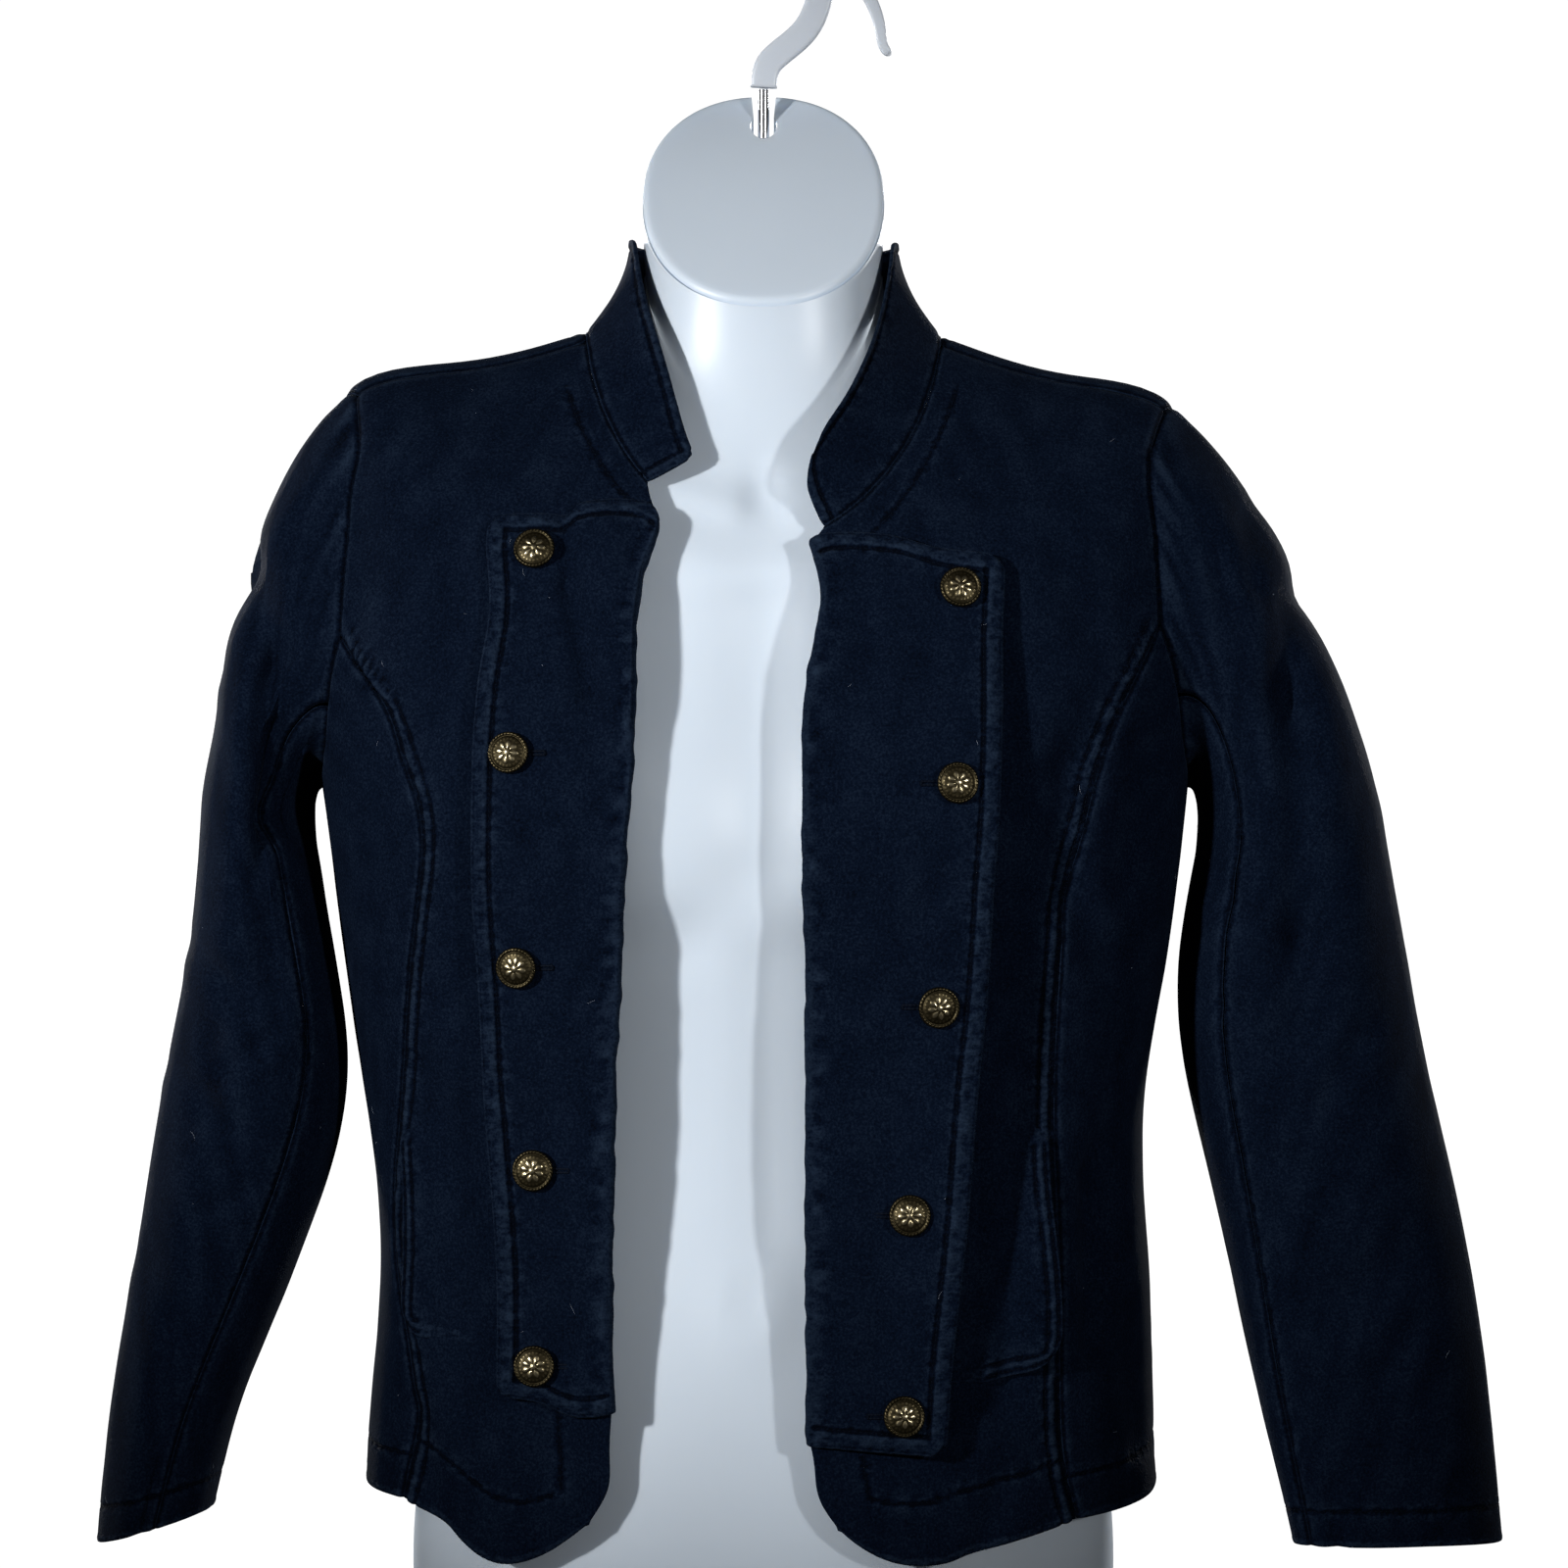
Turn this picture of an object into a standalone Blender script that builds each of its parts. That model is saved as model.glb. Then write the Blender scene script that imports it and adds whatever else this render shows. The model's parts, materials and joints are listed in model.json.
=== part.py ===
"""Band jacket worn open on a limbless hanging torso form.

Metres, +Z up. The front faces -Y and the origin is the middle of the form's flat base.
The wearer's right side is at -X and the left side at +X, as seen from in front.

The torso of the jacket is one smooth surface, lofted through the rings of TORSO_RINGS.
A point on it has an angle (0 at centre front, 90 at the side, 180 at centre back) and a
level (0 at the lowest ring, counting up to the neckline ring). Each panel is a patch of
that surface between four seam lines, and its wall is the patch moved in by the cloth.
"""

import math

import bpy
import numpy as np

# Driving dimensions.
CLOTH = 0.0020
COLLAR_CLOTH = 0.0030
LAPEL_CLOTH = 0.0030
LAPEL_CLEAR = 0.0010
SEAM_GAP = 0.0004
FOLD_WRAP = 0.0016

RIGHT, LEFT = -1, 1

# Lines on the front are given as seen from here: points at the depth of the shoulders keep
# their x and z, and nearer ones are read a little further from the middle of the view.
VIEW_X, VIEW_Z, VIEW_DISTANCE = 0.0107, 0.470, 3.5

# One row for each ring of the jacket's torso, from below the hem up to the neckline.
# Heights are of the two sides, centre front and centre back.
RING_COLUMNS = (
    "side_z_right",
    "side_z_left",
    "front_z",
    "back_z",
    "half_right",
    "half_left",
    "front",
    "back",
    "square",
)
TORSO_RINGS = (
    (0.040, 0.040, 0.040, 0.040, 0.2060, 0.2060, 0.1210, 0.1180, 2.5),
    (0.130, 0.130, 0.130, 0.130, 0.2050, 0.2030, 0.1200, 0.1160, 2.5),
    (0.220, 0.220, 0.220, 0.220, 0.1985, 0.2000, 0.1180, 0.1100, 2.5),
    (0.300, 0.300, 0.300, 0.300, 0.2050, 0.1970, 0.1170, 0.1040, 2.5),
    (0.380, 0.380, 0.375, 0.380, 0.2170, 0.2090, 0.1230, 0.1080, 2.5),
    (0.460, 0.460, 0.440, 0.460, 0.2270, 0.2190, 0.1300, 0.1150, 2.5),
    (0.545, 0.545, 0.492, 0.535, 0.2350, 0.2250, 0.1240, 0.1200, 2.5),
    (0.622, 0.618, 0.530, 0.598, 0.2290, 0.2230, 0.1140, 0.1120, 2.4),
    (0.677, 0.669, 0.558, 0.648, 0.2120, 0.2095, 0.1070, 0.0970, 2.3),
    (0.690, 0.684, 0.577, 0.675, 0.1520, 0.1520, 0.1010, 0.0780, 2.3),
    (0.7045, 0.7025, 0.592, 0.697, 0.0925, 0.0925, 0.0920, 0.0600, 2.4),
)
SHOULDER_LEVEL = 8.0
CREST_ROUNDING = 0.50

# One row for each ring of the form, from its flat base up to the slanted neck cap. The
# shift moves a ring back, as the neck leans.
FORM_COLUMNS = ("side_z", "front_z", "back_z", "half", "front", "back", "square", "shift")
FORM_RINGS = (
    (0.000, 0.000, 0.000, 0.1760, 0.1020, 0.0980, 2.3, 0.000),
    (0.060, 0.060, 0.060, 0.1815, 0.1050, 0.1020, 2.3, 0.000),
    (0.130, 0.130, 0.130, 0.1760, 0.1030, 0.1000, 2.3, 0.000),
    (0.220, 0.220, 0.220, 0.1560, 0.0900, 0.0860, 2.3, 0.000),
    (0.300, 0.300, 0.300, 0.1430, 0.0850, 0.0760, 2.3, 0.000),
    (0.380, 0.380, 0.375, 0.1520, 0.0970, 0.0820, 2.3, 0.000),
    (0.460, 0.440, 0.460, 0.1650, 0.1080, 0.0920, 2.3, 0.000),
    (0.545, 0.492, 0.535, 0.1740, 0.1020, 0.0980, 2.3, 0.000),
    (0.615, 0.530, 0.598, 0.1830, 0.0920, 0.0920, 2.3, 0.000),
    (0.665, 0.556, 0.640, 0.1740, 0.0880, 0.0800, 2.3, 0.000),
    (0.685, 0.578, 0.668, 0.1330, 0.0860, 0.0660, 2.3, 0.000),
    (0.697, 0.604, 0.696, 0.0780, 0.0720, 0.0500, 2.3, 0.002),
    (0.734, 0.648, 0.746, 0.0620, 0.0600, 0.0470, 2.2, 0.008),
    (0.758, 0.692, 0.794, 0.0620, 0.0550, 0.0500, 2.2, 0.010),
    (0.775, 0.7175, 0.835, 0.0630, 0.0550, 0.0540, 2.2, 0.010),
)
FORM_ROUND, FORM_STEPS = 30, 2
CAP_EDGE = 0.004

# The front's edges, as seen: the free edge under the lapel, the lapel's fold, its outer
# edge, its top and bottom, and the rounded hem from the free edge to the princess seam.
EDGE_LOW = {
    RIGHT: ((-0.0911, 0.0857), (-0.0809, 0.1035), (-0.0799, 0.1213), (-0.0789, 0.1427)),
    LEFT: ((0.0392, 0.0827), (0.0290, 0.0984), (0.0265, 0.1137), (0.0244, 0.1259)),
}
FOLD = {
    RIGHT: (
        (-0.0789, 0.1427),
        (-0.0805, 0.2038),
        (-0.0799, 0.2669),
        (-0.0779, 0.3305),
        (-0.0755, 0.3728),
        (-0.0718, 0.4461),
        (-0.0684, 0.4985),
        (-0.0674, 0.5540),
        (-0.0645, 0.5760),
        (-0.0570, 0.5978),
        (-0.0550, 0.6100),
    ),
    LEFT: ((0.0244, 0.1259), (0.0240, 0.2500), (0.0239, 0.3682), (0.0239, 0.5209), (0.0249, 0.5962)),
}
LAPEL_EDGE = {
    RIGHT: (
        (-0.1369, 0.1509),
        (-0.1379, 0.2460),
        (-0.1425, 0.3092),
        (-0.1456, 0.3682),
        (-0.1491, 0.4140),
        (-0.1496, 0.4563),
        (-0.1486, 0.4985),
        (-0.1456, 0.5301),
        (-0.1415, 0.5723),
        (-0.1400, 0.6084),
    ),
    LEFT: (
        (0.0931, 0.1208),
        (0.0977, 0.1860),
        (0.1043, 0.2639),
        (0.1105, 0.3417),
        (0.1161, 0.4135),
        (0.1196, 0.4522),
        (0.1222, 0.5041),
        (0.1237, 0.5616),
        (0.1237, 0.5871),
    ),
}
LAPEL_TOP = {
    RIGHT: ((-0.0550, 0.6100), (-0.0640, 0.6160), (-0.0926, 0.6146), (-0.1023, 0.6092), (-0.1400, 0.6084)),
    LEFT: ((0.0249, 0.5962), (0.0350, 0.5990), (0.0641, 0.5978), (0.0875, 0.5917), (0.1237, 0.5871)),
}
LAPEL_FOOT = {
    RIGHT: ((-0.0789, 0.1427), (-0.0980, 0.1415), (-0.1171, 0.1488), (-0.1369, 0.1509)),
    LEFT: ((0.0244, 0.1259), (0.0590, 0.1230), (0.0931, 0.1208)),
}
HEM_FRONT = {
    RIGHT: (
        (-0.0911, 0.0857),
        (-0.1115, 0.0715),
        (-0.1318, 0.0650),
        (-0.1496, 0.0704),
        (-0.1675, 0.0857),
        (-0.1878, 0.0994),
    ),
    LEFT: (
        (0.0392, 0.0827),
        (0.0499, 0.0740),
        (0.0702, 0.0650),
        (0.0937, 0.0650),
        (0.1094, 0.0704),
        (0.1405, 0.0796),
        (0.1634, 0.0882),
    ),
}
PRINCESS = {
    RIGHT: (
        (-0.1878, 0.0994),
        (-0.1820, 0.1493),
        (-0.1875, 0.1951),
        (-0.1925, 0.2409),
        (-0.1900, 0.2918),
        (-0.1860, 0.3449),
        (-0.1800, 0.4038),
        (-0.1765, 0.4395),
        (-0.1802, 0.4649),
        (-0.1888, 0.4878),
        (-0.1990, 0.5150),
    ),
    LEFT: (
        (0.1634, 0.0882),
        (0.1558, 0.1239),
        (0.1542, 0.1746),
        (0.1535, 0.2364),
        (0.1512, 0.2969),
        (0.1547, 0.3794),
        (0.1598, 0.4135),
        (0.1690, 0.4522),
        (0.1771, 0.4837),
        (0.1899, 0.5173),
    ),
}
SIDE_HEM_Z, BACK_HEM_Z = 0.112, 0.110
# The level on the centre back that the armhole's lowest row of the grid runs to.
BACK_ARM_LEVEL = 6.2
# The back seams, seen from behind, as distances from the middle.
BACK_SEAM = (
    (0.100, 0.110),
    (0.088, 0.225),
    (0.082, 0.300),
    (0.092, 0.380),
    (0.110, 0.440),
    (0.136, 0.492),
    (0.166, 0.527),
)

# The armhole: its front as seen, and the rest in side view as y and z.
ARMHOLE_FRONT = {
    RIGHT: ((-0.2107, 0.6482), (-0.2143, 0.6252), (-0.2173, 0.5937), (-0.2204, 0.5474)),
    LEFT: ((0.2030, 0.6480), (0.2010, 0.6250), (0.2041, 0.5952), (0.2061, 0.5535)),
}
ARMHOLE_UNDER_FRONT = ((-0.0540, 0.5150), (-0.0360, 0.4840), (0.0040, 0.4660))
ARMHOLE_UNDER_BACK = ((0.0400, 0.4860), (0.0580, 0.5200), (0.0620, 0.5550))
ARMHOLE_BACK = ((0.0620, 0.5550), (0.0570, 0.6100), (0.0400, 0.6450))
SHOULDER_ANGLE = 80.0

# Grid counts, shared where two pieces meet on a line.
ROWS_LOW, ROWS_ARM = 15, 8
ROWS_EDGE, ROWS_LAPEL, ROWS_NECK = 3, 19, 1
COLUMNS_NECK, COLUMNS_SHOULDER, COLUMNS_BACK_NECK = 5, 5, 5
COLUMNS_SIDE, COLUMNS_LAPEL = 6, 4
EDGE_POWER = 4

# How far the lapel's outer edge stands off the front, at five places from its foot up.
LAPEL_STAND = {
    RIGHT: (0.0020, 0.0040, 0.0045, 0.0030, 0.0010),
    LEFT: (0.0060, 0.0120, 0.0120, 0.0080, 0.0020),
}

# The patch pocket: its mouth beside the princess seam and its inner edge, as seen, and how
# far the middle of its mouth gapes.
POCKET = {
    RIGHT: ((-0.1860, 0.1850), (-0.1880, 0.2900), (-0.1520, 0.1780), (-0.1530, 0.2960), 0.0020),
    LEFT: ((0.1515, 0.1680), (0.1480, 0.2900), (0.0990, 0.1560), (0.1075, 0.2960), 0.0090),
}
POCKET_CLEAR = 0.0009

# Folds of the torso: a soft groove (minus) or ridge (plus) along each line seen from in
# front, or from behind where the row says so.
TORSO_FOLDS = (
    ("front", 0.168, 0.507, 0.156, 0.478, 0.013, -0.0030),
    ("front", 0.156, 0.478, 0.150, 0.415, 0.013, -0.0045),
    ("front", 0.196, 0.490, 0.184, 0.420, 0.010, -0.0035),
    ("front", 0.172, 0.285, 0.172, 0.185, 0.008, -0.0050),
    ("front", 0.070, 0.330, 0.060, 0.180, 0.016, -0.0030),
    ("front", 0.186, 0.200, 0.194, 0.130, 0.009, -0.0030),
    ("front", -0.164, 0.470, -0.160, 0.330, 0.016, 0.0030),
    ("front", -0.110, 0.300, -0.105, 0.130, 0.014, -0.0030),
    ("front", -0.178, 0.150, -0.165, 0.095, 0.010, -0.0040),
    ("back", 0.060, 0.360, 0.020, 0.300, 0.012, -0.0035),
    ("back", -0.070, 0.350, -0.030, 0.285, 0.012, -0.0035),
    ("back", 0.150, 0.560, 0.120, 0.400, 0.016, -0.0040),
    ("back", -0.150, 0.560, -0.118, 0.400, 0.016, -0.0040),
    ("back", 0.120, 0.230, 0.135, 0.115, 0.018, -0.0045),
    ("back", -0.125, 0.230, -0.132, 0.115, 0.018, -0.0045),
)

# Sleeve sections: height of the middle, outer and inner distance from the body's middle,
# front and back y, how much higher the outer side hangs, squareness and twist in degrees.
SLEEVE_ROWS = {
    RIGHT: (
        (0.440, 0.2917, 0.2320, -0.0740, 0.0700, 0.004, 2.3, 0.0),
        (0.390, 0.2962, 0.2230, -0.0710, 0.0660, 0.006, 2.3, 0.0),
        (0.340, 0.3049, 0.2160, -0.0670, 0.0610, 0.006, 2.3, 0.0),
        (0.290, 0.3146, 0.2204, -0.0630, 0.0560, 0.004, 2.3, -4.0),
        (0.240, 0.3227, 0.2352, -0.0600, 0.0480, 0.000, 2.3, -9.0),
        (0.190, 0.3324, 0.2530, -0.0570, 0.0430, -0.004, 2.2, -15.0),
        (0.140, 0.3400, 0.2718, -0.0530, 0.0420, -0.007, 2.2, -22.0),
        (0.088, 0.3450, 0.2850, -0.0500, 0.0420, -0.009, 2.2, -30.0),
    ),
    LEFT: (
        (0.440, 0.3217, 0.2245, -0.0680, 0.0660, 0.008, 2.3, 0.0),
        (0.390, 0.3303, 0.2160, -0.0640, 0.0620, 0.010, 2.3, 2.0),
        (0.340, 0.3390, 0.2179, -0.0590, 0.0570, 0.010, 2.3, 5.0),
        (0.290, 0.3502, 0.2280, -0.0550, 0.0530, 0.008, 2.3, 8.0),
        (0.240, 0.3619, 0.2392, -0.0490, 0.0470, 0.006, 2.3, 11.0),
        (0.190, 0.3711, 0.2494, -0.0440, 0.0420, 0.004, 2.4, 13.0),
        (0.140, 0.3777, 0.2606, -0.0380, 0.0360, 0.002, 2.4, 16.0),
        (0.078, 0.3833, 0.2749, -0.0330, 0.0310, 0.001, 2.4, 18.0),
    ),
}
SLEEVE_COLUMNS = ("z", "outer", "inner", "front", "back", "tilt", "square", "twist")
SLEEVE_CAP_ROWS, SLEEVE_LOW_ROWS = 8, 12
SEAM_FRONT_COLUMN, SEAM_BACK_COLUMN = 10, 19
SLEEVE_FOLDS = {
    RIGHT: (
        ("front", -0.2667, 0.581, -0.2510, 0.535, 0.013, -0.0070),
        ("front", -0.2510, 0.535, -0.2480, 0.455, 0.013, -0.0090),
        ("front", -0.2480, 0.455, -0.2500, 0.368, 0.014, -0.0060),
        ("front", -0.2750, 0.370, -0.2900, 0.300, 0.013, -0.0040),
        ("back", -0.2650, 0.560, -0.2600, 0.400, 0.013, -0.0090),
        ("back", -0.2700, 0.330, -0.2950, 0.290, 0.012, -0.0050),
        ("back", -0.2900, 0.250, -0.3150, 0.215, 0.012, -0.0040),
    ),
    LEFT: (
        ("front", 0.2730, 0.564, 0.2730, 0.517, 0.013, -0.0080),
        ("front", 0.2730, 0.517, 0.2744, 0.388, 0.013, -0.0090),
        ("front", 0.2744, 0.388, 0.2728, 0.343, 0.014, -0.0050),
        ("front", 0.3300, 0.230, 0.2900, 0.200, 0.014, -0.0030),
        ("back", 0.2750, 0.560, 0.2720, 0.400, 0.013, -0.0090),
        ("back", 0.2700, 0.330, 0.3050, 0.290, 0.012, -0.0050),
        ("back", 0.3000, 0.240, 0.3300, 0.205, 0.012, -0.0040),
    ),
}

# The collar, round from the wearer's right end over the back to the left end: the angle on
# the neckline ring, and how far its top edge is in towards the neck, forwards and up.
# The columns are side, angle, inwards, forwards and rise.
COLLAR_ROWS = (
    (RIGHT, 37.0, 0.0200, -0.0060, 0.0260),
    (RIGHT, 52.0, 0.0270, -0.0080, 0.0400),
    (RIGHT, 68.0, 0.0270, -0.0060, 0.0400),
    (RIGHT, 90.0, 0.0250, 0.0000, 0.0440),
    (RIGHT, 130.0, 0.0130, 0.0000, 0.0460),
    (RIGHT, 180.0, 0.0000, 0.0000, 0.0470),
    (LEFT, 130.0, 0.0130, 0.0000, 0.0460),
    (LEFT, 90.0, 0.0250, 0.0000, 0.0450),
    (LEFT, 68.0, 0.0260, -0.0060, 0.0400),
    (LEFT, 48.0, 0.0230, -0.0060, 0.0400),
    (LEFT, 19.0, 0.0060, -0.0020, 0.0440),
)
COLLAR_UP = 3
COLLAR_SEAT = 0.0003
COLLAR_HOLLOW = 0.024

# Buttons as seen: x and z of each, from the top one down, and their turned outline.
BUTTONS = {
    RIGHT: ((-0.1181, 0.5896), (-0.1303, 0.4853), (-0.1257, 0.3758), (-0.1191, 0.2695), (-0.1186, 0.1677)),
    LEFT: ((0.1013, 0.5698), (0.0987, 0.4695), (0.0886, 0.3560), (0.0764, 0.2460), (0.0718, 0.1417)),
}
BUTTON_SEAT = 0.0006
BUTTON_OUTLINE = (
    (0.0028, 0.0000),
    (0.0028, 0.0010),
    (0.0097, 0.0012),
    (0.0105, 0.0021),
    (0.0099, 0.0034),
    (0.0086, 0.0032),
    (0.0055, 0.0045),
)
BUTTON_TOP, BUTTON_ROUND = 0.0052, 14

# The hook: a flat plastic strip in the plane of the stem, on a metal stem in the cap's slot.
STEM_Y = 0.047
STEM_RADIUS = 0.0030
SLOT_FLOOR_Z, SLOT_RADIUS, SLOT_HALF = 0.7980, 0.0070, 0.0082
HOOK_THICK, HOOK_WIDTH, FINGER_WIDTH = 0.0080, 0.0140, 0.0075
HOOK_FOOT_Z = 0.8365
HOOK_LINE = (
    (0.0000, 0.8365),
    (0.0008, 0.8440),
    (0.0048, 0.8515),
    (0.0155, 0.8605),
    (0.0240, 0.8700),
    (0.0290, 0.8825),
    (0.0312, 0.8960),
)
LOOP_CENTRE, LOOP_RADIUS, LOOP_END = (0.0, 0.9000), 0.0312, 205.0
FINGER_LINE = (
    (0.0290, 0.9030),
    (0.0400, 0.9000),
    (0.0500, 0.8920),
    (0.0575, 0.8800),
    (0.0612, 0.8680),
    (0.0628, 0.8590),
    (0.0668, 0.8535),
)

COLOURS = {
    "cloth": ((0.0105, 0.0175, 0.0330), 0.92, 0.0),
    "button": ((0.2300, 0.1750, 0.0900), 0.42, 0.9),
    "form": ((0.6600, 0.7100, 0.7600), 0.45, 0.0),
    "hook": ((0.6200, 0.6400, 0.6900), 0.40, 0.0),
    "stem": ((0.6200, 0.6200, 0.6200), 0.20, 1.0),
}


def clear_scene():
    for item in list(bpy.data.objects):
        bpy.data.objects.remove(item, do_unlink=True)


def material(name):
    """The Principled finish of one of the COLOURS, made once."""
    found = bpy.data.materials.get(name)
    if found:
        return found
    colour, roughness, metallic = COLOURS[name]
    made = bpy.data.materials.new(name)
    made.use_nodes = True
    shader = made.node_tree.nodes["Principled BSDF"]
    shader.inputs["Base Color"].default_value = (*colour, 1.0)
    shader.inputs["Roughness"].default_value = roughness
    shader.inputs["Metallic"].default_value = metallic
    return made


def spline(values, at):
    """Natural cubic spline through one value for each whole number, read at the numbers at."""
    values = np.asarray(values, float)
    count = len(values)
    system = np.eye(count)
    right = np.zeros(count)
    for i in range(1, count - 1):
        system[i, i - 1 : i + 2] = (1.0, 4.0, 1.0)
        right[i] = 6.0 * (values[i - 1] - 2.0 * values[i] + values[i + 1])
    bend = np.linalg.solve(system, right)
    low = np.clip(np.floor(at).astype(int), 0, count - 2)
    t = at - low
    s = 1.0 - t
    straight = s * values[low] + t * values[low + 1]
    return straight + ((s**3 - s) * bend[low] + (t**3 - t) * bend[low + 1]) / 6.0


def ring_point(angle, side_z, front_z, back_z, half, front, back, square):
    """A point of a rounded-square ring: the angle runs from centre front to centre back."""
    cosine, sine = np.cos(angle), np.sin(angle)
    radius = (np.abs(cosine) ** square + np.abs(sine) ** square) ** (-1.0 / square)
    ahead = cosine >= 0
    depth = np.where(ahead, front, back)
    end_z = np.where(ahead, front_z, back_z)
    most = math.hypot(1.0, CREST_ROUNDING) - CREST_ROUNDING
    share = (np.sqrt(cosine**2 + CREST_ROUNDING**2) - CREST_ROUNDING) / most
    return half * radius * sine, -depth * radius * cosine, side_z + (end_z - side_z) * share


def fold_height(x, y, z, folds):
    """The sum of the folds at a point: each is a soft ridge or groove along a line."""
    total = np.zeros(np.broadcast(x, z).shape)
    for faces, x0, z0, x1, z1, spread, height in folds:
        along = ((x - x0) * (x1 - x0) + (z - z0) * (z1 - z0)) / ((x1 - x0) ** 2 + (z1 - z0) ** 2)
        near = np.clip(along, 0.0, 1.0)
        away = np.hypot(x - x0 - near * (x1 - x0), z - z0 - near * (z1 - z0))
        here = (y < 0.0) if faces == "front" else (y >= 0.0)
        total = total + np.where(here, height * np.exp(-((away / spread) ** 2)), 0.0)
    return total


def torso_base(side, angle, level):
    """The smooth torso, with no folds, as an array of points."""
    word = side_word(side)
    rings = np.array(TORSO_RINGS)
    read = {name: spline(rings[:, i], level) for i, name in enumerate(RING_COLUMNS)}
    heights = read[f"side_z_{word}"], read["front_z"], read["back_z"]
    depths = read["front"], read["back"], read["square"]
    x, y, z = ring_point(angle, *heights, read[f"half_{word}"], *depths)
    return np.stack([side * x, y, z], axis=-1)


def surface_normals(point_of, a, b, outwards):
    """Unit normals of point_of(a, b), from small steps, turned to the outwards side."""
    step = 2e-3
    across = point_of(a + step, b) - point_of(a - step, b)
    up = point_of(a, b + step) - point_of(a, b - step)
    normal = np.cross(across, up)
    normal /= np.linalg.norm(normal, axis=-1, keepdims=True)
    turned = np.sum(normal * outwards, axis=-1, keepdims=True) < 0
    return np.where(turned, -normal, normal)


def torso_folded(side, angle, level):
    """The torso with its folds, moved along the smooth surface's normals."""
    base = torso_base(side, angle, level)
    outwards = base * np.array([1.0, 1.0, 0.0]) + np.array([0.0, 0.0, 0.02])
    normal = surface_normals(lambda a, b: torso_base(side, a, b), angle, level, outwards)
    height = fold_height(base[..., 0], base[..., 1], base[..., 2], TORSO_FOLDS)
    return base + normal * height[..., None]


def torso(side, angle, level, out=0.0):
    """The torso with its folds, and out metres off it along its own normals."""
    points = torso_folded(side, angle, level)
    if np.all(np.asarray(out) == 0.0):
        return points
    outwards = points * np.array([1.0, 1.0, 0.0]) + np.array([0.0, 0.0, 0.02])
    normal = surface_normals(lambda a, b: torso_folded(side, a, b), angle, level, outwards)
    return points + normal * np.broadcast_to(np.asarray(out, float), np.shape(angle))[..., None]


def flattened(points, view):
    """Points as seen from the front, or flat from the back or the side."""
    if view == "front":
        middle = np.array([VIEW_X, VIEW_Z])
        return middle + (points[..., [0, 2]] - middle) * (VIEW_DISTANCE / (VIEW_DISTANCE + points[..., 1:2]))
    return points[..., [1, 2]] if view == "side" else points[..., [0, 2]]


SEARCHED = {
    "front": (0.0, math.pi / 2),
    "back": (math.pi / 2, math.pi),
    "side": (math.radians(30), math.radians(150)),
}


def locate(side, targets, view):
    """The angle and level of each target on the torso, by Newton steps from the nearest of a grid."""
    low, high = SEARCHED[view]
    top = len(TORSO_RINGS) - 1.0
    angles, levels = np.meshgrid(np.linspace(low, high, 61), np.linspace(0.0, top, 121), indexing="ij")
    field = flattened(torso_base(side, angles, levels), view)
    found = []
    for target in np.asarray(targets, float):
        at = np.unravel_index(np.argmin(np.sum((field - target) ** 2, axis=-1)), angles.shape)
        spot = np.array([angles[at], levels[at]])
        for _ in range(12):
            here = flattened(torso_base(side, spot[0], spot[1]), view)
            by_angle = (flattened(torso_base(side, spot[0] + 1e-4, spot[1]), view) - here) / 1e-4
            by_level = (flattened(torso_base(side, spot[0], spot[1] + 1e-4), view) - here) / 1e-4
            step, *_ = np.linalg.lstsq(np.stack([by_angle, by_level], axis=-1), target - here, rcond=1e-3)
            spot = np.clip(spot + np.clip(step, -0.2, 0.2), (low, 0.0), (high, top))
        found.append(spot)
    return np.array(found)


def sample(side, spots, count):
    """count + 1 spots, evenly spaced in space, on a smooth line through the given spots."""
    spots = np.asarray(spots, float)
    fine = np.linspace(0.0, len(spots) - 1.0, 240)
    line = np.stack([spline(spots[:, 0], fine), spline(spots[:, 1], fine)], axis=-1)
    points = torso_base(side, line[:, 0], line[:, 1])
    run = np.concatenate([[0.0], np.cumsum(np.linalg.norm(np.diff(points, axis=0), axis=1))])
    wanted = np.linspace(0.0, run[-1], count + 1)
    return np.stack([np.interp(wanted, run, line[:, k]) for k in (0, 1)], axis=-1)


def joined(*lines):
    """Lines end to end, each one's first spot being the last of the one before."""
    return np.concatenate([lines[0]] + [line[1:] for line in lines[1:]])


def patch(left, right, bottom, top):
    """Spots of the patch between four lines that meet at its corners: straight rows from left
    to right, which take the bottom's and the top's own shape only towards those edges."""
    v = np.linspace(0.0, 1.0, len(left))[:, None, None]
    u = np.linspace(0.0, 1.0, len(bottom))[None, :, None]
    rows = (1 - u) * left[:, None] + u * right[:, None]
    return rows + (1 - v) ** EDGE_POWER * (bottom[None] - rows[:1]) + v**EDGE_POWER * (top[None] - rows[-1:])


def trimmed(side, spots, gaps):
    """The patch with each edge drawn in by its gap: left, right, bottom, top."""
    spots = spots.copy()
    points = torso_base(side, spots[..., 0], spots[..., 1])
    left, right, bottom, top = gaps
    moves = np.zeros_like(spots)
    for edge, inner, gap in ((0, 1, left), (-1, -2, right)):
        width = np.linalg.norm(points[:, inner] - points[:, edge], axis=-1)[:, None]
        moves[:, edge] += (spots[:, inner] - spots[:, edge]) * np.minimum(gap / np.maximum(width, 1e-6), 0.4)
    for edge, inner, gap in ((0, 1, bottom), (-1, -2, top)):
        height = np.linalg.norm(points[inner] - points[edge], axis=-1)[:, None]
        moves[edge] += (spots[inner] - spots[edge]) * np.minimum(gap / np.maximum(height, 1e-6), 0.4)
    return spots + moves


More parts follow.
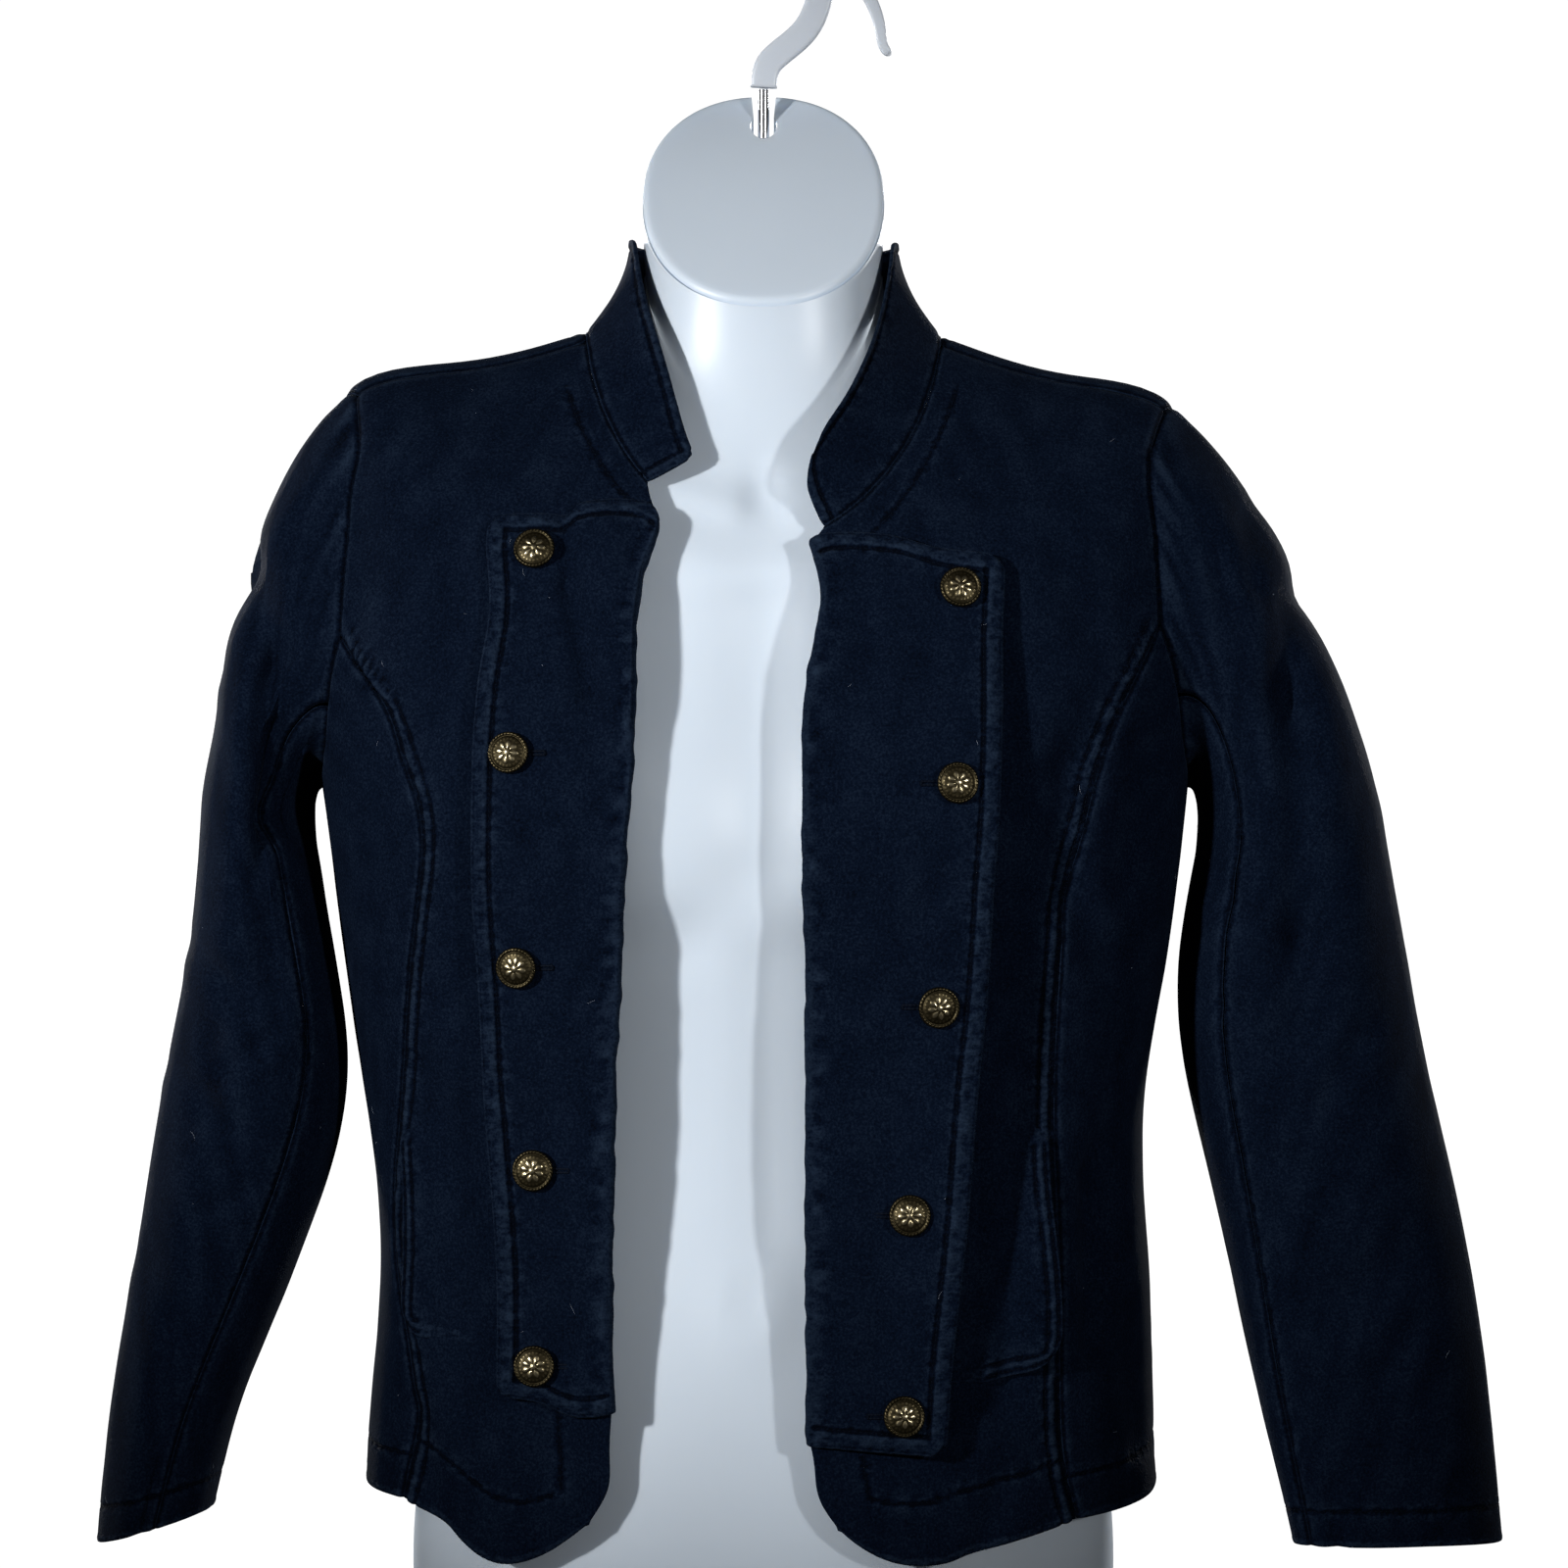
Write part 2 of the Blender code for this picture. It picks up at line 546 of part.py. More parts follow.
def wall(name, outer, inner, finish="cloth"):
    """A closed wall between two grids of points with the same rows and columns."""
    rows, columns = outer.shape[:2]
    count = rows * columns
    ids = np.arange(count).reshape(rows, columns)
    quads = np.stack([ids[:-1, :-1], ids[:-1, 1:], ids[1:, 1:], ids[1:, :-1]], axis=-1).reshape(-1, 4)
    flat = outer.reshape(-1, 3)
    first = np.linalg.norm(flat[quads[:, 0]] - flat[quads[:, 2]], axis=-1)
    second = np.linalg.norm(flat[quads[:, 1]] - flat[quads[:, 3]], axis=-1)
    turned = np.where((first <= second)[:, None], quads, np.roll(quads, -1, axis=1))
    quads = np.concatenate([turned[:, [0, 1, 2]], turned[:, [0, 2, 3]]])
    loop = np.concatenate([ids[0, :-1], ids[:-1, -1], ids[-1, :0:-1], ids[:0:-1, 0]])
    after = np.roll(loop, -1)
    rim = np.stack([after, loop, loop + count, after + count], axis=-1)
    faces = [*quads.tolist(), *(quads[:, ::-1] + count).tolist(), *rim.tolist()]
    return solid(name, np.concatenate([outer.reshape(-1, 3), inner.reshape(-1, 3)]), faces, finish)


def solid(name, points, faces, finish):
    """An object from points and faces, turned right side out and shaded smooth."""
    points = np.asarray(points, float)
    triangles = np.array([(face[0], face[i], face[i + 1]) for face in faces for i in range(1, len(face) - 1)])
    corners = points[triangles]
    if np.einsum("ij,ij->i", corners[:, 0], np.cross(corners[:, 1], corners[:, 2])).sum() < 0:
        faces = [face[::-1] for face in faces]
    mesh = bpy.data.meshes.new(name)
    mesh.from_pydata(points.tolist(), [], faces)
    mesh.update()
    mesh.shade_smooth()
    mesh.set_sharp_from_angle(angle=math.radians(40.0))
    made = bpy.data.objects.new(name, mesh)
    made.data.materials.append(material(finish))
    bpy.context.scene.collection.objects.link(made)
    return made


def side_word(side):
    return "right" if side == RIGHT else "left"


def level_at(side, angle, height):
    """The level at which the torso reaches a height, at one angle."""
    levels = np.linspace(0.0, len(TORSO_RINGS) - 1.0, 300)
    return float(np.interp(height, torso_base(side, np.full(300, angle), levels)[:, 2], levels))


def seam_lines(side):
    """Every seam and edge line of one half, as sampled spots of angle and level."""
    top = len(TORSO_RINGS) - 1.0
    shoulder = math.radians(SHOULDER_ANGLE)
    neck = np.array([math.radians(COLLAR_ROWS[0 if side == RIGHT else -1][1]), top])
    point = np.array([[shoulder, SHOULDER_LEVEL]])
    arm_front = locate(side, ARMHOLE_FRONT[side], "front")
    under_front = np.concatenate([arm_front[-1:], locate(side, ARMHOLE_UNDER_FRONT, "side")])
    under_back = np.concatenate([under_front[-1:], locate(side, ARMHOLE_UNDER_BACK, "side")])
    arm_back = np.concatenate([under_back[-1:], locate(side, ARMHOLE_BACK[1:], "side"), point])
    fold = locate(side, FOLD[side], "front")
    edge_low = locate(side, EDGE_LOW[side], "front")
    edge_low[-1] = fold[0]
    hem = locate(side, HEM_FRONT[side], "front")
    hem[0] = edge_low[0]
    princess = np.concatenate([locate(side, PRINCESS[side], "front"), arm_front[-1:]])
    princess[0] = hem[-1]
    side_top = under_front[-1]
    side_foot = np.array([side_top[0], level_at(side, side_top[0], SIDE_HEM_Z)])
    back_points = [(side * x, z) for x, z in BACK_SEAM]
    back_seam = np.concatenate([locate(side, back_points, "back"), under_back[-1:]])
    centre_foot = np.array([math.pi, level_at(side, math.pi, BACK_HEM_Z)])
    centre_arm, centre_top = np.array([math.pi, BACK_ARM_LEVEL]), np.array([math.pi, top])
    centre_low = sample(side, [centre_foot, centre_arm], ROWS_LOW)
    return {
        "fold": sample(side, fold, ROWS_LAPEL),
        "edge_low": sample(side, edge_low, ROWS_EDGE),
        "edge_neck": sample(side, [fold[-1], neck], ROWS_NECK),
        "hem_front": sample(side, hem, COLUMNS_NECK + COLUMNS_SHOULDER),
        "princess": sample(side, princess, ROWS_LOW),
        "arm_front": sample(side, np.concatenate([arm_front[::-1], point]), ROWS_ARM),
        "arm_back": sample(side, arm_back, ROWS_ARM),
        "under_front": sample(side, under_front, COLUMNS_SIDE),
        "under_back": sample(side, under_back, COLUMNS_SIDE),
        "neck_front": sample(side, [neck, [shoulder, top]], COLUMNS_NECK),
        "neck_back": sample(side, [[shoulder, top], centre_top], COLUMNS_BACK_NECK),
        "shoulder": sample(side, [[shoulder, top], point[0]], COLUMNS_SHOULDER),
        "side": sample(side, [side_foot, side_top], ROWS_LOW),
        "back_seam": sample(side, back_seam, ROWS_LOW),
        "centre": joined(centre_low, sample(side, [centre_arm, centre_top], ROWS_ARM)),
        "hem_side_front": sample(side, [hem[-1], side_foot], COLUMNS_SIDE),
        "hem_side_back": sample(side, [side_foot, back_seam[0]], COLUMNS_SIDE),
        "hem_back": sample(side, [back_seam[0], centre_foot], COLUMNS_SHOULDER + COLUMNS_BACK_NECK),
    }


def panel(name, side, spots, gaps):
    """A cloth panel: a patch of the torso, and the same patch moved in by the cloth."""
    spots = trimmed(side, spots, gaps)
    angle, level = spots[..., 0], spots[..., 1]
    return wall(name, torso(side, angle, level), torso(side, angle, level, -CLOTH))


def make_panels(side, lines):
    """The centre front, side front, side back and centre back of one half."""
    word = side_word(side)
    half = SEAM_GAP / 2
    edge = joined(lines["edge_low"], lines["fold"], lines["edge_neck"])
    outer = joined(lines["princess"], lines["arm_front"])
    top = joined(lines["neck_front"], lines["shoulder"])
    panel(f"front_{word}", side, patch(edge, outer, lines["hem_front"], top), (0.0, half, 0.0, half))
    side_front = patch(lines["princess"], lines["side"], lines["hem_side_front"], lines["under_front"])
    panel(f"side_front_{word}", side, side_front, (half, half, 0.0, half))
    side_back = patch(lines["side"], lines["back_seam"], lines["hem_side_back"], lines["under_back"])
    panel(f"side_back_{word}", side, side_back, (half, half, 0.0, half))
    outer = joined(lines["back_seam"], lines["arm_back"])
    top = joined(lines["shoulder"][::-1], lines["neck_back"])
    back = patch(outer, lines["centre"], lines["hem_back"], top)
    panel(f"back_{word}", side, back, (half, half, 0.0, half))


def lapel_under(side, u, v):
    """How far the lapel's underside is off the front: u from the fold out, v from the foot up."""
    stand = np.interp(v, np.linspace(0.0, 1.0, 5), LAPEL_STAND[side])
    return LAPEL_CLEAR + stand * u**1.6


def make_lapel(side, lines):
    """The turned-back lapel: the front's own points moved out, rolled round the free edge."""
    word = side_word(side)
    edge = sample(side, locate(side, LAPEL_EDGE[side], "front"), ROWS_LAPEL)
    top = sample(side, locate(side, LAPEL_TOP[side], "front"), COLUMNS_LAPEL)
    foot = sample(side, locate(side, LAPEL_FOOT[side], "front"), COLUMNS_LAPEL)
    fold = lines["fold"]
    for line, near, far in ((top, fold[-1], edge[-1]), (foot, fold[0], edge[0])):
        line[0], line[-1] = near, far
    spots = patch(fold, edge, foot, top)
    v, u = np.meshgrid(np.linspace(0, 1, ROWS_LAPEL + 1), np.linspace(0, 1, COLUMNS_LAPEL + 1), indexing="ij")
    under = lapel_under(side, u, v)
    over = under + LAPEL_CLOTH
    start = spots[:, :1]
    run = spots[:, 1:2] - start
    ends = [torso_base(side, at[..., 0], at[..., 1]) for at in (start, spots[:, 1:2])]
    unit = run / np.linalg.norm(ends[1] - ends[0], axis=-1, keepdims=True)
    beyond = [start - unit * (SEAM_GAP + FOLD_WRAP * share) for share in (1.0, 0.6, 0.0)]
    spots = np.concatenate([*beyond, start, spots[:, 1:]], axis=1)
    one = np.ones_like(under[:, :1])
    over = np.concatenate([one * -0.0008, one * 0.0020, over[:, :1], over], axis=1)
    under = np.concatenate([one * -0.0020, one * -0.0028, one * -0.0026, under], axis=1)
    angle, level = spots[..., 0], spots[..., 1]
    return wall(f"lapel_{word}", torso(side, angle, level, over), torso(side, angle, level, under))


def make_pocket(side):
    """The patch pocket: the front's points moved out, with its mouth standing off."""
    foot, head, inner_foot, inner_head, gape = POCKET[side]
    corners = locate(side, [inner_foot, foot, inner_head, head], "front")
    left, right = sample(side, corners[[0, 2]], 8), sample(side, corners[[1, 3]], 8)
    spots = patch(left, right, sample(side, corners[[0, 1]], 5), sample(side, corners[[2, 3]], 5))
    v, u = np.meshgrid(np.linspace(0, 1, 9), np.linspace(0, 1, 6), indexing="ij")
    bow = np.sin(math.pi * np.clip(v * 0.92 + 0.16, 0.0, 1.0)) * (0.35 + 0.65 * (1 - v))
    under = POCKET_CLEAR + gape * u**2 * np.clip(bow, 0.0, 1.0)
    angle, level = spots[..., 0], spots[..., 1]
    outer = torso(side, angle, level, under + CLOTH * 0.7)
    return wall(f"pocket_{side_word(side)}", outer, torso(side, angle, level, under))


def armhole_loop(side, lines):
    """The armhole's spots from the shoulder point down the front, under and up the back."""
    front, under = lines["arm_front"][::-1], joined(lines["under_front"], lines["under_back"])
    return joined(front, under, lines["arm_back"])[:-1]


def sleeve_ring(side, row, angles):
    """Points round one sleeve section: 0 is the outer side and 90 degrees the front."""
    read = dict(zip(SLEEVE_COLUMNS, row))
    middle, half = (read["outer"] + read["inner"]) / 2, (read["outer"] - read["inner"]) / 2
    depth_middle, depth = (read["front"] + read["back"]) / 2, (read["back"] - read["front"]) / 2
    turned = angles + math.radians(read["twist"])
    cosine, sine = np.cos(turned), np.sin(turned)
    radius = (np.abs(cosine) ** read["square"] + np.abs(sine) ** read["square"]) ** (-1.0 / read["square"])
    x = side * (middle + half * radius * cosine)
    y = depth_middle - depth * radius * sine
    return np.stack([x, y, read["z"] + read["tilt"] * cosine], axis=-1)


def wrapped_normals(grid, outwards):
    """Unit normals of a grid that closes round its columns."""
    across = np.roll(grid, -1, axis=1) - np.roll(grid, 1, axis=1)
    normal = np.cross(across, np.gradient(grid, axis=0))
    normal /= np.linalg.norm(normal, axis=-1, keepdims=True)
    middle = grid.mean(axis=1, keepdims=True)
    turned = np.sum(normal[outwards] * (grid - middle)[outwards]) < 0
    return -normal if turned else normal


def sleeve_grids(side, lines):
    """The sleeve's outer and inner points: the cap from the armhole, then the arm to the cuff."""
    loop = armhole_loop(side, lines)
    edge = torso(side, loop[:, 0], loop[:, 1])
    outwards = edge * np.array([1.0, 1.0, 0.0]) + np.array([0.0, 0.0, 0.02])
    normal = surface_normals(lambda a, b: torso_folded(side, a, b), loop[:, 0], loop[:, 1], outwards)
    tangent = np.roll(edge, -1, axis=0) - np.roll(edge, 1, axis=0)
    tangent /= np.linalg.norm(tangent, axis=-1, keepdims=True)
    into = edge.mean(axis=0) - edge
    for other in (normal, tangent):
        into -= other * np.sum(into * other, axis=-1, keepdims=True)
    into /= np.linalg.norm(into, axis=-1, keepdims=True)
    first = edge + into * (SEAM_GAP * 0.8)
    count = len(loop)
    knots = np.array([0, ROWS_ARM, ROWS_ARM + COLUMNS_SIDE, ROWS_ARM + 2 * COLUMNS_SIDE, count])
    angles = np.radians(np.interp(np.arange(count), knots, [0.0, 100.0, 180.0, 260.0, 360.0]))
    table = np.array(SLEEVE_ROWS[side])
    at = np.linspace(0.0, len(table) - 1.0, SLEEVE_LOW_ROWS + 1)
    rows = np.stack([spline(table[:, i], at) for i in range(table.shape[1])], axis=-1)
    low = np.array([sleeve_ring(side, row, angles) for row in rows])
    reach = np.linalg.norm(low[0] - first, axis=-1, keepdims=True)
    down = low[1] - low[0]
    down /= np.linalg.norm(down, axis=-1, keepdims=True)
    crown = (np.clip(np.cos(angles), 0.0, 1.0) ** 2)[:, None]
    away = into * 0.75 + normal * (0.45 - 0.20 * crown)
    away += np.array([side * 0.30, 0.0, 0.0]) - np.array([0.0, 0.0, 0.38]) * crown
    away /= np.linalg.norm(away, axis=-1, keepdims=True)
    t = np.linspace(0.0, 1.0, SLEEVE_CAP_ROWS + 1)[:, None, None]
    start, end = away * reach * 0.90, down * reach * 0.75
    cap = (2 * t**3 - 3 * t**2 + 1) * first + (t**3 - 2 * t**2 + t) * start
    cap = cap + (3 * t**2 - 2 * t**3) * low[0] + (t**3 - t**2) * end
    grid = np.concatenate([cap, low[1:]])
    outer_side = (slice(SLEEVE_CAP_ROWS, None), slice(0, 4))
    facing = wrapped_normals(grid, outer_side)
    height = fold_height(grid[..., 0], grid[..., 1], grid[..., 2], SLEEVE_FOLDS[side])
    fade = np.clip(np.arange(len(grid)) / 3.0, 0.0, 1.0)[:, None]
    folded = grid + facing * (height * fade)[..., None]
    facing = wrapped_normals(folded, outer_side)
    facing[0] = np.cross(tangent, away)
    facing[0] /= np.linalg.norm(facing[0], axis=-1, keepdims=True)
    facing[0] *= np.sign(np.sum(facing[0] * -into - facing[0] * -normal * 0.4, axis=-1, keepdims=True))
    return folded, folded - facing * CLOTH


def make_sleeve(side, lines):
    """The top and under sleeve, split along the front and back sleeve seams."""
    outer, inner = sleeve_grids(side, lines)
    count = outer.shape[1]
    pieces = {
        "sleeve_top": np.arange(SEAM_BACK_COLUMN, SEAM_FRONT_COLUMN + count + 1) % count,
        "sleeve_under": np.arange(SEAM_FRONT_COLUMN, SEAM_BACK_COLUMN + 1),
    }
    for name, columns in pieces.items():
        faces = []
        for grid in (outer, inner):
            strip = grid[:, columns].copy()
            for edge, inside in ((0, 1), (-1, -2)):
                step = strip[:, inside] - strip[:, edge]
                strip[:, edge] += step / np.linalg.norm(step, axis=-1, keepdims=True) * SEAM_GAP * 0.6
            faces.append(strip)
        wall(f"{name}_{side_word(side)}", *faces)


def neckline(lines, side, out):
    """The neckline's points at the panels' own corners and midway between them, and their angles."""
    spots = joined(lines["neck_front"], lines["neck_back"])
    points = torso(side, spots[:, 0], spots[:, 1], out)
    below = torso(side, spots[:, 0], spots[:, 1] - 0.05, out)
    up = (points - below) / np.linalg.norm(points - below, axis=-1, keepdims=True)
    finer = np.linspace(0.0, len(spots) - 1.0, 2 * len(spots) - 1)
    low = np.minimum(finer.astype(int), len(spots) - 2)
    share = (finer - low)[:, None]
    degrees = np.degrees(spots[:, :1])
    mixed = [values[low] * (1 - share) + values[low + 1] * share for values in (points, up, degrees)]
    return mixed[0], mixed[1], mixed[2][:, 0]


def make_collar(halves):
    """The standing collar: a band from the neckline leaning in towards the neck."""
    around = np.array([row[1] if row[0] == RIGHT else 360.0 - row[1] for row in COLLAR_ROWS])
    grids = []
    for out in (0.0, -COLLAR_CLOTH):
        strips = []
        for side in (RIGHT, LEFT):
            feet, up, degrees = neckline(halves[side], side, out)
            at = degrees if side == RIGHT else 360.0 - degrees
            read = [np.interp(at, around, [row[i] for row in COLLAR_ROWS]) for i in (2, 3, 4)]
            lean = np.stack([-side * read[0], -read[1], read[2]], axis=-1)
            t = np.linspace(0.0, 1.0, COLLAR_UP + 1)[:, None, None]
            rise = feet + up * COLLAR_SEAT + lean * t + up * COLLAR_HOLLOW * t * (1 - t)
            strips.append(rise if side == RIGHT else rise[:, ::-1][:, 1:])
        grids.append(np.concatenate(strips, axis=1))
    return wall("collar", *grids)


def turned(name, outline, top, centre, axis, finish, segments):
    """A solid turned about its axis, from radius and height pairs, closed at both ends."""
    axis = axis / np.linalg.norm(axis)
    across = np.cross(axis, (0.0, 0.0, 1.0) if abs(axis[2]) < 0.9 else (1.0, 0.0, 0.0))
    across /= np.linalg.norm(across)
    other = np.cross(axis, across)
    angles = np.linspace(0.0, 2 * math.pi, segments, endpoint=False)
    spokes = np.cos(angles)[:, None] * across + np.sin(angles)[:, None] * other
    rings = [centre + axis * height + spokes * radius for radius, height in outline]
    points = np.concatenate([*rings, [centre + axis * outline[0][1]], [centre + axis * top]])
    count = len(outline)
    faces = []
    for i in range(count - 1):
        for j in range(segments):
            k = (j + 1) % segments
            faces.append([i * segments + j, i * segments + k, (i + 1) * segments + k, (i + 1) * segments + j])
    for j in range(segments):
        k = (j + 1) % segments
        faces.append([count * segments, k, j])
        faces.append([count * segments + 1, (count - 1) * segments + j, (count - 1) * segments + k])
    return solid(name, points, faces, finish)


def make_buttons(side):
    """Each button stands on the lapel's face, along the face's normal."""
    fold, edge = np.array(FOLD[side]), np.array(LAPEL_EDGE[side])
    for number, (x, z) in enumerate(BUTTONS[side], start=1):
        near = np.interp(z, fold[:, 1], fold[:, 0])
        far = np.interp(z, edge[:, 1], edge[:, 0])
        u = (x - near) / (far - near)
        v = (z - fold[0, 1]) / (fold[-1, 1] - fold[0, 1])
        spot = locate(side, [(x, z)], "front")[0]
        angle, level = np.array([spot[0]]), np.array([spot[1]])
        face = lapel_under(side, u, v) + LAPEL_CLOTH
        at = torso(side, angle, level, face + BUTTON_SEAT)[0]
        axis = at - torso(side, angle, level, face - 0.001)[0]
        name = f"button_{side_word(side)}_{number}"
        turned(name, BUTTON_OUTLINE, BUTTON_TOP, at, axis, "button", BUTTON_ROUND)


def prism(name, outline, low, high, finish):
    """A closed solid from an outline in x and y, between two heights."""
    count = len(outline)
    points = [(x, y, low) for x, y in outline] + [(x, y, high) for x, y in outline]
    sides = [[i, (i + 1) % count, (i + 1) % count + count, i + count] for i in range(count)]
    return solid(name, points, [list(range(count))[::-1], list(range(count, 2 * count)), *sides], finish)


def apply_boolean(target, other, operation):
    """Joins or cuts the target with the other object, which is removed."""
    step = target.modifiers.new("cut", "BOOLEAN")
    step.operation, step.solver, step.object = operation, "EXACT", other
    graph = bpy.context.evaluated_depsgraph_get()
    mesh = bpy.data.meshes.new_from_object(target.evaluated_get(graph))
    target.modifiers.clear()
    target.data = mesh
    bpy.data.objects.remove(other, do_unlink=True)


def make_form():
    """The torso form: one closed body from its flat base to the slanted neck cap, slotted."""
    rings = np.array(FORM_RINGS)
    at = np.linspace(0.0, len(rings) - 1.0, (len(rings) - 1) * FORM_STEPS + 1)
    read = {name: spline(rings[:, i], at) for i, name in enumerate(FORM_COLUMNS)}
    around = np.linspace(0.0, 2 * math.pi, FORM_ROUND, endpoint=False)
    grid = []
    for i, level in enumerate(at):
        values = [read[name][i] for name in FORM_COLUMNS[:-1]]
        x, y, z = ring_point(around, *values)
        depth = (y + read["front"][i]) / (read["front"][i] + read["back"][i])
        plane = read["front_z"][i] + depth * (read["back_z"][i] - read["front_z"][i])
        flat = min(max(level - (len(rings) - 3), 0.0), 1.0)
        grid.append(np.stack([x, y + read["shift"][i], z + (plane - z) * flat], axis=-1))
    centre = grid[-1].mean(axis=0)
    tilt = grid[-1][0] - grid[-1][FORM_ROUND // 2]
    facing = np.cross((1.0, 0.0, 0.0), tilt)
    facing *= np.sign(facing[2]) / np.linalg.norm(facing)
    inwards = centre - grid[-1]
    inwards /= np.linalg.norm(inwards, axis=-1, keepdims=True)
    rim = grid.pop()
    for turn in (0.0, 0.5, 1.0):
        angle = turn * math.pi / 2
        inset, drop = CAP_EDGE * (1 - math.cos(angle)), CAP_EDGE * (1 - math.sin(angle))
        grid.append(rim + inwards * inset - facing * drop)
    points = np.concatenate(grid)
    rows = len(grid)
    faces = [list(range(FORM_ROUND))[::-1], list(range((rows - 1) * FORM_ROUND, rows * FORM_ROUND))]
    for i in range(rows - 1):
        for j in range(FORM_ROUND):
            k = (j + 1) % FORM_ROUND
            low, high = i * FORM_ROUND, (i + 1) * FORM_ROUND
            faces.append([low + j, low + k, high + k, high + j])
    form = solid("torso_form", points, faces, "form")
    arc = np.radians(np.linspace(140.0, 400.0, 15))
    outline = [(SLOT_RADIUS * math.cos(a), STEM_Y + SLOT_RADIUS * math.sin(a)) for a in arc]
    outline += [(SLOT_HALF, STEM_Y + 0.034), (-SLOT_HALF, STEM_Y + 0.034)]
    cutter = prism("slot", outline, SLOT_FLOOR_Z, SLOT_FLOOR_Z + 0.1, "form")
    apply_boolean(form, cutter, "DIFFERENCE")


def swept(name, line, widths, thick, finish):
    """A flat strip swept along a line of x and z, with rounded ends and edges."""
    line = np.asarray(line, float)
    along = np.gradient(line, axis=0)
    along /= np.linalg.norm(along, axis=1, keepdims=True)
    across = np.stack([along[:, 1], -along[:, 0]], axis=-1)
    corner = 0.30
    section = [(0.5, 0.5 - corner), (0.5 - corner, 0.5), (corner - 0.5, 0.5), (-0.5, 0.5 - corner)]
    section += [(-a, -b) for a, b in section]
    rings = []
    for spot, side, width in zip(line, across, widths):
        flat = [(spot + side * a * width, STEM_Y + b * thick) for a, b in section]
        rings.append([(at[0], y, at[1]) for at, y in flat])
    points = np.concatenate(rings)
    size, rows = len(section), len(rings)
    faces = [list(range(size))[::-1], list(range((rows - 1) * size, rows * size))]
    for i in range(rows - 1):
        for j in range(size):
            k = (j + 1) % size
            faces.append([i * size + j, i * size + k, (i + 1) * size + k, (i + 1) * size + j])
    return solid(name, points, faces, finish)


def smooth_line(points, count):
    """Evenly spaced points on a spline through the given ones."""
    points = np.asarray(points, float)
    fine = np.linspace(0.0, len(points) - 1.0, 200)
    line = np.stack([spline(points[:, k], fine) for k in (0, 1)], axis=-1)
    run = np.concatenate([[0.0], np.cumsum(np.linalg.norm(np.diff(line, axis=0), axis=1))])
    wanted = np.linspace(0.0, run[-1], count)
    return np.stack([np.interp(wanted, run, line[:, k]) for k in (0, 1)], axis=-1)


def make_hook():
    """The metal stem in the slot, and the hook with its small finger."""
    stem = [(STEM_RADIUS, 0.0), (STEM_RADIUS, HOOK_FOOT_Z - SLOT_FLOOR_Z - 3 * SEAM_GAP)]
    foot = np.array([0.0, STEM_Y, SLOT_FLOOR_Z + SEAM_GAP])
    turned("hook_stem", stem, stem[-1][1], foot, np.array([0.0, 0.0, 1.0]), "stem", 16)
    turns = np.radians(np.linspace(8.0, LOOP_END, 13))
    loop = LOOP_CENTRE + LOOP_RADIUS * np.stack([np.cos(turns), np.sin(turns)], axis=-1)
    line = np.concatenate([smooth_line(HOOK_LINE, 10), loop])
    widths = np.full(len(line), HOOK_WIDTH)
    widths[-3:] = HOOK_WIDTH * np.array([0.92, 0.78, 0.55])
    hook = swept("hook", line, widths, HOOK_THICK, "hook")
    finger_line = smooth_line(FINGER_LINE, 10)
    finger_widths = FINGER_WIDTH * np.interp(np.arange(10), (0, 3, 7, 9), (1.4, 1.0, 0.75, 0.45))
    finger = swept("finger", finger_line, finger_widths, HOOK_THICK * 0.8, "hook")
    apply_boolean(hook, finger, "UNION")


clear_scene()
HALVES = {side: seam_lines(side) for side in (RIGHT, LEFT)}
for SIDE, LINES in HALVES.items():
    make_panels(SIDE, LINES)
    make_lapel(SIDE, LINES)
    make_pocket(SIDE)
    make_sleeve(SIDE, LINES)
    make_buttons(SIDE)
make_collar(HALVES)
make_form()
make_hook()
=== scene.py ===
"""The looks of a band jacket worn open on a limbless hanging torso form.

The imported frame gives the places; everything here is built around it, in metres, +Z up,
with the front facing -Y and the wearer's right side at -X. The jacket's torso is one smooth
surface through rings. A spot on it is an angle (0 at centre front, pi at centre back) and a
level (0 at the lowest ring). Each panel is a patch of spots between four seam lines, read on
a fine grid, raised by its sewing and creases, and given a wall with rolled edges. Tables of
sizes are in millimetres.
"""

from __future__ import annotations

import json
import logging
import math
from collections.abc import Callable
from dataclasses import dataclass, field
from enum import Enum

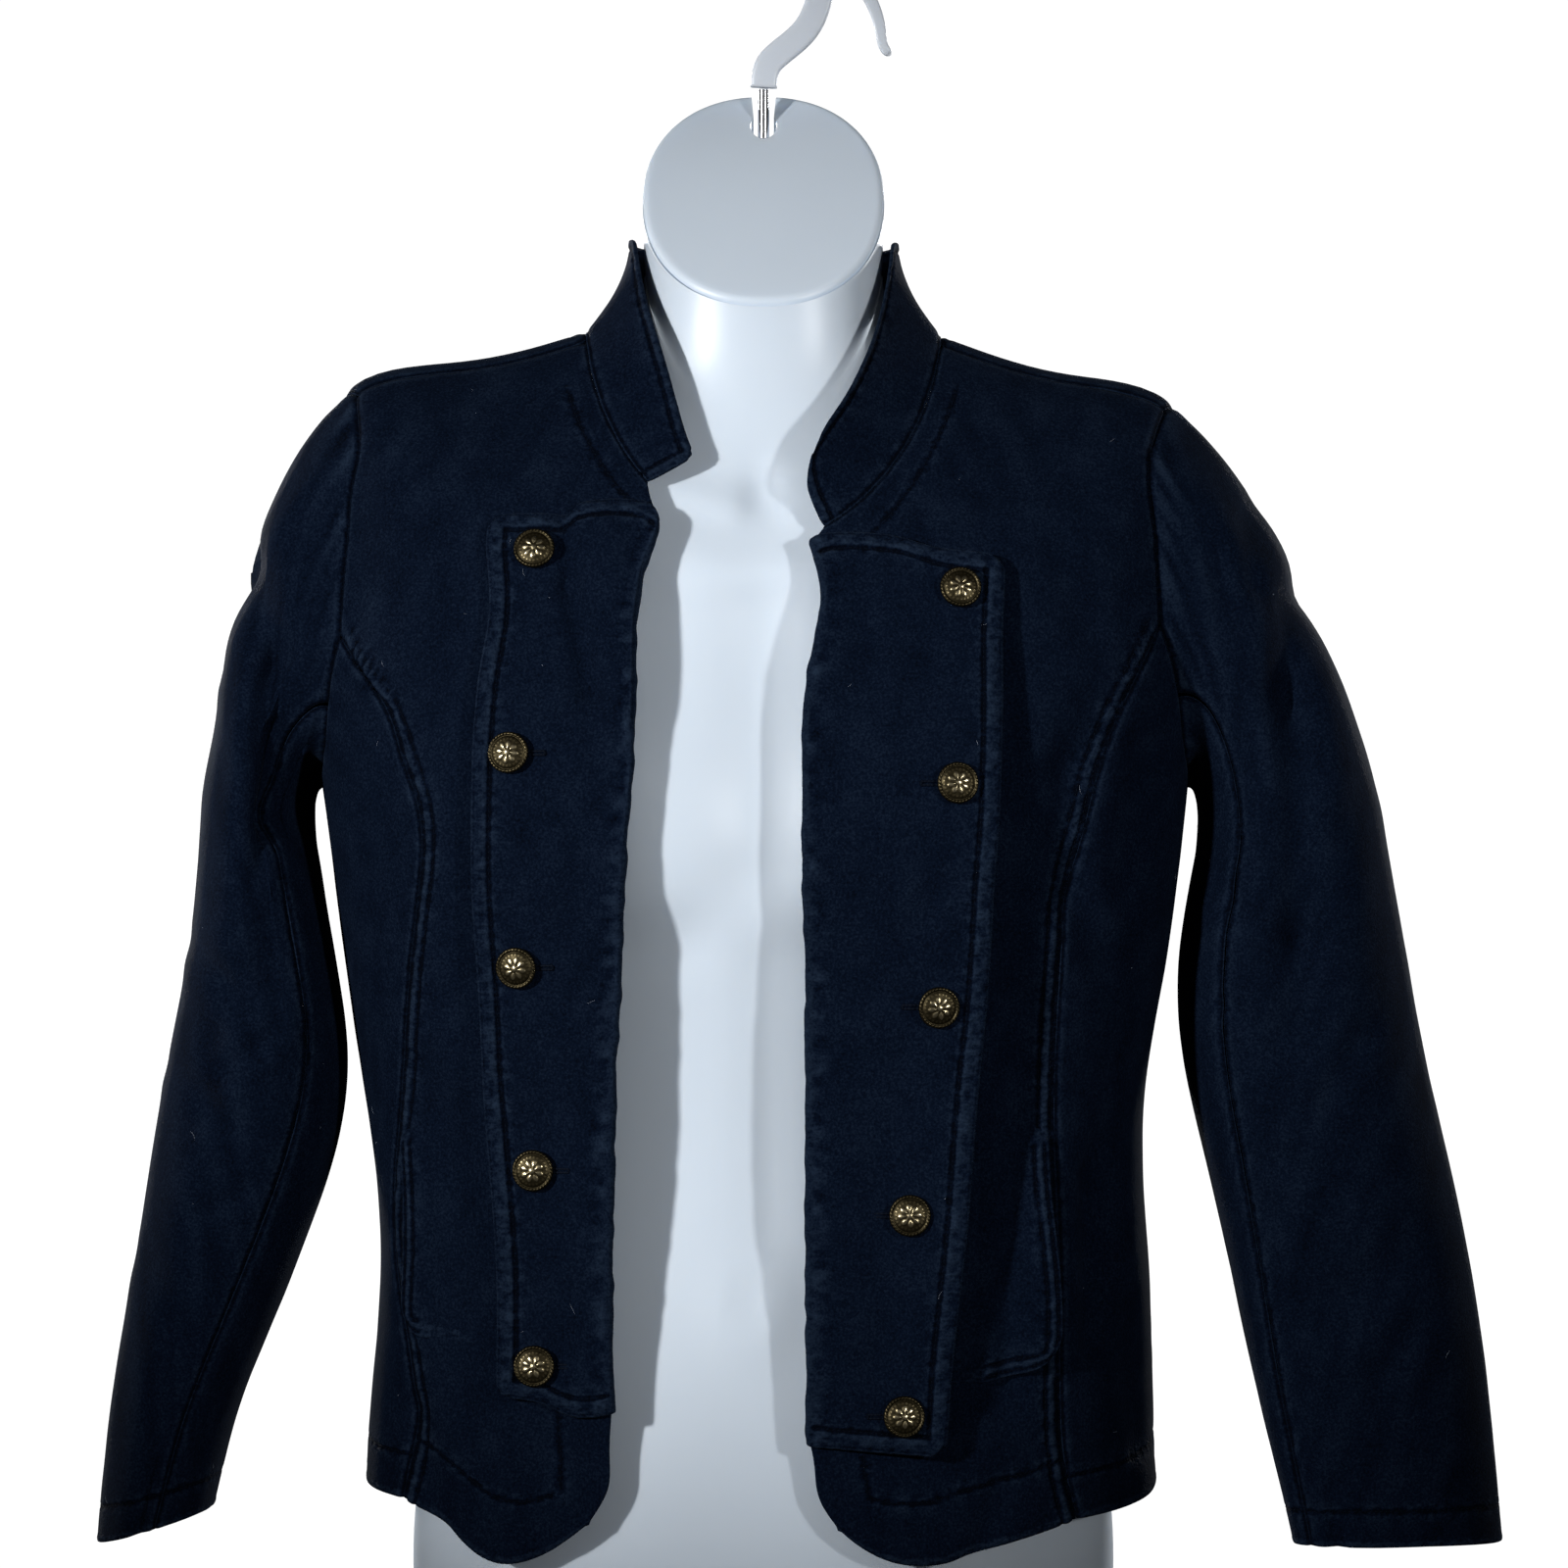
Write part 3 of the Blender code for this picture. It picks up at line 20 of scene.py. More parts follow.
import bpy
import numpy as np
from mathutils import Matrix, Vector

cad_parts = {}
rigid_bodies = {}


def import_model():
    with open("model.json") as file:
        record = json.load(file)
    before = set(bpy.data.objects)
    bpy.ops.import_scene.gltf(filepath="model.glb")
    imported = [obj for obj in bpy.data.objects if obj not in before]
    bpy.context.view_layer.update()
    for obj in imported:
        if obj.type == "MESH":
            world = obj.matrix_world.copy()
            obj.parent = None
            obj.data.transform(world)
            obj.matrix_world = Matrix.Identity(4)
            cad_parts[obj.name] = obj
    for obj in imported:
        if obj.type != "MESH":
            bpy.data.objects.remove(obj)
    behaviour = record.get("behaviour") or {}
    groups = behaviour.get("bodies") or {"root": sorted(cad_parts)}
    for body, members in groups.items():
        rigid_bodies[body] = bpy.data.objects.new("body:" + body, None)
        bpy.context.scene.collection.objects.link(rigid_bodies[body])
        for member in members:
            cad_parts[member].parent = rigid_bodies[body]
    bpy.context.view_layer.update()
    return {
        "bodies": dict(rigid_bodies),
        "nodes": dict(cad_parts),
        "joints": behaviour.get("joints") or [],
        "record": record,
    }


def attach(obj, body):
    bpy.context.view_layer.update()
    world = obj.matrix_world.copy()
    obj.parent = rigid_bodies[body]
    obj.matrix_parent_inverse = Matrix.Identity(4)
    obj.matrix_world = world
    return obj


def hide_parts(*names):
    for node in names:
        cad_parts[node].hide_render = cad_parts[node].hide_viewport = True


LOG = logging.getLogger("band_jacket")
Array = np.ndarray
Line = tuple[tuple[float, float], ...]
Table = tuple[tuple[float, ...], ...]
Colour = tuple[float, float, float]
Thing = bpy.types.Object
Material = bpy.types.Material
Socket = bpy.types.NodeSocket
MM = 0.001
FULL_TURN = 2 * math.pi
ROOT = "root"
UP = np.array([0.0, 0.0, 1.0])


class Side(Enum):
    """A half of the jacket, by the wearer's own hand."""

    RIGHT = -1
    LEFT = 1

    @property
    def sign(self) -> int:
        """The sign of x on this half."""
        return self.value

    @property
    def word(self) -> str:
        """The word that ends the names of this half's pieces."""
        return self.name.lower()


class View(Enum):
    """How a line on the jacket is measured: as seen from in front, or flat from behind or beside."""

    FRONT = "front"
    BACK = "back"
    SIDE = "side"


# Sizes of the cloth and its sewing.
CLOTH, LAPEL_CLOTH, COLLAR_CLOTH = 2.0 * MM, 3.0 * MM, 3.0 * MM
LAPEL_CLEAR = 1.0 * MM
SEAM_ROUND = 0.75 * MM
STITCH_PITCH, STITCH_LENGTH = 2.7 * MM, 2.0 * MM
THREAD = 0.20 * MM
# What the attribute of wear and painted shade holds on plain cloth: rubbed edges have more, for wear, and
# grooves and hollows have less, which paints shade into them.
UNWORN_UNSHADED = 0.4

# The eye that the front's lines are seen from.
EYE_X, EYE_Z, EYE_DISTANCE = 0.0107, 0.470, 3.5

# Rows and columns that the solids' grids count between the corners of a panel.
ROWS_LOW, ROWS_ARM, ROWS_EDGE, ROWS_FOLD, ROWS_NECK = 15, 8, 3, 19, 1
COLUMNS_HALF, COLUMNS_SIDE = 5, 6
EDGE_POWER = 4
BACK_ARM_LEVEL = 6.2
SIDE_HEM_Z, BACK_HEM_Z = 0.112, 0.110
# Steps of angle and level that a surface's slopes are read with.
SPOT_STEPS = np.array([[2e-3, 0.0], [0.0, 2e-3]])


def spline(values: Array, at: Array) -> Array:
    """Natural cubic spline through one value for each whole number.

    Args:
        values: the values at 0, 1, 2 and so on.
        at: the numbers to read it at.

    Returns:
        The spline's values there.
    """
    values = np.asarray(values, float)
    count = len(values)
    system = np.eye(count)
    right = np.zeros(count)
    for i in range(1, count - 1):
        system[i, i - 1 : i + 2] = (1.0, 4.0, 1.0)
        right[i] = 6.0 * (values[i - 1] - 2.0 * values[i] + values[i + 1])
    bend = np.linalg.solve(system, right)
    low = np.clip(np.floor(at).astype(int), 0, count - 2)
    t = at - low
    s = 1.0 - t
    straight = s * values[low] + t * values[low + 1]
    return straight + ((s**3 - s) * bend[low] + (t**3 - t) * bend[low + 1]) / 6.0


def smooth(t: Array) -> Array:
    """A soft step: 3t squared less 2t cubed, held at 0 and 1 outside them."""
    t = np.clip(t, 0.0, 1.0)
    return t * t * (3.0 - 2.0 * t)


def bell(distance: Array, width: float) -> Array:
    """A bell curve of the distance: e to the minus (distance over width) squared."""
    return np.exp(-((distance / width) ** 2))


def wobble(u: Array, v: Array, seed: float) -> Array:
    """Smooth noise from -1 to 1: random values at whole u and v, blended by soft steps.

    Args:
        u: one coordinate, in cells.
        v: the other coordinate, in cells.
        seed: sets which noise it is.

    Returns:
        The noise at each u and v.
    """
    i, j = np.floor(u), np.floor(v)
    share_u, share_v = smooth(u - i), smooth(v - j)

    def corner(a: float, b: float) -> Array:
        """The random value at a cell's corner."""
        mixed = np.sin((i + a) * 127.1 + (j + b) * 311.7 + seed * 74.7) * 43758.5453
        return 2.0 * (mixed - np.floor(mixed)) - 1.0

    low = corner(0, 0) * (1 - share_u) + corner(1, 0) * share_u
    high = corner(0, 1) * (1 - share_u) + corner(1, 1) * share_u
    return low * (1 - share_v) + high * share_v


def unit(vectors: Array) -> Array:
    """Vectors made one long."""
    return vectors / np.maximum(np.linalg.norm(vectors, axis=-1, keepdims=True), 1e-12)


def running(points: Array, axis: int) -> Array:
    """The length run along one axis of a grid of points, from its first line."""
    steps = np.linalg.norm(np.diff(points, axis=axis), axis=-1)
    first = np.zeros_like(np.take(steps, [0], axis=axis))
    return np.concatenate([first, np.cumsum(steps, axis=axis)], axis=axis)


def outwards(points: Array) -> Array:
    """Roughly the way out of the torso: level from its axis, and a little up."""
    return points * np.array([1.0, 1.0, 0.0]) + 0.02 * UP


def normals_of(read: Callable[[Array], Array], spots: Array) -> Array:
    """Outward unit normals at spots of the surface that read gives the points of."""
    across, up = (read(spots + step) - read(spots - step) for step in SPOT_STEPS)
    normal = unit(np.cross(across, up))
    wrong = np.sum(normal * outwards(read(spots)), axis=-1, keepdims=True) < 0
    return np.where(wrong, -normal, normal)


def squared(angle: Array, square: Array) -> Array:
    """The radius of a rounded square of half width one, at an angle."""
    return (np.abs(np.cos(angle)) ** square + np.abs(np.sin(angle)) ** square) ** (-1.0 / square)


def crest(angle: Array, rounding: float) -> Array:
    """A share from 0 at the side to 1 in front and behind, rounded where it turns."""
    return (np.sqrt(np.cos(angle) ** 2 + rounding**2) - rounding) / (math.hypot(1.0, rounding) - rounding)


@dataclass(frozen=True)
class Crease:
    """A soft trough (minus) or ridge (plus) along a line, seen from the front or behind."""

    view: View
    start: tuple[float, float]
    end: tuple[float, float]
    spread: float
    height: float
    bow: float = 0.0
    rim: float = 0.0

    def heights(self, points: Array) -> Array:
        """How far each point moves out.

        The line bows sideways by 4t(1-t) of its bow. The height is a bell of the distance
        from it, less the rim's two smaller bells beside it, which lift the cloth that a
        trough pushes aside; a crease with a rim fades at its two ends.
        """
        x, y, z = np.moveaxis(points, -1, 0)
        run = np.array(self.end) - np.array(self.start)
        length = float(np.hypot(*run))
        along = ((x - self.start[0]) * run[0] + (z - self.start[1]) * run[1]) / length**2
        across = ((x - self.start[0]) * run[1] - (z - self.start[1]) * run[0]) / length
        near = np.clip(along, 0.0, 1.0)
        off = across - self.bow * 4.0 * near * (1.0 - near)
        away = np.hypot(off, (along - near) * length)
        profile = bell(away, self.spread)
        if self.rim:
            beside = bell(away - 1.9 * self.spread, 0.9 * self.spread)
            profile = (profile - self.rim * beside) * smooth(np.minimum(along, 1.0 - along) / 0.3 + 0.25)
        here = y < 0.0 if self.view is View.FRONT else y >= 0.0
        return np.where(here, self.height * profile, 0.0)


def creased(points: Array, creases: tuple[Crease, ...]) -> Array:
    """The sum of the creases' heights at each point."""
    return sum((crease.heights(points) for crease in creases), np.zeros(points.shape[:-1]))


def crease_rows(view: View, *rows: tuple[float, ...]) -> tuple[Crease, ...]:
    """Creases seen from one way.

    Args:
        view: the way.
        rows: start x and z, end x and z, spread, height and perhaps bow, all in
            millimetres, and perhaps the rim's share.

    Returns:
        The creases.
    """
    made = []
    for row in rows:
        x0, z0, x1, z1, spread, height, bow = (value * MM for value in (*row, 0.0)[:7])
        made.append(Crease(view, (x0, z0), (x1, z1), spread, height, bow, *row[7:]))
    return tuple(made)


@dataclass(frozen=True)
class TorsoSurface:
    """The surface that the jacket's body panels are cut from."""

    # Heights of the right side, left side, centre front and back; half widths right and
    # left; depths in front and behind; squareness.
    rings: Table = (
        (40, 40, 40, 40, 206, 206, 121, 118, 2.5), (130, 130, 130, 130, 205, 203, 120, 116, 2.5),
        (220, 220, 220, 220, 198.5, 200, 118, 110, 2.5), (300, 300, 300, 300, 205, 197, 117, 104, 2.5),
        (380, 380, 375, 380, 217, 209, 123, 108, 2.5), (460, 460, 440, 460, 227, 219, 130, 115, 2.5),
        (545, 545, 492, 535, 235, 225, 124, 120, 2.5), (622, 618, 530, 598, 229, 223, 114, 112, 2.4),
        (677, 669, 558, 648, 212, 209.5, 107, 97, 2.3), (690, 684, 577, 675, 152, 152, 101, 78, 2.3),
        (704.5, 702.5, 592, 697, 92.5, 92.5, 92, 60, 2.4),
    )
    shoulder_level: float = 8.0
    crest_rounding: float = 0.50
    folds: tuple[Crease, ...] = crease_rows(
        View.FRONT, (168, 507, 156, 478, 13, -3), (156, 478, 150, 415, 13, -4.5),
        (196, 490, 184, 420, 10, -3.5), (172, 285, 172, 185, 8, -5), (70, 330, 60, 180, 16, -3),
        (186, 200, 194, 130, 9, -3), (-164, 470, -160, 330, 16, 3), (-110, 300, -105, 130, 14, -3),
        (-178, 150, -165, 95, 10, -4),
    ) + crease_rows(
        View.BACK, (60, 360, 20, 300, 12, -3.5), (-70, 350, -30, 285, 12, -3.5),
        (150, 560, 120, 400, 16, -4), (-150, 560, -118, 400, 16, -4), (120, 230, 135, 115, 18, -4.5),
        (-125, 230, -132, 115, 18, -4.5),
    )
    # Softer ones that the solids leave out.
    creases: tuple[Crease, ...] = crease_rows(
        View.FRONT, (166, 272, 167, 182, 6, -3.5), (132, 360, 122, 160, 11, -5),
        (-160, 360, -154, 160, 11, -2.2), (150, 440, 172, 380, 9, -2.2), (-172, 330, -158, 270, 8, -2),
        (-120, 120, -108, 78, 8, -2), (120, 115, 108, 78, 8, -2), (-150, 600, -165, 540, 9, -1.6),
        (150, 590, 166, 545, 9, -1.8),
    ) + crease_rows(
        View.BACK, (90, 560, 50, 500, 9, -2.2), (-85, 545, -45, 480, 9, -2.2),
        (30, 330, -50, 318, 7.5, -2.4), (60, 292, -10, 284, 7, -2.2), (-20, 262, -80, 276, 7, -2),
        (70, 200, 60, 130, 10, -2.2), (-50, 190, -62, 125, 10, -2.2),
    )

    @property
    def top(self) -> float:
        """The level of the neckline."""
        return len(self.rings) - 1.0

    def base(self, side: Side, spots: Array) -> Array:
        """The smooth surface: rounded-square rings, splined from one to the next.

        A ring's point lies at half-width times sine and depth times cosine, both times the
        rounded square's radius. Its height goes from the side's to the front's or back's
        with a rounded crest at the side.
        """
        angle, level = spots[..., 0], spots[..., 1]
        rings = np.array(self.rings) * ([MM] * 8 + [1.0])
        read = [spline(rings[:, i], level) for i in range(rings.shape[1])]
        side_z, half = (read[0], read[4]) if side is Side.RIGHT else (read[1], read[5])
        ahead = np.cos(angle) >= 0
        radius = squared(angle, read[8])
        depth = np.where(ahead, read[6], read[7])
        z = side_z + (np.where(ahead, read[2], read[3]) - side_z) * crest(angle, self.crest_rounding)
        x = side.sign * half * radius * np.sin(angle)
        return np.stack([x, -depth * radius * np.cos(angle), z], axis=-1)

    def folded(self, side: Side, spots: Array) -> Array:
        """The surface with its folds, at an array of spots."""
        points = self.base(side, spots)
        normal = normals_of(lambda at: self.base(side, at), spots)
        return points + normal * creased(points, self.folds + self.creases)[..., None]

    def folded_normals(self, side: Side, spots: Array) -> Array:
        """The outward normals of the surface with its folds."""
        return normals_of(lambda at: self.folded(side, at), spots)

    @staticmethod
    def seen(points: Array, view: View) -> Array:
        """Points as two numbers: from the front through the eye, or flat."""
        if view is View.FRONT:
            middle = np.array([EYE_X, EYE_Z])
            closer = EYE_DISTANCE / (EYE_DISTANCE + points[..., 1:2])
            return middle + (points[..., [0, 2]] - middle) * closer
        return points[..., [1, 2]] if view is View.SIDE else points[..., [0, 2]]

    def locate(self, side: Side, targets: Array, view: View) -> Array:
        """The spot that each target is seen at, by Newton steps from the nearest of a grid.

        Args:
            side: the half it lies on.
            targets: pairs of numbers, as seen() gives them.
            view: how they were measured.

        Returns:
            An array of spots.
        """
        first, last = {View.FRONT: (0.0, 3.0), View.BACK: (3.0, 6.0), View.SIDE: (1.0, 5.0)}[view]
        span = (first * math.pi / 6, last * math.pi / 6)
        ways = np.meshgrid(np.linspace(*span, 61), np.linspace(0.0, self.top, 121), indexing="ij")
        grid = np.stack(ways, axis=-1)
        field_of = self.seen(self.base(side, grid), view)
        found = []
        for target in np.asarray(targets, float):
            near = np.argmin(np.sum((field_of - target) ** 2, axis=-1))
            spot = grid.reshape(-1, 2)[near]
            for _ in range(12):
                here = self.seen(self.base(side, spot), view)
                moves = [self.seen(self.base(side, spot + d), view) - here for d in 1e-4 * np.eye(2)]
                slope = np.stack(moves, axis=-1) / 1e-4
                step, *_ = np.linalg.lstsq(slope, target - here, rcond=1e-3)
                spot = np.clip(spot + np.clip(step, -0.2, 0.2), (span[0], 0.0), (span[1], self.top))
            found.append(spot)
        return np.array(found)

    def level_at(self, side: Side, angle: float, height: float) -> float:
        """The level at which the surface reaches a height, at one angle."""
        levels = np.linspace(0.0, self.top, 300)
        spots = np.stack([np.full(300, angle), levels], axis=-1)
        return float(np.interp(height, self.base(side, spots)[:, 2], levels))


class SurfaceLine:
    """A smooth line of spots, read by the share of its length."""

    def __init__(self, surface: TorsoSurface, side: Side, spots: Array) -> None:
        """Splines the spots and measures the line."""
        fine = np.linspace(0.0, len(spots) - 1.0, 240)
        self.spots = np.stack([spline(spots[:, k], fine) for k in (0, 1)], axis=-1)
        run = running(surface.base(side, self.spots), 0)
        self.length = float(run[-1])
        self.share = run / run[-1]

    def at(self, share: Array) -> Array:
        """The spots at shares of the line's length."""
        return np.stack([np.interp(share, self.share, self.spots[:, k]) for k in (0, 1)], axis=-1)

    def reversed(self) -> SurfaceLine:
        """The same line from its other end."""
        other = object.__new__(SurfaceLine)
        other.spots, other.length = self.spots[::-1], self.length
        other.share = 1.0 - self.share[::-1]
        return other


class Chain:
    """Lines end to end, each crossed in its own number of rows."""

    def __init__(self, *parts: tuple[SurfaceLine, int]) -> None:
        """Keeps the lines and where each one starts, in rows."""
        self.lines = [line for line, _ in parts]
        self.starts = np.cumsum([0] + [rows for _, rows in parts])

    @property
    def rows(self) -> int:
        """How many rows the whole chain has."""
        return int(self.starts[-1])

    def at(self, rows: Array) -> Array:
        """The spots at row numbers, which may be fractions."""
        found = np.zeros((len(rows), 2))
        for line, start, end in zip(self.lines, self.starts[:-1], self.starts[1:]):
            inside = (rows >= start - 1e-9) & (rows <= end + 1e-9)
            found[inside] = line.at((rows[inside] - start) / (end - start))
        return found


def patch(left: Chain, right: Chain, bottom: Chain, top: Chain, finer: int = 8) -> Array:
    """Spots of the patch between four chains that meet at its corners.

    Straight rows run from left to right. The fourth power of the distance from the top
    adds the bottom edge's own shape, and the fourth power from the bottom adds the top's.

    Args:
        left, right: the chains up its two sides.
        bottom, top: the chains across it.
        finer: how many lines for each row or column of the chains.

    Returns:
        A grid of spots, rows first.
    """
    rows = np.linspace(0.0, left.rows, left.rows * finer + 1)
    columns = np.linspace(0.0, bottom.rows, bottom.rows * finer * 2 + 1)
    v = (rows / left.rows)[:, None, None]
    u = (columns / bottom.rows)[None, :, None]
    straight = (1 - u) * left.at(rows)[:, None] + u * right.at(rows)[:, None]
    low, high = bottom.at(columns)[None] - straight[:1], top.at(columns)[None] - straight[-1:]
    return straight + (1 - v) ** EDGE_POWER * low + v**EDGE_POWER * high


@dataclass(frozen=True)
class Spacing:
    """Where a grid's lines lie across a piece: close at each end, wider between."""

    start: float = 0.0
    end: float = 0.0
    close: float = 1.0 * MM
    wide: float = 3.0 * MM
    inset_start: float = SEAM_ROUND
    inset_end: float = SEAM_ROUND

    def places(self, lengths: Array) -> Array:
        """The distances from the start, for lines of these lengths, one row for each."""
        near = np.arange(0.0, self.start, self.close)
        far = np.arange(0.0, self.end, self.close)[::-1]
        middle = float(np.median(lengths)) - self.start - self.end
        count = max(4, math.ceil(middle / self.wide) + 1)
        from_start = np.broadcast_to(self.inset_start + near, (len(lengths), len(near)))
        low = self.inset_start + self.start
        high = np.maximum(lengths - self.inset_end - self.end, low + 1e-4)
        between = low + (high[:, None] - low) * np.linspace(0.0, 1.0, count)[None]
        return np.concatenate([from_start, between, lengths[:, None] - self.inset_end - far[None]], axis=1)


def respaced(values: Array, points: Array, spacing: Spacing) -> Array:
    """Each row of a grid read again at the spacing's distances along it.

    Args:
        values: what is read, rows first, such as spots or points.
        points: the grid's points, which give the distances.
        spacing: the distances wanted.

    Returns:
        The grid of values with new columns.
    """
    run = running(points, 1)
    wanted = spacing.places(run[:, -1])
    rows = [np.stack([np.interp(w, r, row[:, k]) for k in range(row.shape[1])], axis=-1)
            for w, r, row in zip(wanted, run, values)]
    return np.array(rows)


def turned_grid(values: Array) -> Array:
    """A grid with its rows and columns changed over."""
    return np.swapaxes(values, 0, 1)


def grid_normals(points: Array, out: Array) -> Array:
    """Unit normals of a grid, the cross product of its two slopes, facing as out does on average."""
    normal = unit(np.cross(np.gradient(points, axis=1), np.gradient(points, axis=0)))
    return -normal if np.sum(normal * out) < 0 else normal


class StitchLine:
    """A line of sewing on a piece, kept as places on the piece's grid."""

    def __init__(self, grid: ClothGrid, rows: Array, columns: Array) -> None:
        """Keeps the places and reads the points and normals there."""
        self.rows, self.columns = rows, columns
        self.points = self.on(grid.points)
        self.normals = unit(self.on(grid.normals))
        self.run = running(self.points, 0)

    def on(self, values: Array) -> Array:
        """A grid's values at the line's places, blended from the four nearest."""
        i = np.minimum(self.rows.astype(int), len(values) - 2)
        j = np.minimum(self.columns.astype(int), values.shape[1] - 2)
        a, b = (self.rows - i)[:, None], (self.columns - j)[:, None]
        low = values[i, j] * (1 - b) + values[i, j + 1] * b
        high = values[i + 1, j] * (1 - b) + values[i + 1, j + 1] * b
        return low * (1 - a) + high * a

    def near(self, points: Array) -> tuple[Array, Array]:
        """How far each point is from the line, and how far along the line that is.

        Each point is set against every stretch of the line at once: its shadow on the
        stretch, held between the ends, is the nearest place on it.
        """
        flat = points.reshape(-1, 3)
        start, step = self.points[:-1], np.diff(self.points, axis=0)
        size = np.maximum(np.sum(step**2, axis=1), 1e-14)
        distance, along = np.empty(len(flat)), np.empty(len(flat))
        for first in range(0, len(flat), 3000):
            block = flat[first : first + 3000]
            off = block[:, None] - start[None]
            t = np.clip(np.einsum("ijk,jk->ij", off, step) / size, 0.0, 1.0)
            away = np.sum((off - t[..., None] * step[None]) ** 2, axis=-1)
            best = np.argmin(away, axis=1)
            rows = np.arange(len(block))
            distance[first : first + 3000] = np.sqrt(away[rows, best])
            along[first : first + 3000] = self.run[best] + t[rows, best] * np.sqrt(size[best])
        return distance.reshape(points.shape[:-1]), along.reshape(points.shape[:-1])


class ClothGrid:
    """A piece of cloth as a grid of points, its normals and its distances from its edges."""

    def __init__(self, points: Array, out: Array) -> None:
        """Measures the grid.

        Args:
            points: the grid, rows from the bottom and columns from the left.
            out: roughly the outward direction at each point.
        """
        self.points = points
        self.normals = grid_normals(points, out)
        self.measure(points)
        self.height, self.wear, self.seamed = np.zeros((3, *points.shape[:2]))
        self.stitches: list[StitchLine] = []

    def measure(self, points: Array) -> None:
        """Keeps the distances from the four edges, measured on these points."""
        across, up = running(points, 1), running(points, 0)
        self.left, self.right = across, across[:, -1:] - across
        self.bottom, self.top = up, up[-1:] - up

    @property
    def area(self) -> float:
        """The piece's area, in square metres."""
        a, b = np.diff(self.points[:-1], axis=1), np.diff(self.points[:, :-1], axis=0)
        return float(np.linalg.norm(np.cross(a, b), axis=-1).sum())

    def trace(self, edge: str, distance: float, start: float = 0.0, end: float = 99.0) -> StitchLine:
        """The line at one distance from an edge, over a stretch of that edge.

        Args:
            edge: left, right, bottom or top.
            distance: how far in from it.
            start: where it starts along the edge, in metres from the bottom or the left.
            end: where it ends.

        Returns:
            The line.
        """
        upright = edge in ("left", "right")
        values = getattr(self, edge) if upright else getattr(self, edge).T
        along = self.bottom if upright else self.left.T
        border = 0 if edge in ("left", "bottom") else -1
        run = along[:, border]
        chosen = np.flatnonzero((run >= start - 1e-6) & (run <= end + 1e-6))
        rising = values[0, 0] < values[0, -1]
        places = np.arange(values.shape[1], dtype=float)
        cross = np.array([np.interp(distance, values[i] if rising else values[i, ::-1],
                                    places if rising else places[::-1]) for i in chosen])
        lines = (chosen.astype(float), cross) if upright else (cross, chosen.astype(float))
        return StitchLine(self, *lines)

    def seam(self, edge: str, seed: float, rub: float = 0.20) -> None:
        """Sinks a plain seam along an edge and puckers the cloth beside it.

        Args:
            edge: left, right, bottom or top.
            seed: sets the puckers.
            rub: how worn its edge is.
        """
        distance = getattr(self, edge)
        along = self.bottom if edge in ("left", "right") else self.left
        ease = wobble(along / (5.0 * MM), distance / (9.0 * MM), seed)
        self.height += 0.22 * MM * ease * bell(distance, 7.0 * MM) - 0.7 * MM * bell(distance, 1.8 * MM)
        self.wear += rub * bell(distance - 2.2 * MM, 1.4 * MM) * (0.6 + 0.4 * ease)
        # Painted shade: the seam's sunk line is darkened.
        self.wear -= 0.5 * bell(distance, 1.2 * MM)
        self.seamed = np.maximum(self.seamed, 0.7 * bell(distance, 4.0 * MM))

    def welt(self, edges: tuple[str, ...], width: float, rise: float, seed: float,
             mask: Array | float = 1.0) -> None:
        """Lifts the band between edges and their stitching, which holds the turned-in cloth.

        Args:
            edges: which of left, right, bottom and top.
            width: how wide the band is.
            rise: how far it stands up.
            seed: sets how uneven it is.
            mask: where on the piece it acts, from 0 to 1.
        """
        distance = np.min([getattr(self, edge) for edge in edges], axis=0)
        u, v = self.left, self.bottom
        uneven = 1.0 + 0.35 * wobble(u / (5.5 * MM), v / (5.5 * MM), seed)
        band = 1.0 - smooth((distance - width + 1.2 * MM) / (1.6 * MM))
        crown = band * (0.35 + 0.65 * np.sin(math.pi * np.clip(distance / width, 0.0, 1.0)) ** 0.8)
        self.height += mask * rise * crown * uneven
        patchy = 0.65 + 0.35 * wobble(u / (3.0 * MM), v / (3.0 * MM), seed + 5)
        self.wear += mask * (0.08 * crown + 0.30 * bell(distance, 1.6 * MM)) * patchy
        self.seamed = np.maximum(self.seamed, mask * band)

    def sew(self, line: StitchLine, seed: float, depth: float = 0.7 * MM, pucker: float = 0.26 * MM,
            mask: Array | float = 1.0) -> None:
        """Pulls the cloth in along a line of stitches, with small puckers across it.

        Args:
            line: where it runs; thread is laid along it later.
            seed: sets the puckers.
            depth: how deep the stitches pull in.
            pucker: how high the puckers are.
            mask: where on the piece it acts, from 0 to 1.
        """
        distance, along = line.near(self.points)
        ripple = wobble(along / (3.4 * MM), distance / (6.0 * MM), seed)
        beat = 1.0 + 0.2 * np.cos(FULL_TURN * along / STITCH_PITCH)
        across, groove = bell(distance, 4.5 * MM), bell(distance, 1.15 * MM)
        self.height += mask * (pucker * ripple * across - depth * beat * groove)
        # Wear lightens the puckers' crests, and the groove is darkened as painted shade.
        self.wear += mask * (0.14 * np.clip(ripple + 0.2, 0.0, 1.0) * across - 0.55 * groove)
        self.seamed = np.maximum(self.seamed, mask * bell(distance, 4.0 * MM))
        self.stitches.append(line)

    def slub(self, seed: float, amount: float = 0.22 * MM) -> None:
        """Adds the slow unevenness of soft cloth that is not pressed flat."""
        u, v = self.left, self.bottom
        slow = wobble(u / 0.030, v / 0.044, seed) + 0.5 * wobble(u / 0.013, v / 0.019, seed + 3.0)
        self.height += amount * slow

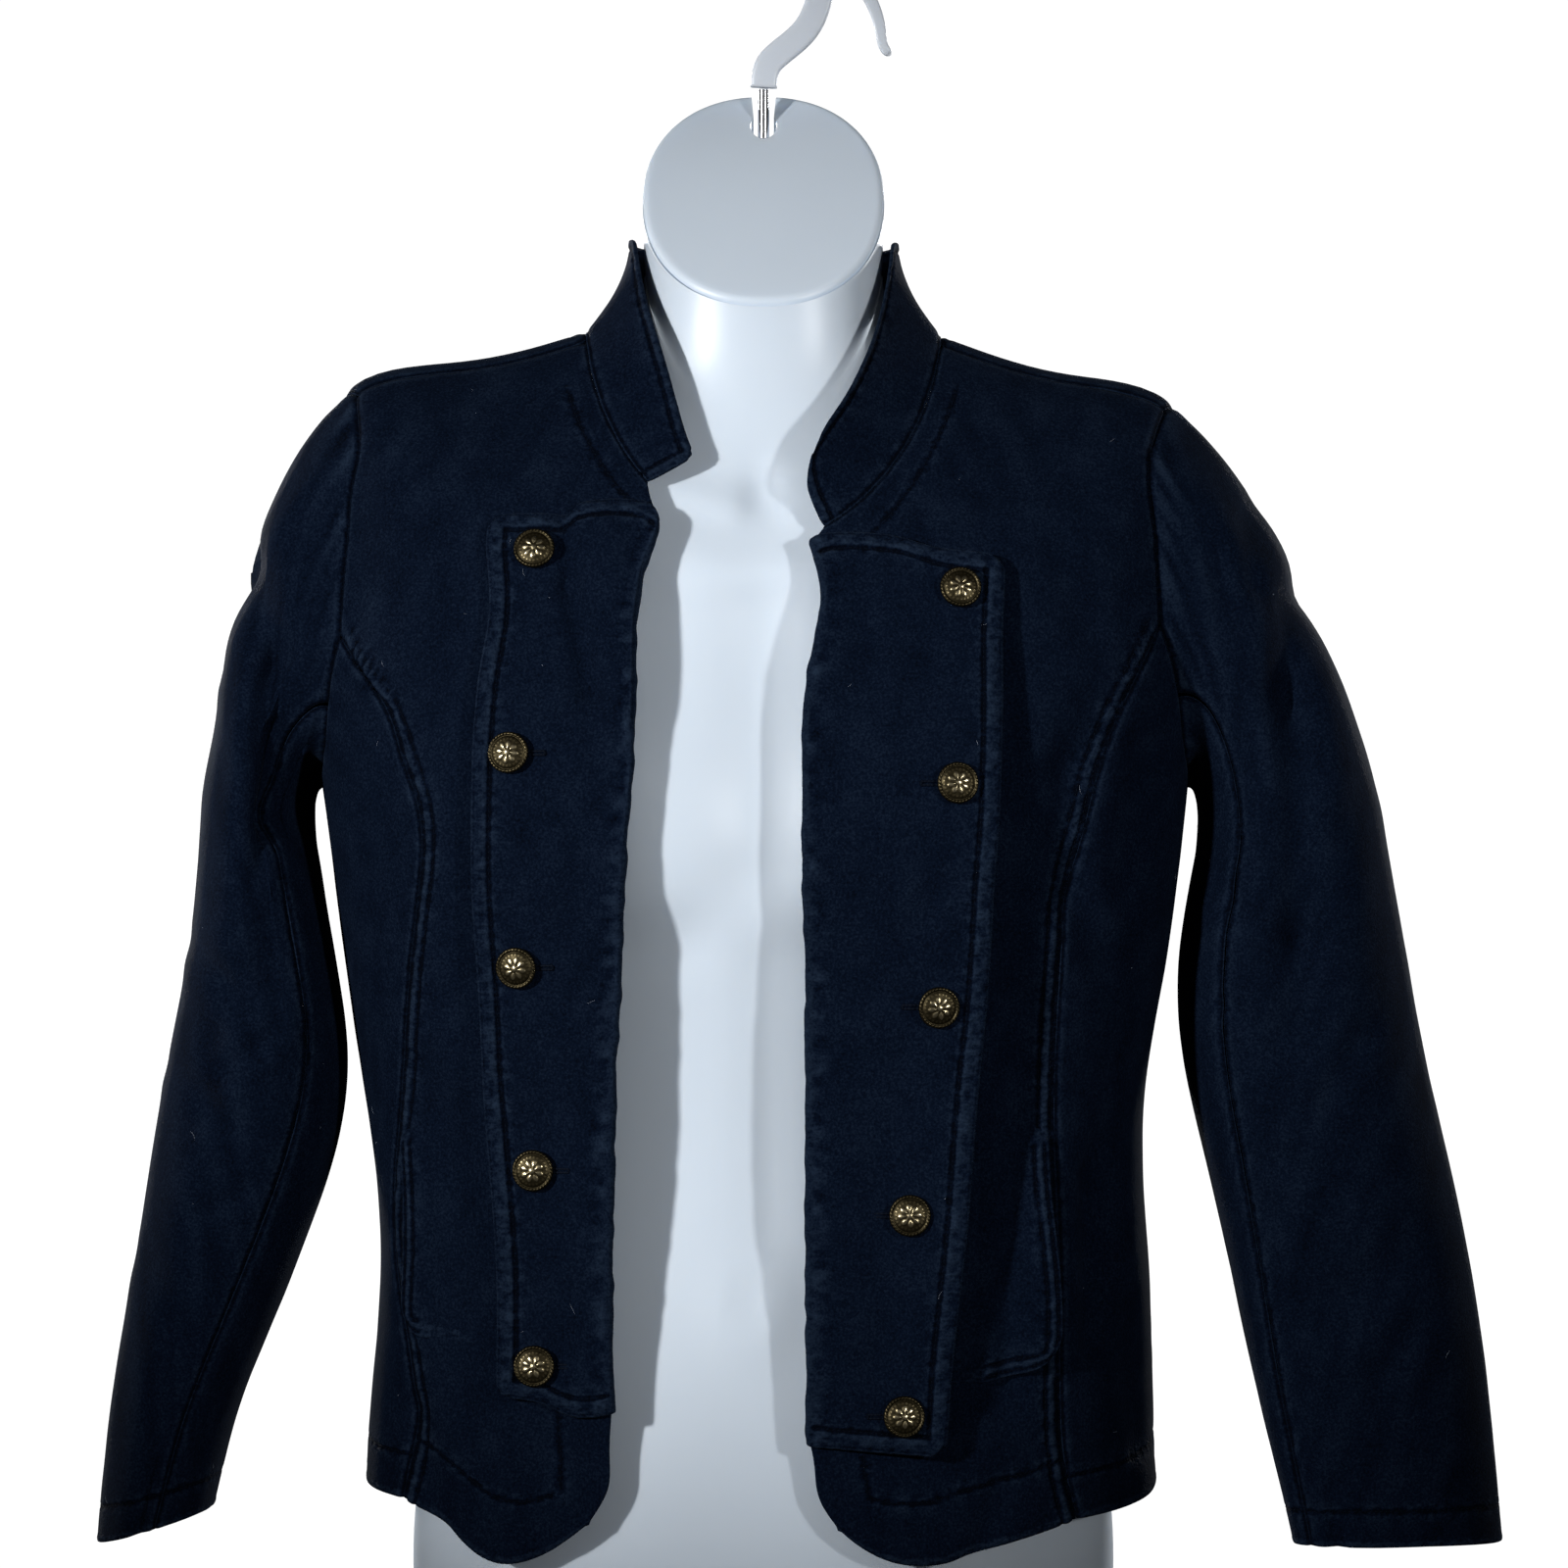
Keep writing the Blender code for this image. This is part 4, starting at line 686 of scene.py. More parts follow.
    def worn_and_shaded(self) -> Array:
        """Wear and painted shade: more wear on what stands up, and painted shade darkening what is sunk."""
        slow = self.height
        for _ in range(7):
            wide = np.pad(slow, 1, mode="edge")
            slow = (wide[:-2, 1:-1] + wide[2:, 1:-1] + wide[1:-1, :-2] + wide[1:-1, 2:]) / 4
        # Relief above its blurred self counts as wear; relief below it is painted shade in the hollows.
        return self.wear + 1.1 * (self.height - slow) / MM

    def surface(self) -> Array:
        """The outer points, moved out by the height."""
        return self.points + self.normals * self.height[..., None]


def rounded(points: Array, first: Array, second: Array, radius: float) -> Array:
    """Points with the corner between two edges rounded, as a square is drawn onto a disc.

    Near the corner each share of the radius is multiplied by the root of one minus half
    the other share's square, which keeps both edges smooth where the rounding ends.

    Args:
        points: the grid.
        first: distances from the first edge, which lies across the rows.
        second: distances from the second edge, at the top or the bottom.
        radius: how far from the corner the rounding starts.

    Returns:
        The moved points.
    """
    s, t = (np.clip(1.0 - d / radius, 0.0, 1.0) for d in (first, second))
    moved = [(a - a * np.sqrt(1.0 - b**2 / 2)) * radius for a, b in ((s, t), (t, s))]
    across, up = unit(np.gradient(points, axis=1)), unit(np.gradient(points, axis=0))
    ways = (1.0 if first[0, 0] < first[0, -1] else -1.0, 1.0 if second[0, 0] < second[-1, 0] else -1.0)
    return points + across * (moved[0] * ways[0])[..., None] + up * (moved[1] * ways[1])[..., None]


def quads_of(ids: Array) -> Array:
    """The four corners of each cell of a grid of vertex numbers."""
    return np.stack([ids[:-1, :-1], ids[:-1, 1:], ids[1:, 1:], ids[1:, :-1]], axis=-1).reshape(-1, 4)


def ring_ids(rows: int, around: int) -> Array:
    """Vertex numbers of rings of points, each ring closed on its first point."""
    ids = np.arange(rows * around).reshape(rows, around)
    return np.concatenate([ids, ids[:, :1]], axis=1)


def circle(count: int) -> Array:
    """Angles spread evenly over a full turn."""
    return np.linspace(0.0, FULL_TURN, count, endpoint=False)


def tube(line: Array, across: Array, out: Array, radius: Array, sides: int) -> Array:
    """Rings of points round a line.

    Args:
        line: the middle of each ring.
        across, out: the two unit vectors that each ring lies along.
        radius: the radius of each ring.
        sides: how many points a ring has.

    Returns:
        The points, a row for each ring.
    """
    turn = circle(sides)[:, None]
    ring = np.cos(turn) * across[..., None, :] + np.sin(turn) * out[..., None, :]
    return line[..., None, :] + ring * radius[..., None, None]


def outward(points: Array, quads: Array) -> Array:
    """The faces of a closed shape, all turned over if they face inwards."""
    corner = points[quads[:, 0]]
    sides = np.cross(points[quads[:, 2]] - corner, points[quads[:, 3]] - points[quads[:, 1]])
    return quads[:, ::-1] if np.sum((corner - points.mean(axis=0)) * sides) < 0 else quads


def quad_mesh(name: str, points: Array, quads: Array, uv: Array | None = None,
              fields: dict[str, Array] | None = None) -> Thing:
    """An object of four-cornered faces, shaded smooth.

    Args:
        name: the object's name.
        points: its vertices.
        quads: the four vertex numbers of each face.
        uv: a pair for each vertex, in metres, or None.
        fields: more values for each vertex, by name.

    Returns:
        The object, linked to the scene.
    """
    mesh = bpy.data.meshes.new(name)
    mesh.vertices.add(len(points))
    mesh.vertices.foreach_set("co", np.ascontiguousarray(points, np.float32).ravel())
    mesh.loops.add(quads.size)
    mesh.loops.foreach_set("vertex_index", np.ascontiguousarray(quads, np.int32).ravel())
    mesh.polygons.add(len(quads))
    mesh.polygons.foreach_set("loop_start", np.arange(0, quads.size, 4, dtype=np.int32))
    mesh.update(calc_edges=True)
    mesh.polygons.foreach_set("use_smooth", np.ones(len(quads), bool))
    if uv is not None:
        layer = mesh.uv_layers.new(name="cut")
        layer.data.foreach_set("uv", np.ascontiguousarray(uv[quads.ravel()], np.float32).ravel())
    for key, values in (fields or {}).items():
        attribute = mesh.attributes.new(key, "FLOAT", "POINT")
        attribute.data.foreach_set("value", np.ascontiguousarray(values, np.float32).ravel())
    made = bpy.data.objects.new(name, mesh)
    bpy.context.scene.collection.objects.link(made)
    return made


def joined(name: str, parts: list[tuple[Array, Array]]) -> Thing:
    """One object of many parts, each given as its points and the quads between them."""
    firsts = np.cumsum([0] + [len(points) for points, _ in parts])
    quads = [faces + first for first, (_, faces) in zip(firsts, parts)]
    return quad_mesh(name, np.concatenate([points for points, _ in parts]), np.concatenate(quads))


def shell(name: str, outer: Array, inner: Array, uv: Array, wear: Array, seamed: Array,
          steps: int = 3) -> Thing:
    """A closed wall between two grids, with half-round edges.

    Along the border the outer and inner points are joined by a half circle: the middle of
    the two, plus cosine times half their difference, plus sine times as much outwards.

    Args:
        name: the object's name.
        outer, inner: two grids of points with the same rows and columns.
        uv: the place of each point on the flat cut, in metres.
        wear: how worn each point is, and below 0 where a groove or hollow has painted shade.
        seamed: how near each point is to sewing, from 0 to 1.
        steps: how many lines of points round the half circle.

    Returns:
        The object.
    """
    rows, columns = outer.shape[:2]
    count = rows * columns
    ids = np.arange(count).reshape(rows, columns)
    loop = np.concatenate([ids[0, :-1], ids[:-1, -1], ids[-1, :0:-1], ids[:0:-1, 0]])
    away = np.zeros_like(outer)
    away[0] += unit(outer[0] - outer[1])
    away[-1] += unit(outer[-1] - outer[-2])
    away[:, 0] += unit(outer[:, 0] - outer[:, 1])
    away[:, -1] += unit(outer[:, -1] - outer[:, -2])
    outer, inner, away = (values.reshape(-1, 3) for values in (outer, inner, away))
    half, middle = (outer[loop] - inner[loop]) / 2, (outer[loop] + inner[loop]) / 2
    facing, away = unit(half), away[loop]
    away = unit(away - facing * np.sum(away * facing, axis=-1, keepdims=True))
    radius = np.linalg.norm(half, axis=-1, keepdims=True)
    turns = np.linspace(0.0, math.pi, steps + 2)[1:-1]
    rims = [middle + half * math.cos(t) + away * radius * math.sin(t) for t in turns]
    faces = [quads_of(ids), quads_of(ids)[:, ::-1] + count]
    border = [loop, *(2 * count + i * len(loop) + np.arange(len(loop)) for i in range(steps)), loop + count]
    for near, far in zip(border[:-1], border[1:]):
        faces.append(np.stack([np.roll(near, -1), near, far, np.roll(far, -1)], axis=-1))
    points = np.concatenate([outer, inner, *rims])
    uv, wear, seamed = uv.reshape(-1, 2), wear.reshape(-1), seamed.reshape(-1)
    places = np.concatenate([uv, uv] + [uv[loop]] * steps)
    # Wear and painted shade go together into one attribute; rolled edges are kept at least as worn as
    # rubbed cloth.
    worn_and_shaded = np.concatenate([wear, wear * 0.3] + [np.maximum(wear[loop], 0.30)] * steps)
    fields = {"wear": np.clip(UNWORN_UNSHADED + worn_and_shaded, 0.0, 1.0),
              "seam": np.concatenate([seamed, seamed * 0.0] + [seamed[loop]] * steps)}
    return quad_mesh(name, points, outward(points, np.concatenate(faces)), places, fields)


@dataclass(frozen=True)
class HalfPattern:
    """The lines and sizes of one half of the jacket, in millimetres, as seen from in front."""

    side: Side
    edge_low: Line
    fold: Line
    lapel_edge: Line
    lapel_top: Line
    lapel_foot: Line
    hem: Line
    princess: Line
    armhole: Line
    neck_angle: float
    lapel_stand: tuple[float, ...]
    # The pocket's foot and head beside the princess seam, its inner foot and head, its gape
    # and the share of its width that stands free.
    pocket: Line
    pocket_gape: float
    pocket_free: float
    # Height, outer and inner x, front and back y, tilt, squareness and twist of each section.
    sleeve: Table
    sleeve_folds: tuple[Crease, ...]
    sleeve_creases: tuple[Crease, ...]
    lapel_creases: tuple[Crease, ...]


RIGHT_HALF = HalfPattern(
    side=Side.RIGHT,
    edge_low=((-91.1, 85.7), (-80.9, 103.5), (-79.9, 121.3), (-78.9, 142.7)),
    fold=(
        (-78.9, 142.7), (-80.5, 203.8), (-79.9, 266.9), (-77.9, 330.5), (-75.5, 372.8), (-71.8, 446.1),
        (-68.4, 498.5), (-67.4, 554), (-64.5, 576), (-57, 597.8), (-55, 610),
    ),
    lapel_edge=(
        (-136.9, 150.9), (-137.9, 246), (-142.5, 309.2), (-145.6, 368.2), (-149.1, 414), (-149.6, 456.3),
        (-148.6, 498.5), (-145.6, 530.1), (-141.5, 572.3), (-140, 608.4),
    ),
    lapel_top=((-55, 610), (-64, 616), (-92.6, 614.6), (-102.3, 609.2), (-140, 608.4)),
    lapel_foot=((-78.9, 142.7), (-98, 141.5), (-117.1, 148.8), (-136.9, 150.9)),
    hem=(
        (-91.1, 85.7), (-111.5, 71.5), (-131.8, 65), (-149.6, 70.4), (-167.5, 85.7), (-187.8, 99.4),
    ),
    princess=(
        (-187.8, 99.4), (-182, 149.3), (-187.5, 195.1), (-192.5, 240.9), (-190, 291.8), (-186, 344.9),
        (-180, 403.8), (-176.5, 439.5), (-180.2, 464.9), (-188.8, 487.8), (-199, 515),
    ),
    armhole=((-210.7, 648.2), (-214.3, 625.2), (-217.3, 593.7), (-220.4, 547.4)),
    neck_angle=37,
    lapel_stand=(2, 4, 4.5, 3, 1),
    pocket=((-186, 185), (-188, 290), (-152, 178), (-153, 296)),
    pocket_gape=3,
    pocket_free=0.55,
    sleeve=(
        (440, 291.7, 232, -74, 70, 4, 2.3, 0), (390, 296.2, 223, -71, 66, 6, 2.3, 0),
        (340, 304.9, 216, -67, 61, 6, 2.3, 0), (290, 314.6, 220.4, -63, 56, 4, 2.3, -4),
        (240, 322.7, 235.2, -60, 48, 0, 2.3, -9), (190, 332.4, 253, -57, 43, -4, 2.2, -15),
        (140, 340, 271.8, -53, 42, -7, 2.2, -22), (88, 345, 285, -50, 42, -9, 2.2, -30),
    ),
    sleeve_folds=crease_rows(
        View.FRONT, (-266.7, 581, -251, 535, 13, -7), (-251, 535, -248, 455, 13, -9),
        (-248, 455, -250, 368, 14, -6), (-275, 370, -290, 300, 13, -4),
    ) + crease_rows(
        View.BACK, (-265, 560, -260, 400, 13, -9), (-270, 330, -295, 290, 12, -5),
        (-290, 250, -315, 215, 12, -4),
    ),
    sleeve_creases=crease_rows(
        View.FRONT, (-295, 395, -256, 345, 6, -2.2, 3, 0.35), (-244, 352, -282, 318, 5.5, -2, -3, 0.35),
        (-306, 330, -264, 292, 6, -1.8, 4, 0.35), (-256, 268, -298, 246, 5.5, -1.5, -2, 0.35),
        (-240, 470, -262, 410, 6, -1.8, 2, 0.3), (-286, 520, -270, 455, 8, -1.6, 3, 0.3),
        (-318, 235, -290, 180, 8, -1.6, 3, 0.3), (-310, 122, -319, 82, 3.5, -3),
        (-295, 580, -286, 520, 10, -3, 3, 0.3),
    ) + crease_rows(
        View.BACK, (-285, 420, -248, 370, 6.5, -2.2, 3, 0.35), (-240, 385, -290, 345, 6, -2.2, -3, 0.35),
        (-308, 300, -262, 262, 6.5, -1.8, 4, 0.35), (-270, 215, -316, 178, 6.5, -1.6, -3, 0.35),
        (-276, 540, -250, 470, 8.5, -1.8, 3, 0.3),
    ),
    lapel_creases=crease_rows(
        View.FRONT, (-101.5, 608, -96.5, 570, 4.5, -3), (-96.5, 570, -86, 515, 5.8, -4.2),
        (-86, 515, -83, 480, 7, -1.6), (-78, 595, -72, 515, 12, 2.6),
        (-86, 460, -98, 390, 9, -0.9, -2, 0.3), (-118, 350, -100, 300, 8, -0.8, 2, 0.3),
        (-85, 225, -101, 175, 7, -1, 2, 0.3),
    ),
)

LEFT_HALF = HalfPattern(
    side=Side.LEFT,
    edge_low=((39.2, 82.7), (29, 98.4), (26.5, 113.7), (24.4, 125.9)),
    fold=((24.4, 125.9), (24, 250), (23.9, 368.2), (23.9, 520.9), (24.9, 596.2)),
    lapel_edge=(
        (93.1, 120.8), (97.7, 186), (104.3, 263.9), (110.5, 341.7), (116.1, 413.5), (119.6, 452.2),
        (122.2, 504.1), (123.7, 561.6), (123.7, 587.1),
    ),
    lapel_top=((24.9, 596.2), (35, 599), (64.1, 597.8), (87.5, 591.7), (123.7, 587.1)),
    lapel_foot=((24.4, 125.9), (59, 123), (93.1, 120.8)),
    hem=(
        (39.2, 82.7), (49.9, 74), (70.2, 65), (93.7, 65), (109.4, 70.4), (140.5, 79.6), (163.4, 88.2),
    ),
    princess=(
        (163.4, 88.2), (155.8, 123.9), (154.2, 174.6), (153.5, 236.4), (151.2, 296.9), (154.7, 379.4),
        (159.8, 413.5), (169, 452.2), (177.1, 483.7), (189.9, 517.3),
    ),
    armhole=((203, 648), (201, 625), (204.1, 595.2), (206.1, 553.5)),
    neck_angle=19,
    lapel_stand=(6, 12, 12, 8, 2),
    pocket=((151.5, 168), (148, 290), (99, 156), (107.5, 296)),
    pocket_gape=10,
    pocket_free=0.1,
    sleeve=(
        (440, 321.7, 224.5, -68, 66, 8, 2.3, 0), (390, 330.3, 216, -64, 62, 10, 2.3, 2),
        (340, 339, 217.9, -59, 57, 10, 2.3, 5), (290, 350.2, 228, -55, 53, 8, 2.3, 8),
        (240, 361.9, 239.2, -49, 47, 6, 2.3, 11), (190, 371.1, 249.4, -44, 42, 4, 2.4, 13),
        (140, 377.7, 260.6, -38, 36, 2, 2.4, 16), (78, 383.3, 274.9, -33, 31, 1, 2.4, 18),
    ),
    sleeve_folds=crease_rows(
        View.FRONT, (273, 564, 273, 517, 13, -8), (273, 517, 274.4, 388, 13, -9),
        (274.4, 388, 272.8, 343, 14, -5), (330, 230, 290, 200, 14, -3),
    ) + crease_rows(
        View.BACK, (275, 560, 272, 400, 13, -9), (270, 330, 305, 290, 12, -5),
        (300, 240, 330, 205, 12, -4),
    ),
    sleeve_creases=crease_rows(
        View.FRONT, (236, 420, 262, 372, 6, -1.8, 2, 0.35), (230, 360, 270, 330, 5.5, -1.8, -3, 0.35),
        (315, 352, 286, 300, 7, -1.8, 3, 0.35), (250, 282, 300, 258, 6, -1.4, -3, 0.3),
        (302, 470, 292, 400, 8.5, -1.8, 3, 0.3), (344, 200, 312, 155, 8, -1.5, 3, 0.3),
        (293, 110, 296, 72, 3.5, -2.6), (248, 620, 256, 560, 8, -3, 2, 0.3),
        (233, 600, 238, 555, 6, -2.2, 2, 0.3),
    ) + crease_rows(
        View.BACK, (315, 430, 270, 380, 6.5, -2.2, 3, 0.35), (240, 372, 300, 338, 6, -2, -3, 0.35),
        (332, 305, 280, 268, 6.5, -1.8, 4, 0.35), (280, 205, 340, 172, 6.5, -1.5, -3, 0.35),
        (290, 540, 264, 470, 8.5, -1.8, 3, 0.3),
    ),
    lapel_creases=crease_rows(
        View.FRONT, (56, 570, 48, 510, 9, -1, 2, 0.3), (90, 425, 70, 380, 8, -0.9, 2, 0.3),
        (42, 330, 56, 260, 9, -0.8, -2, 0.3), (76, 215, 52, 170, 8, -0.9, 2, 0.3),
    ),
)


class JacketLines:
    """Every seam and edge of one half, as lines on the torso's surface."""

    # Lines at the side and behind, in millimetres: y and z, or the distance from the middle and z.
    UNDER_FRONT = ((-54, 515), (-36, 484), (4, 466))
    UNDER_BACK = ((40, 486), (58, 520), (62, 555))
    ARM_BACK = ((57, 610), (40, 645))
    BACK_SEAM = ((100, 110), (88, 225), (82, 300), (92, 380), (110, 440), (136, 492), (166, 527))
    SHOULDER_ANGLE = math.radians(80.0)

    def __init__(self, surface: TorsoSurface, pattern: HalfPattern) -> None:
        """Finds the pattern's lines on the surface.

        Args:
            surface: the jacket's torso.
            pattern: the half's lines as seen.
        """
        side, top = pattern.side, surface.top
        self.surface, self.pattern = surface, pattern

        def found(targets: Line, view: View = View.FRONT) -> Array:
            """The spots that the targets are seen at."""
            return surface.locate(side, np.array(targets) * MM, view)

        def line(*spots: Array) -> SurfaceLine:
            """The smooth line through spots."""
            return SurfaceLine(surface, side, np.concatenate([np.atleast_2d(s) for s in spots]))

        def foot(angle: float, height: float) -> Array:
            """The spot at an angle and a height."""
            return np.array([angle, surface.level_at(side, angle, height)])

        shoulder = self.SHOULDER_ANGLE
        neck, side_neck = np.array([math.radians(pattern.neck_angle), top]), np.array([shoulder, top])
        point = np.array([shoulder, surface.shoulder_level])
        arm_front = found(pattern.armhole)
        under_front = np.concatenate([arm_front[-1:], found(self.UNDER_FRONT, View.SIDE)])
        under_back = np.concatenate([under_front[-1:], found(self.UNDER_BACK, View.SIDE)])
        fold, edge_low, hem = map(found, (pattern.fold, pattern.edge_low, pattern.hem))
        edge_low[-1], hem[0] = fold[0], edge_low[0]
        princess = np.concatenate([found(pattern.princess), arm_front[-1:]])
        princess[0] = hem[-1]
        side_top = under_front[-1]
        side_foot = foot(side_top[0], SIDE_HEM_Z)
        behind = tuple((side.sign * x, z) for x, z in self.BACK_SEAM)
        back_seam = np.concatenate([found(behind, View.BACK), under_back[-1:]])
        centre_foot = foot(math.pi, BACK_HEM_Z)
        centre_arm, centre_top = np.array([math.pi, BACK_ARM_LEVEL]), np.array([math.pi, top])
        self.fold, self.edge_low, self.edge_neck = line(fold), line(edge_low), line(fold[-1], neck)
        self.hem_front, self.princess = line(hem), line(princess)
        self.arm_front = line(arm_front[::-1], point)
        self.arm_back = line(under_back[-1:], found(self.ARM_BACK, View.SIDE), point)
        self.under_front, self.under_back = line(under_front), line(under_back)
        self.neck_front, self.neck_back = line(neck, side_neck), line(side_neck, centre_top)
        self.shoulder = line(side_neck, point)
        self.side_seam, self.back_seam = line(side_foot, side_top), line(back_seam)
        self.centre_low, self.centre_top = line(centre_foot, centre_arm), line(centre_arm, centre_top)
        self.hem_side_front, self.hem_side_back = line(hem[-1], side_foot), line(side_foot, back_seam[0])
        self.hem_back = line(back_seam[0], centre_foot)
        outer, head, low = map(found, (pattern.lapel_edge, pattern.lapel_top, pattern.lapel_foot))
        head[0], head[-1], low[0], low[-1] = fold[-1], outer[-1], fold[0], outer[0]
        self.lapel_edge, self.lapel_top, self.lapel_foot = line(outer), line(head), line(low)
        mouth_foot, mouth_head, inner_foot, inner_head = found(pattern.pocket)
        self.pocket_mouth, self.pocket_inner = line(mouth_foot, mouth_head), line(inner_foot, inner_head)
        self.pocket_bottom, self.pocket_top = line(inner_foot, mouth_foot), line(inner_head, mouth_head)

    def armhole(self, places: Array) -> Array:
        """The armhole's spots: 0 is the shoulder point, 8 to 20 the underarm, 28 the point again."""
        loop = Chain(
            (self.arm_front.reversed(), ROWS_ARM), (self.under_front, COLUMNS_SIDE),
            (self.under_back, COLUMNS_SIDE), (self.arm_back, ROWS_ARM),
        )
        return loop.at(np.mod(places, loop.rows))


def cut_cloth(surface: TorsoSurface, side: Side, spots: Array, across: Spacing, up: Spacing) -> ClothGrid:
    """The cloth of a patch of spots, on a grid whose lines are spaced as asked.

    Args:
        surface: what it is cut from.
        side: the half it is on.
        spots: the patch.
        across: where its columns lie.
        up: where its rows lie.

    Returns:
        The grid, with the surface's folds.
    """
    for spacing in (across, up):
        spots = turned_grid(respaced(spots, surface.base(side, spots), spacing))
    points = surface.folded(side, spots)
    return ClothGrid(points, outwards(points))


class Slot(Enum):
    """The record's material slots."""

    CLOTH = "cloth"
    BUTTON = "button"
    FORM = "form"
    HOOK = "hook"
    STEM = "stem"


class Wardrobe:
    """What is made so far: the finishes, the sewing to lay thread on, and the pieces."""

    def __init__(self, frame: dict[str, object], finishes: dict[Slot, Material]) -> None:
        """Keeps the frame and the finishes."""
        self.nodes: dict[str, Thing] = frame["nodes"]
        self.finishes = finishes
        self.sewing: dict[str, list[tuple[ClothGrid, StitchLine]]] = {}
        self.lint_beds: list[ClothGrid] = []
        self.lapels: dict[Side, ClothGrid] = {}

    def place(self, made: Thing, slot: Slot, node: str | None = None,
              finish: Material | None = None) -> None:
        """Finishes a piece, lets it ride on the part and stand for its solid.

        Args:
            made: the piece.
            slot: its material slot.
            node: the solid that it stands for, or None.
            finish: its material, where it isn't the slot's own.
        """
        made.data.materials.clear()
        made.data.materials.append(finish or self.finishes[slot])
        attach(made, ROOT)
        if node:
            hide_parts(node)
        LOG.info("%s: %d triangles", made.name, len(made.data.loops) - 2 * len(made.data.polygons))

    def cloth(self, grid: ClothGrid, name: str, inner: Array, rests: list[str], half: str,
              steps: int = 3) -> None:
        """Args:
            grid: the cloth with its relief.
            name: the piece's name, which is also its solid's.
            inner: the points of its inner face.
            rests: what it rests on; not used.
            half: the half whose thread sews it.
            steps: how many lines of points its edges are rounded with.
        """
        uv = np.stack([grid.left, grid.bottom], axis=-1)
        made = shell(name + "_cloth", grid.surface(), inner, uv, grid.worn_and_shaded(), grid.seamed, steps)
        self.keep(made, grid, name, rests, half)

    def keep(self, made: Thing, grid: ClothGrid, name: str, rests: list[str], half: str) -> None:
        """Args:
            made: the piece.
            grid: the cloth with its relief.
            name: its solid's name.
            rests: what it rests on; not used.
            half: the half whose thread sews it.
        """
        self.place(made, Slot.CLOTH, name)
        self.sewing.setdefault(half, []).extend((grid, line) for line in grid.stitches)


class HalfPiece:
    """What the pieces of one half share."""

    def __init__(self, lines: JacketLines, wardrobe: Wardrobe) -> None:
        """Keeps the half's lines and where its pieces go."""
        self.lines, self.pattern, self.wardrobe = lines, lines.pattern, wardrobe
        self.side, self.word = lines.pattern.side, lines.pattern.side.word

    def cut(self, chains: tuple[Chain, ...], across: Spacing, up: Spacing, finer: int = 8) -> ClothGrid:
        """The cloth between a left, right, bottom and top chain."""
        return cut_cloth(self.lines.surface, self.side, patch(*chains, finer=finer), across, up)

    def finish(self, grid: ClothGrid, piece: str, rests: tuple[str, ...]) -> None:
        """Makes a piece of plain cloth, which lint may lie on."""
        names = [rest if rest == "torso_form" else f"{rest}_{self.word}" for rest in rests]
        inner = grid.points - grid.normals * CLOTH
        self.wardrobe.cloth(grid, f"{piece}_{self.word}", inner, names, self.word)
        self.wardrobe.lint_beds.append(grid)


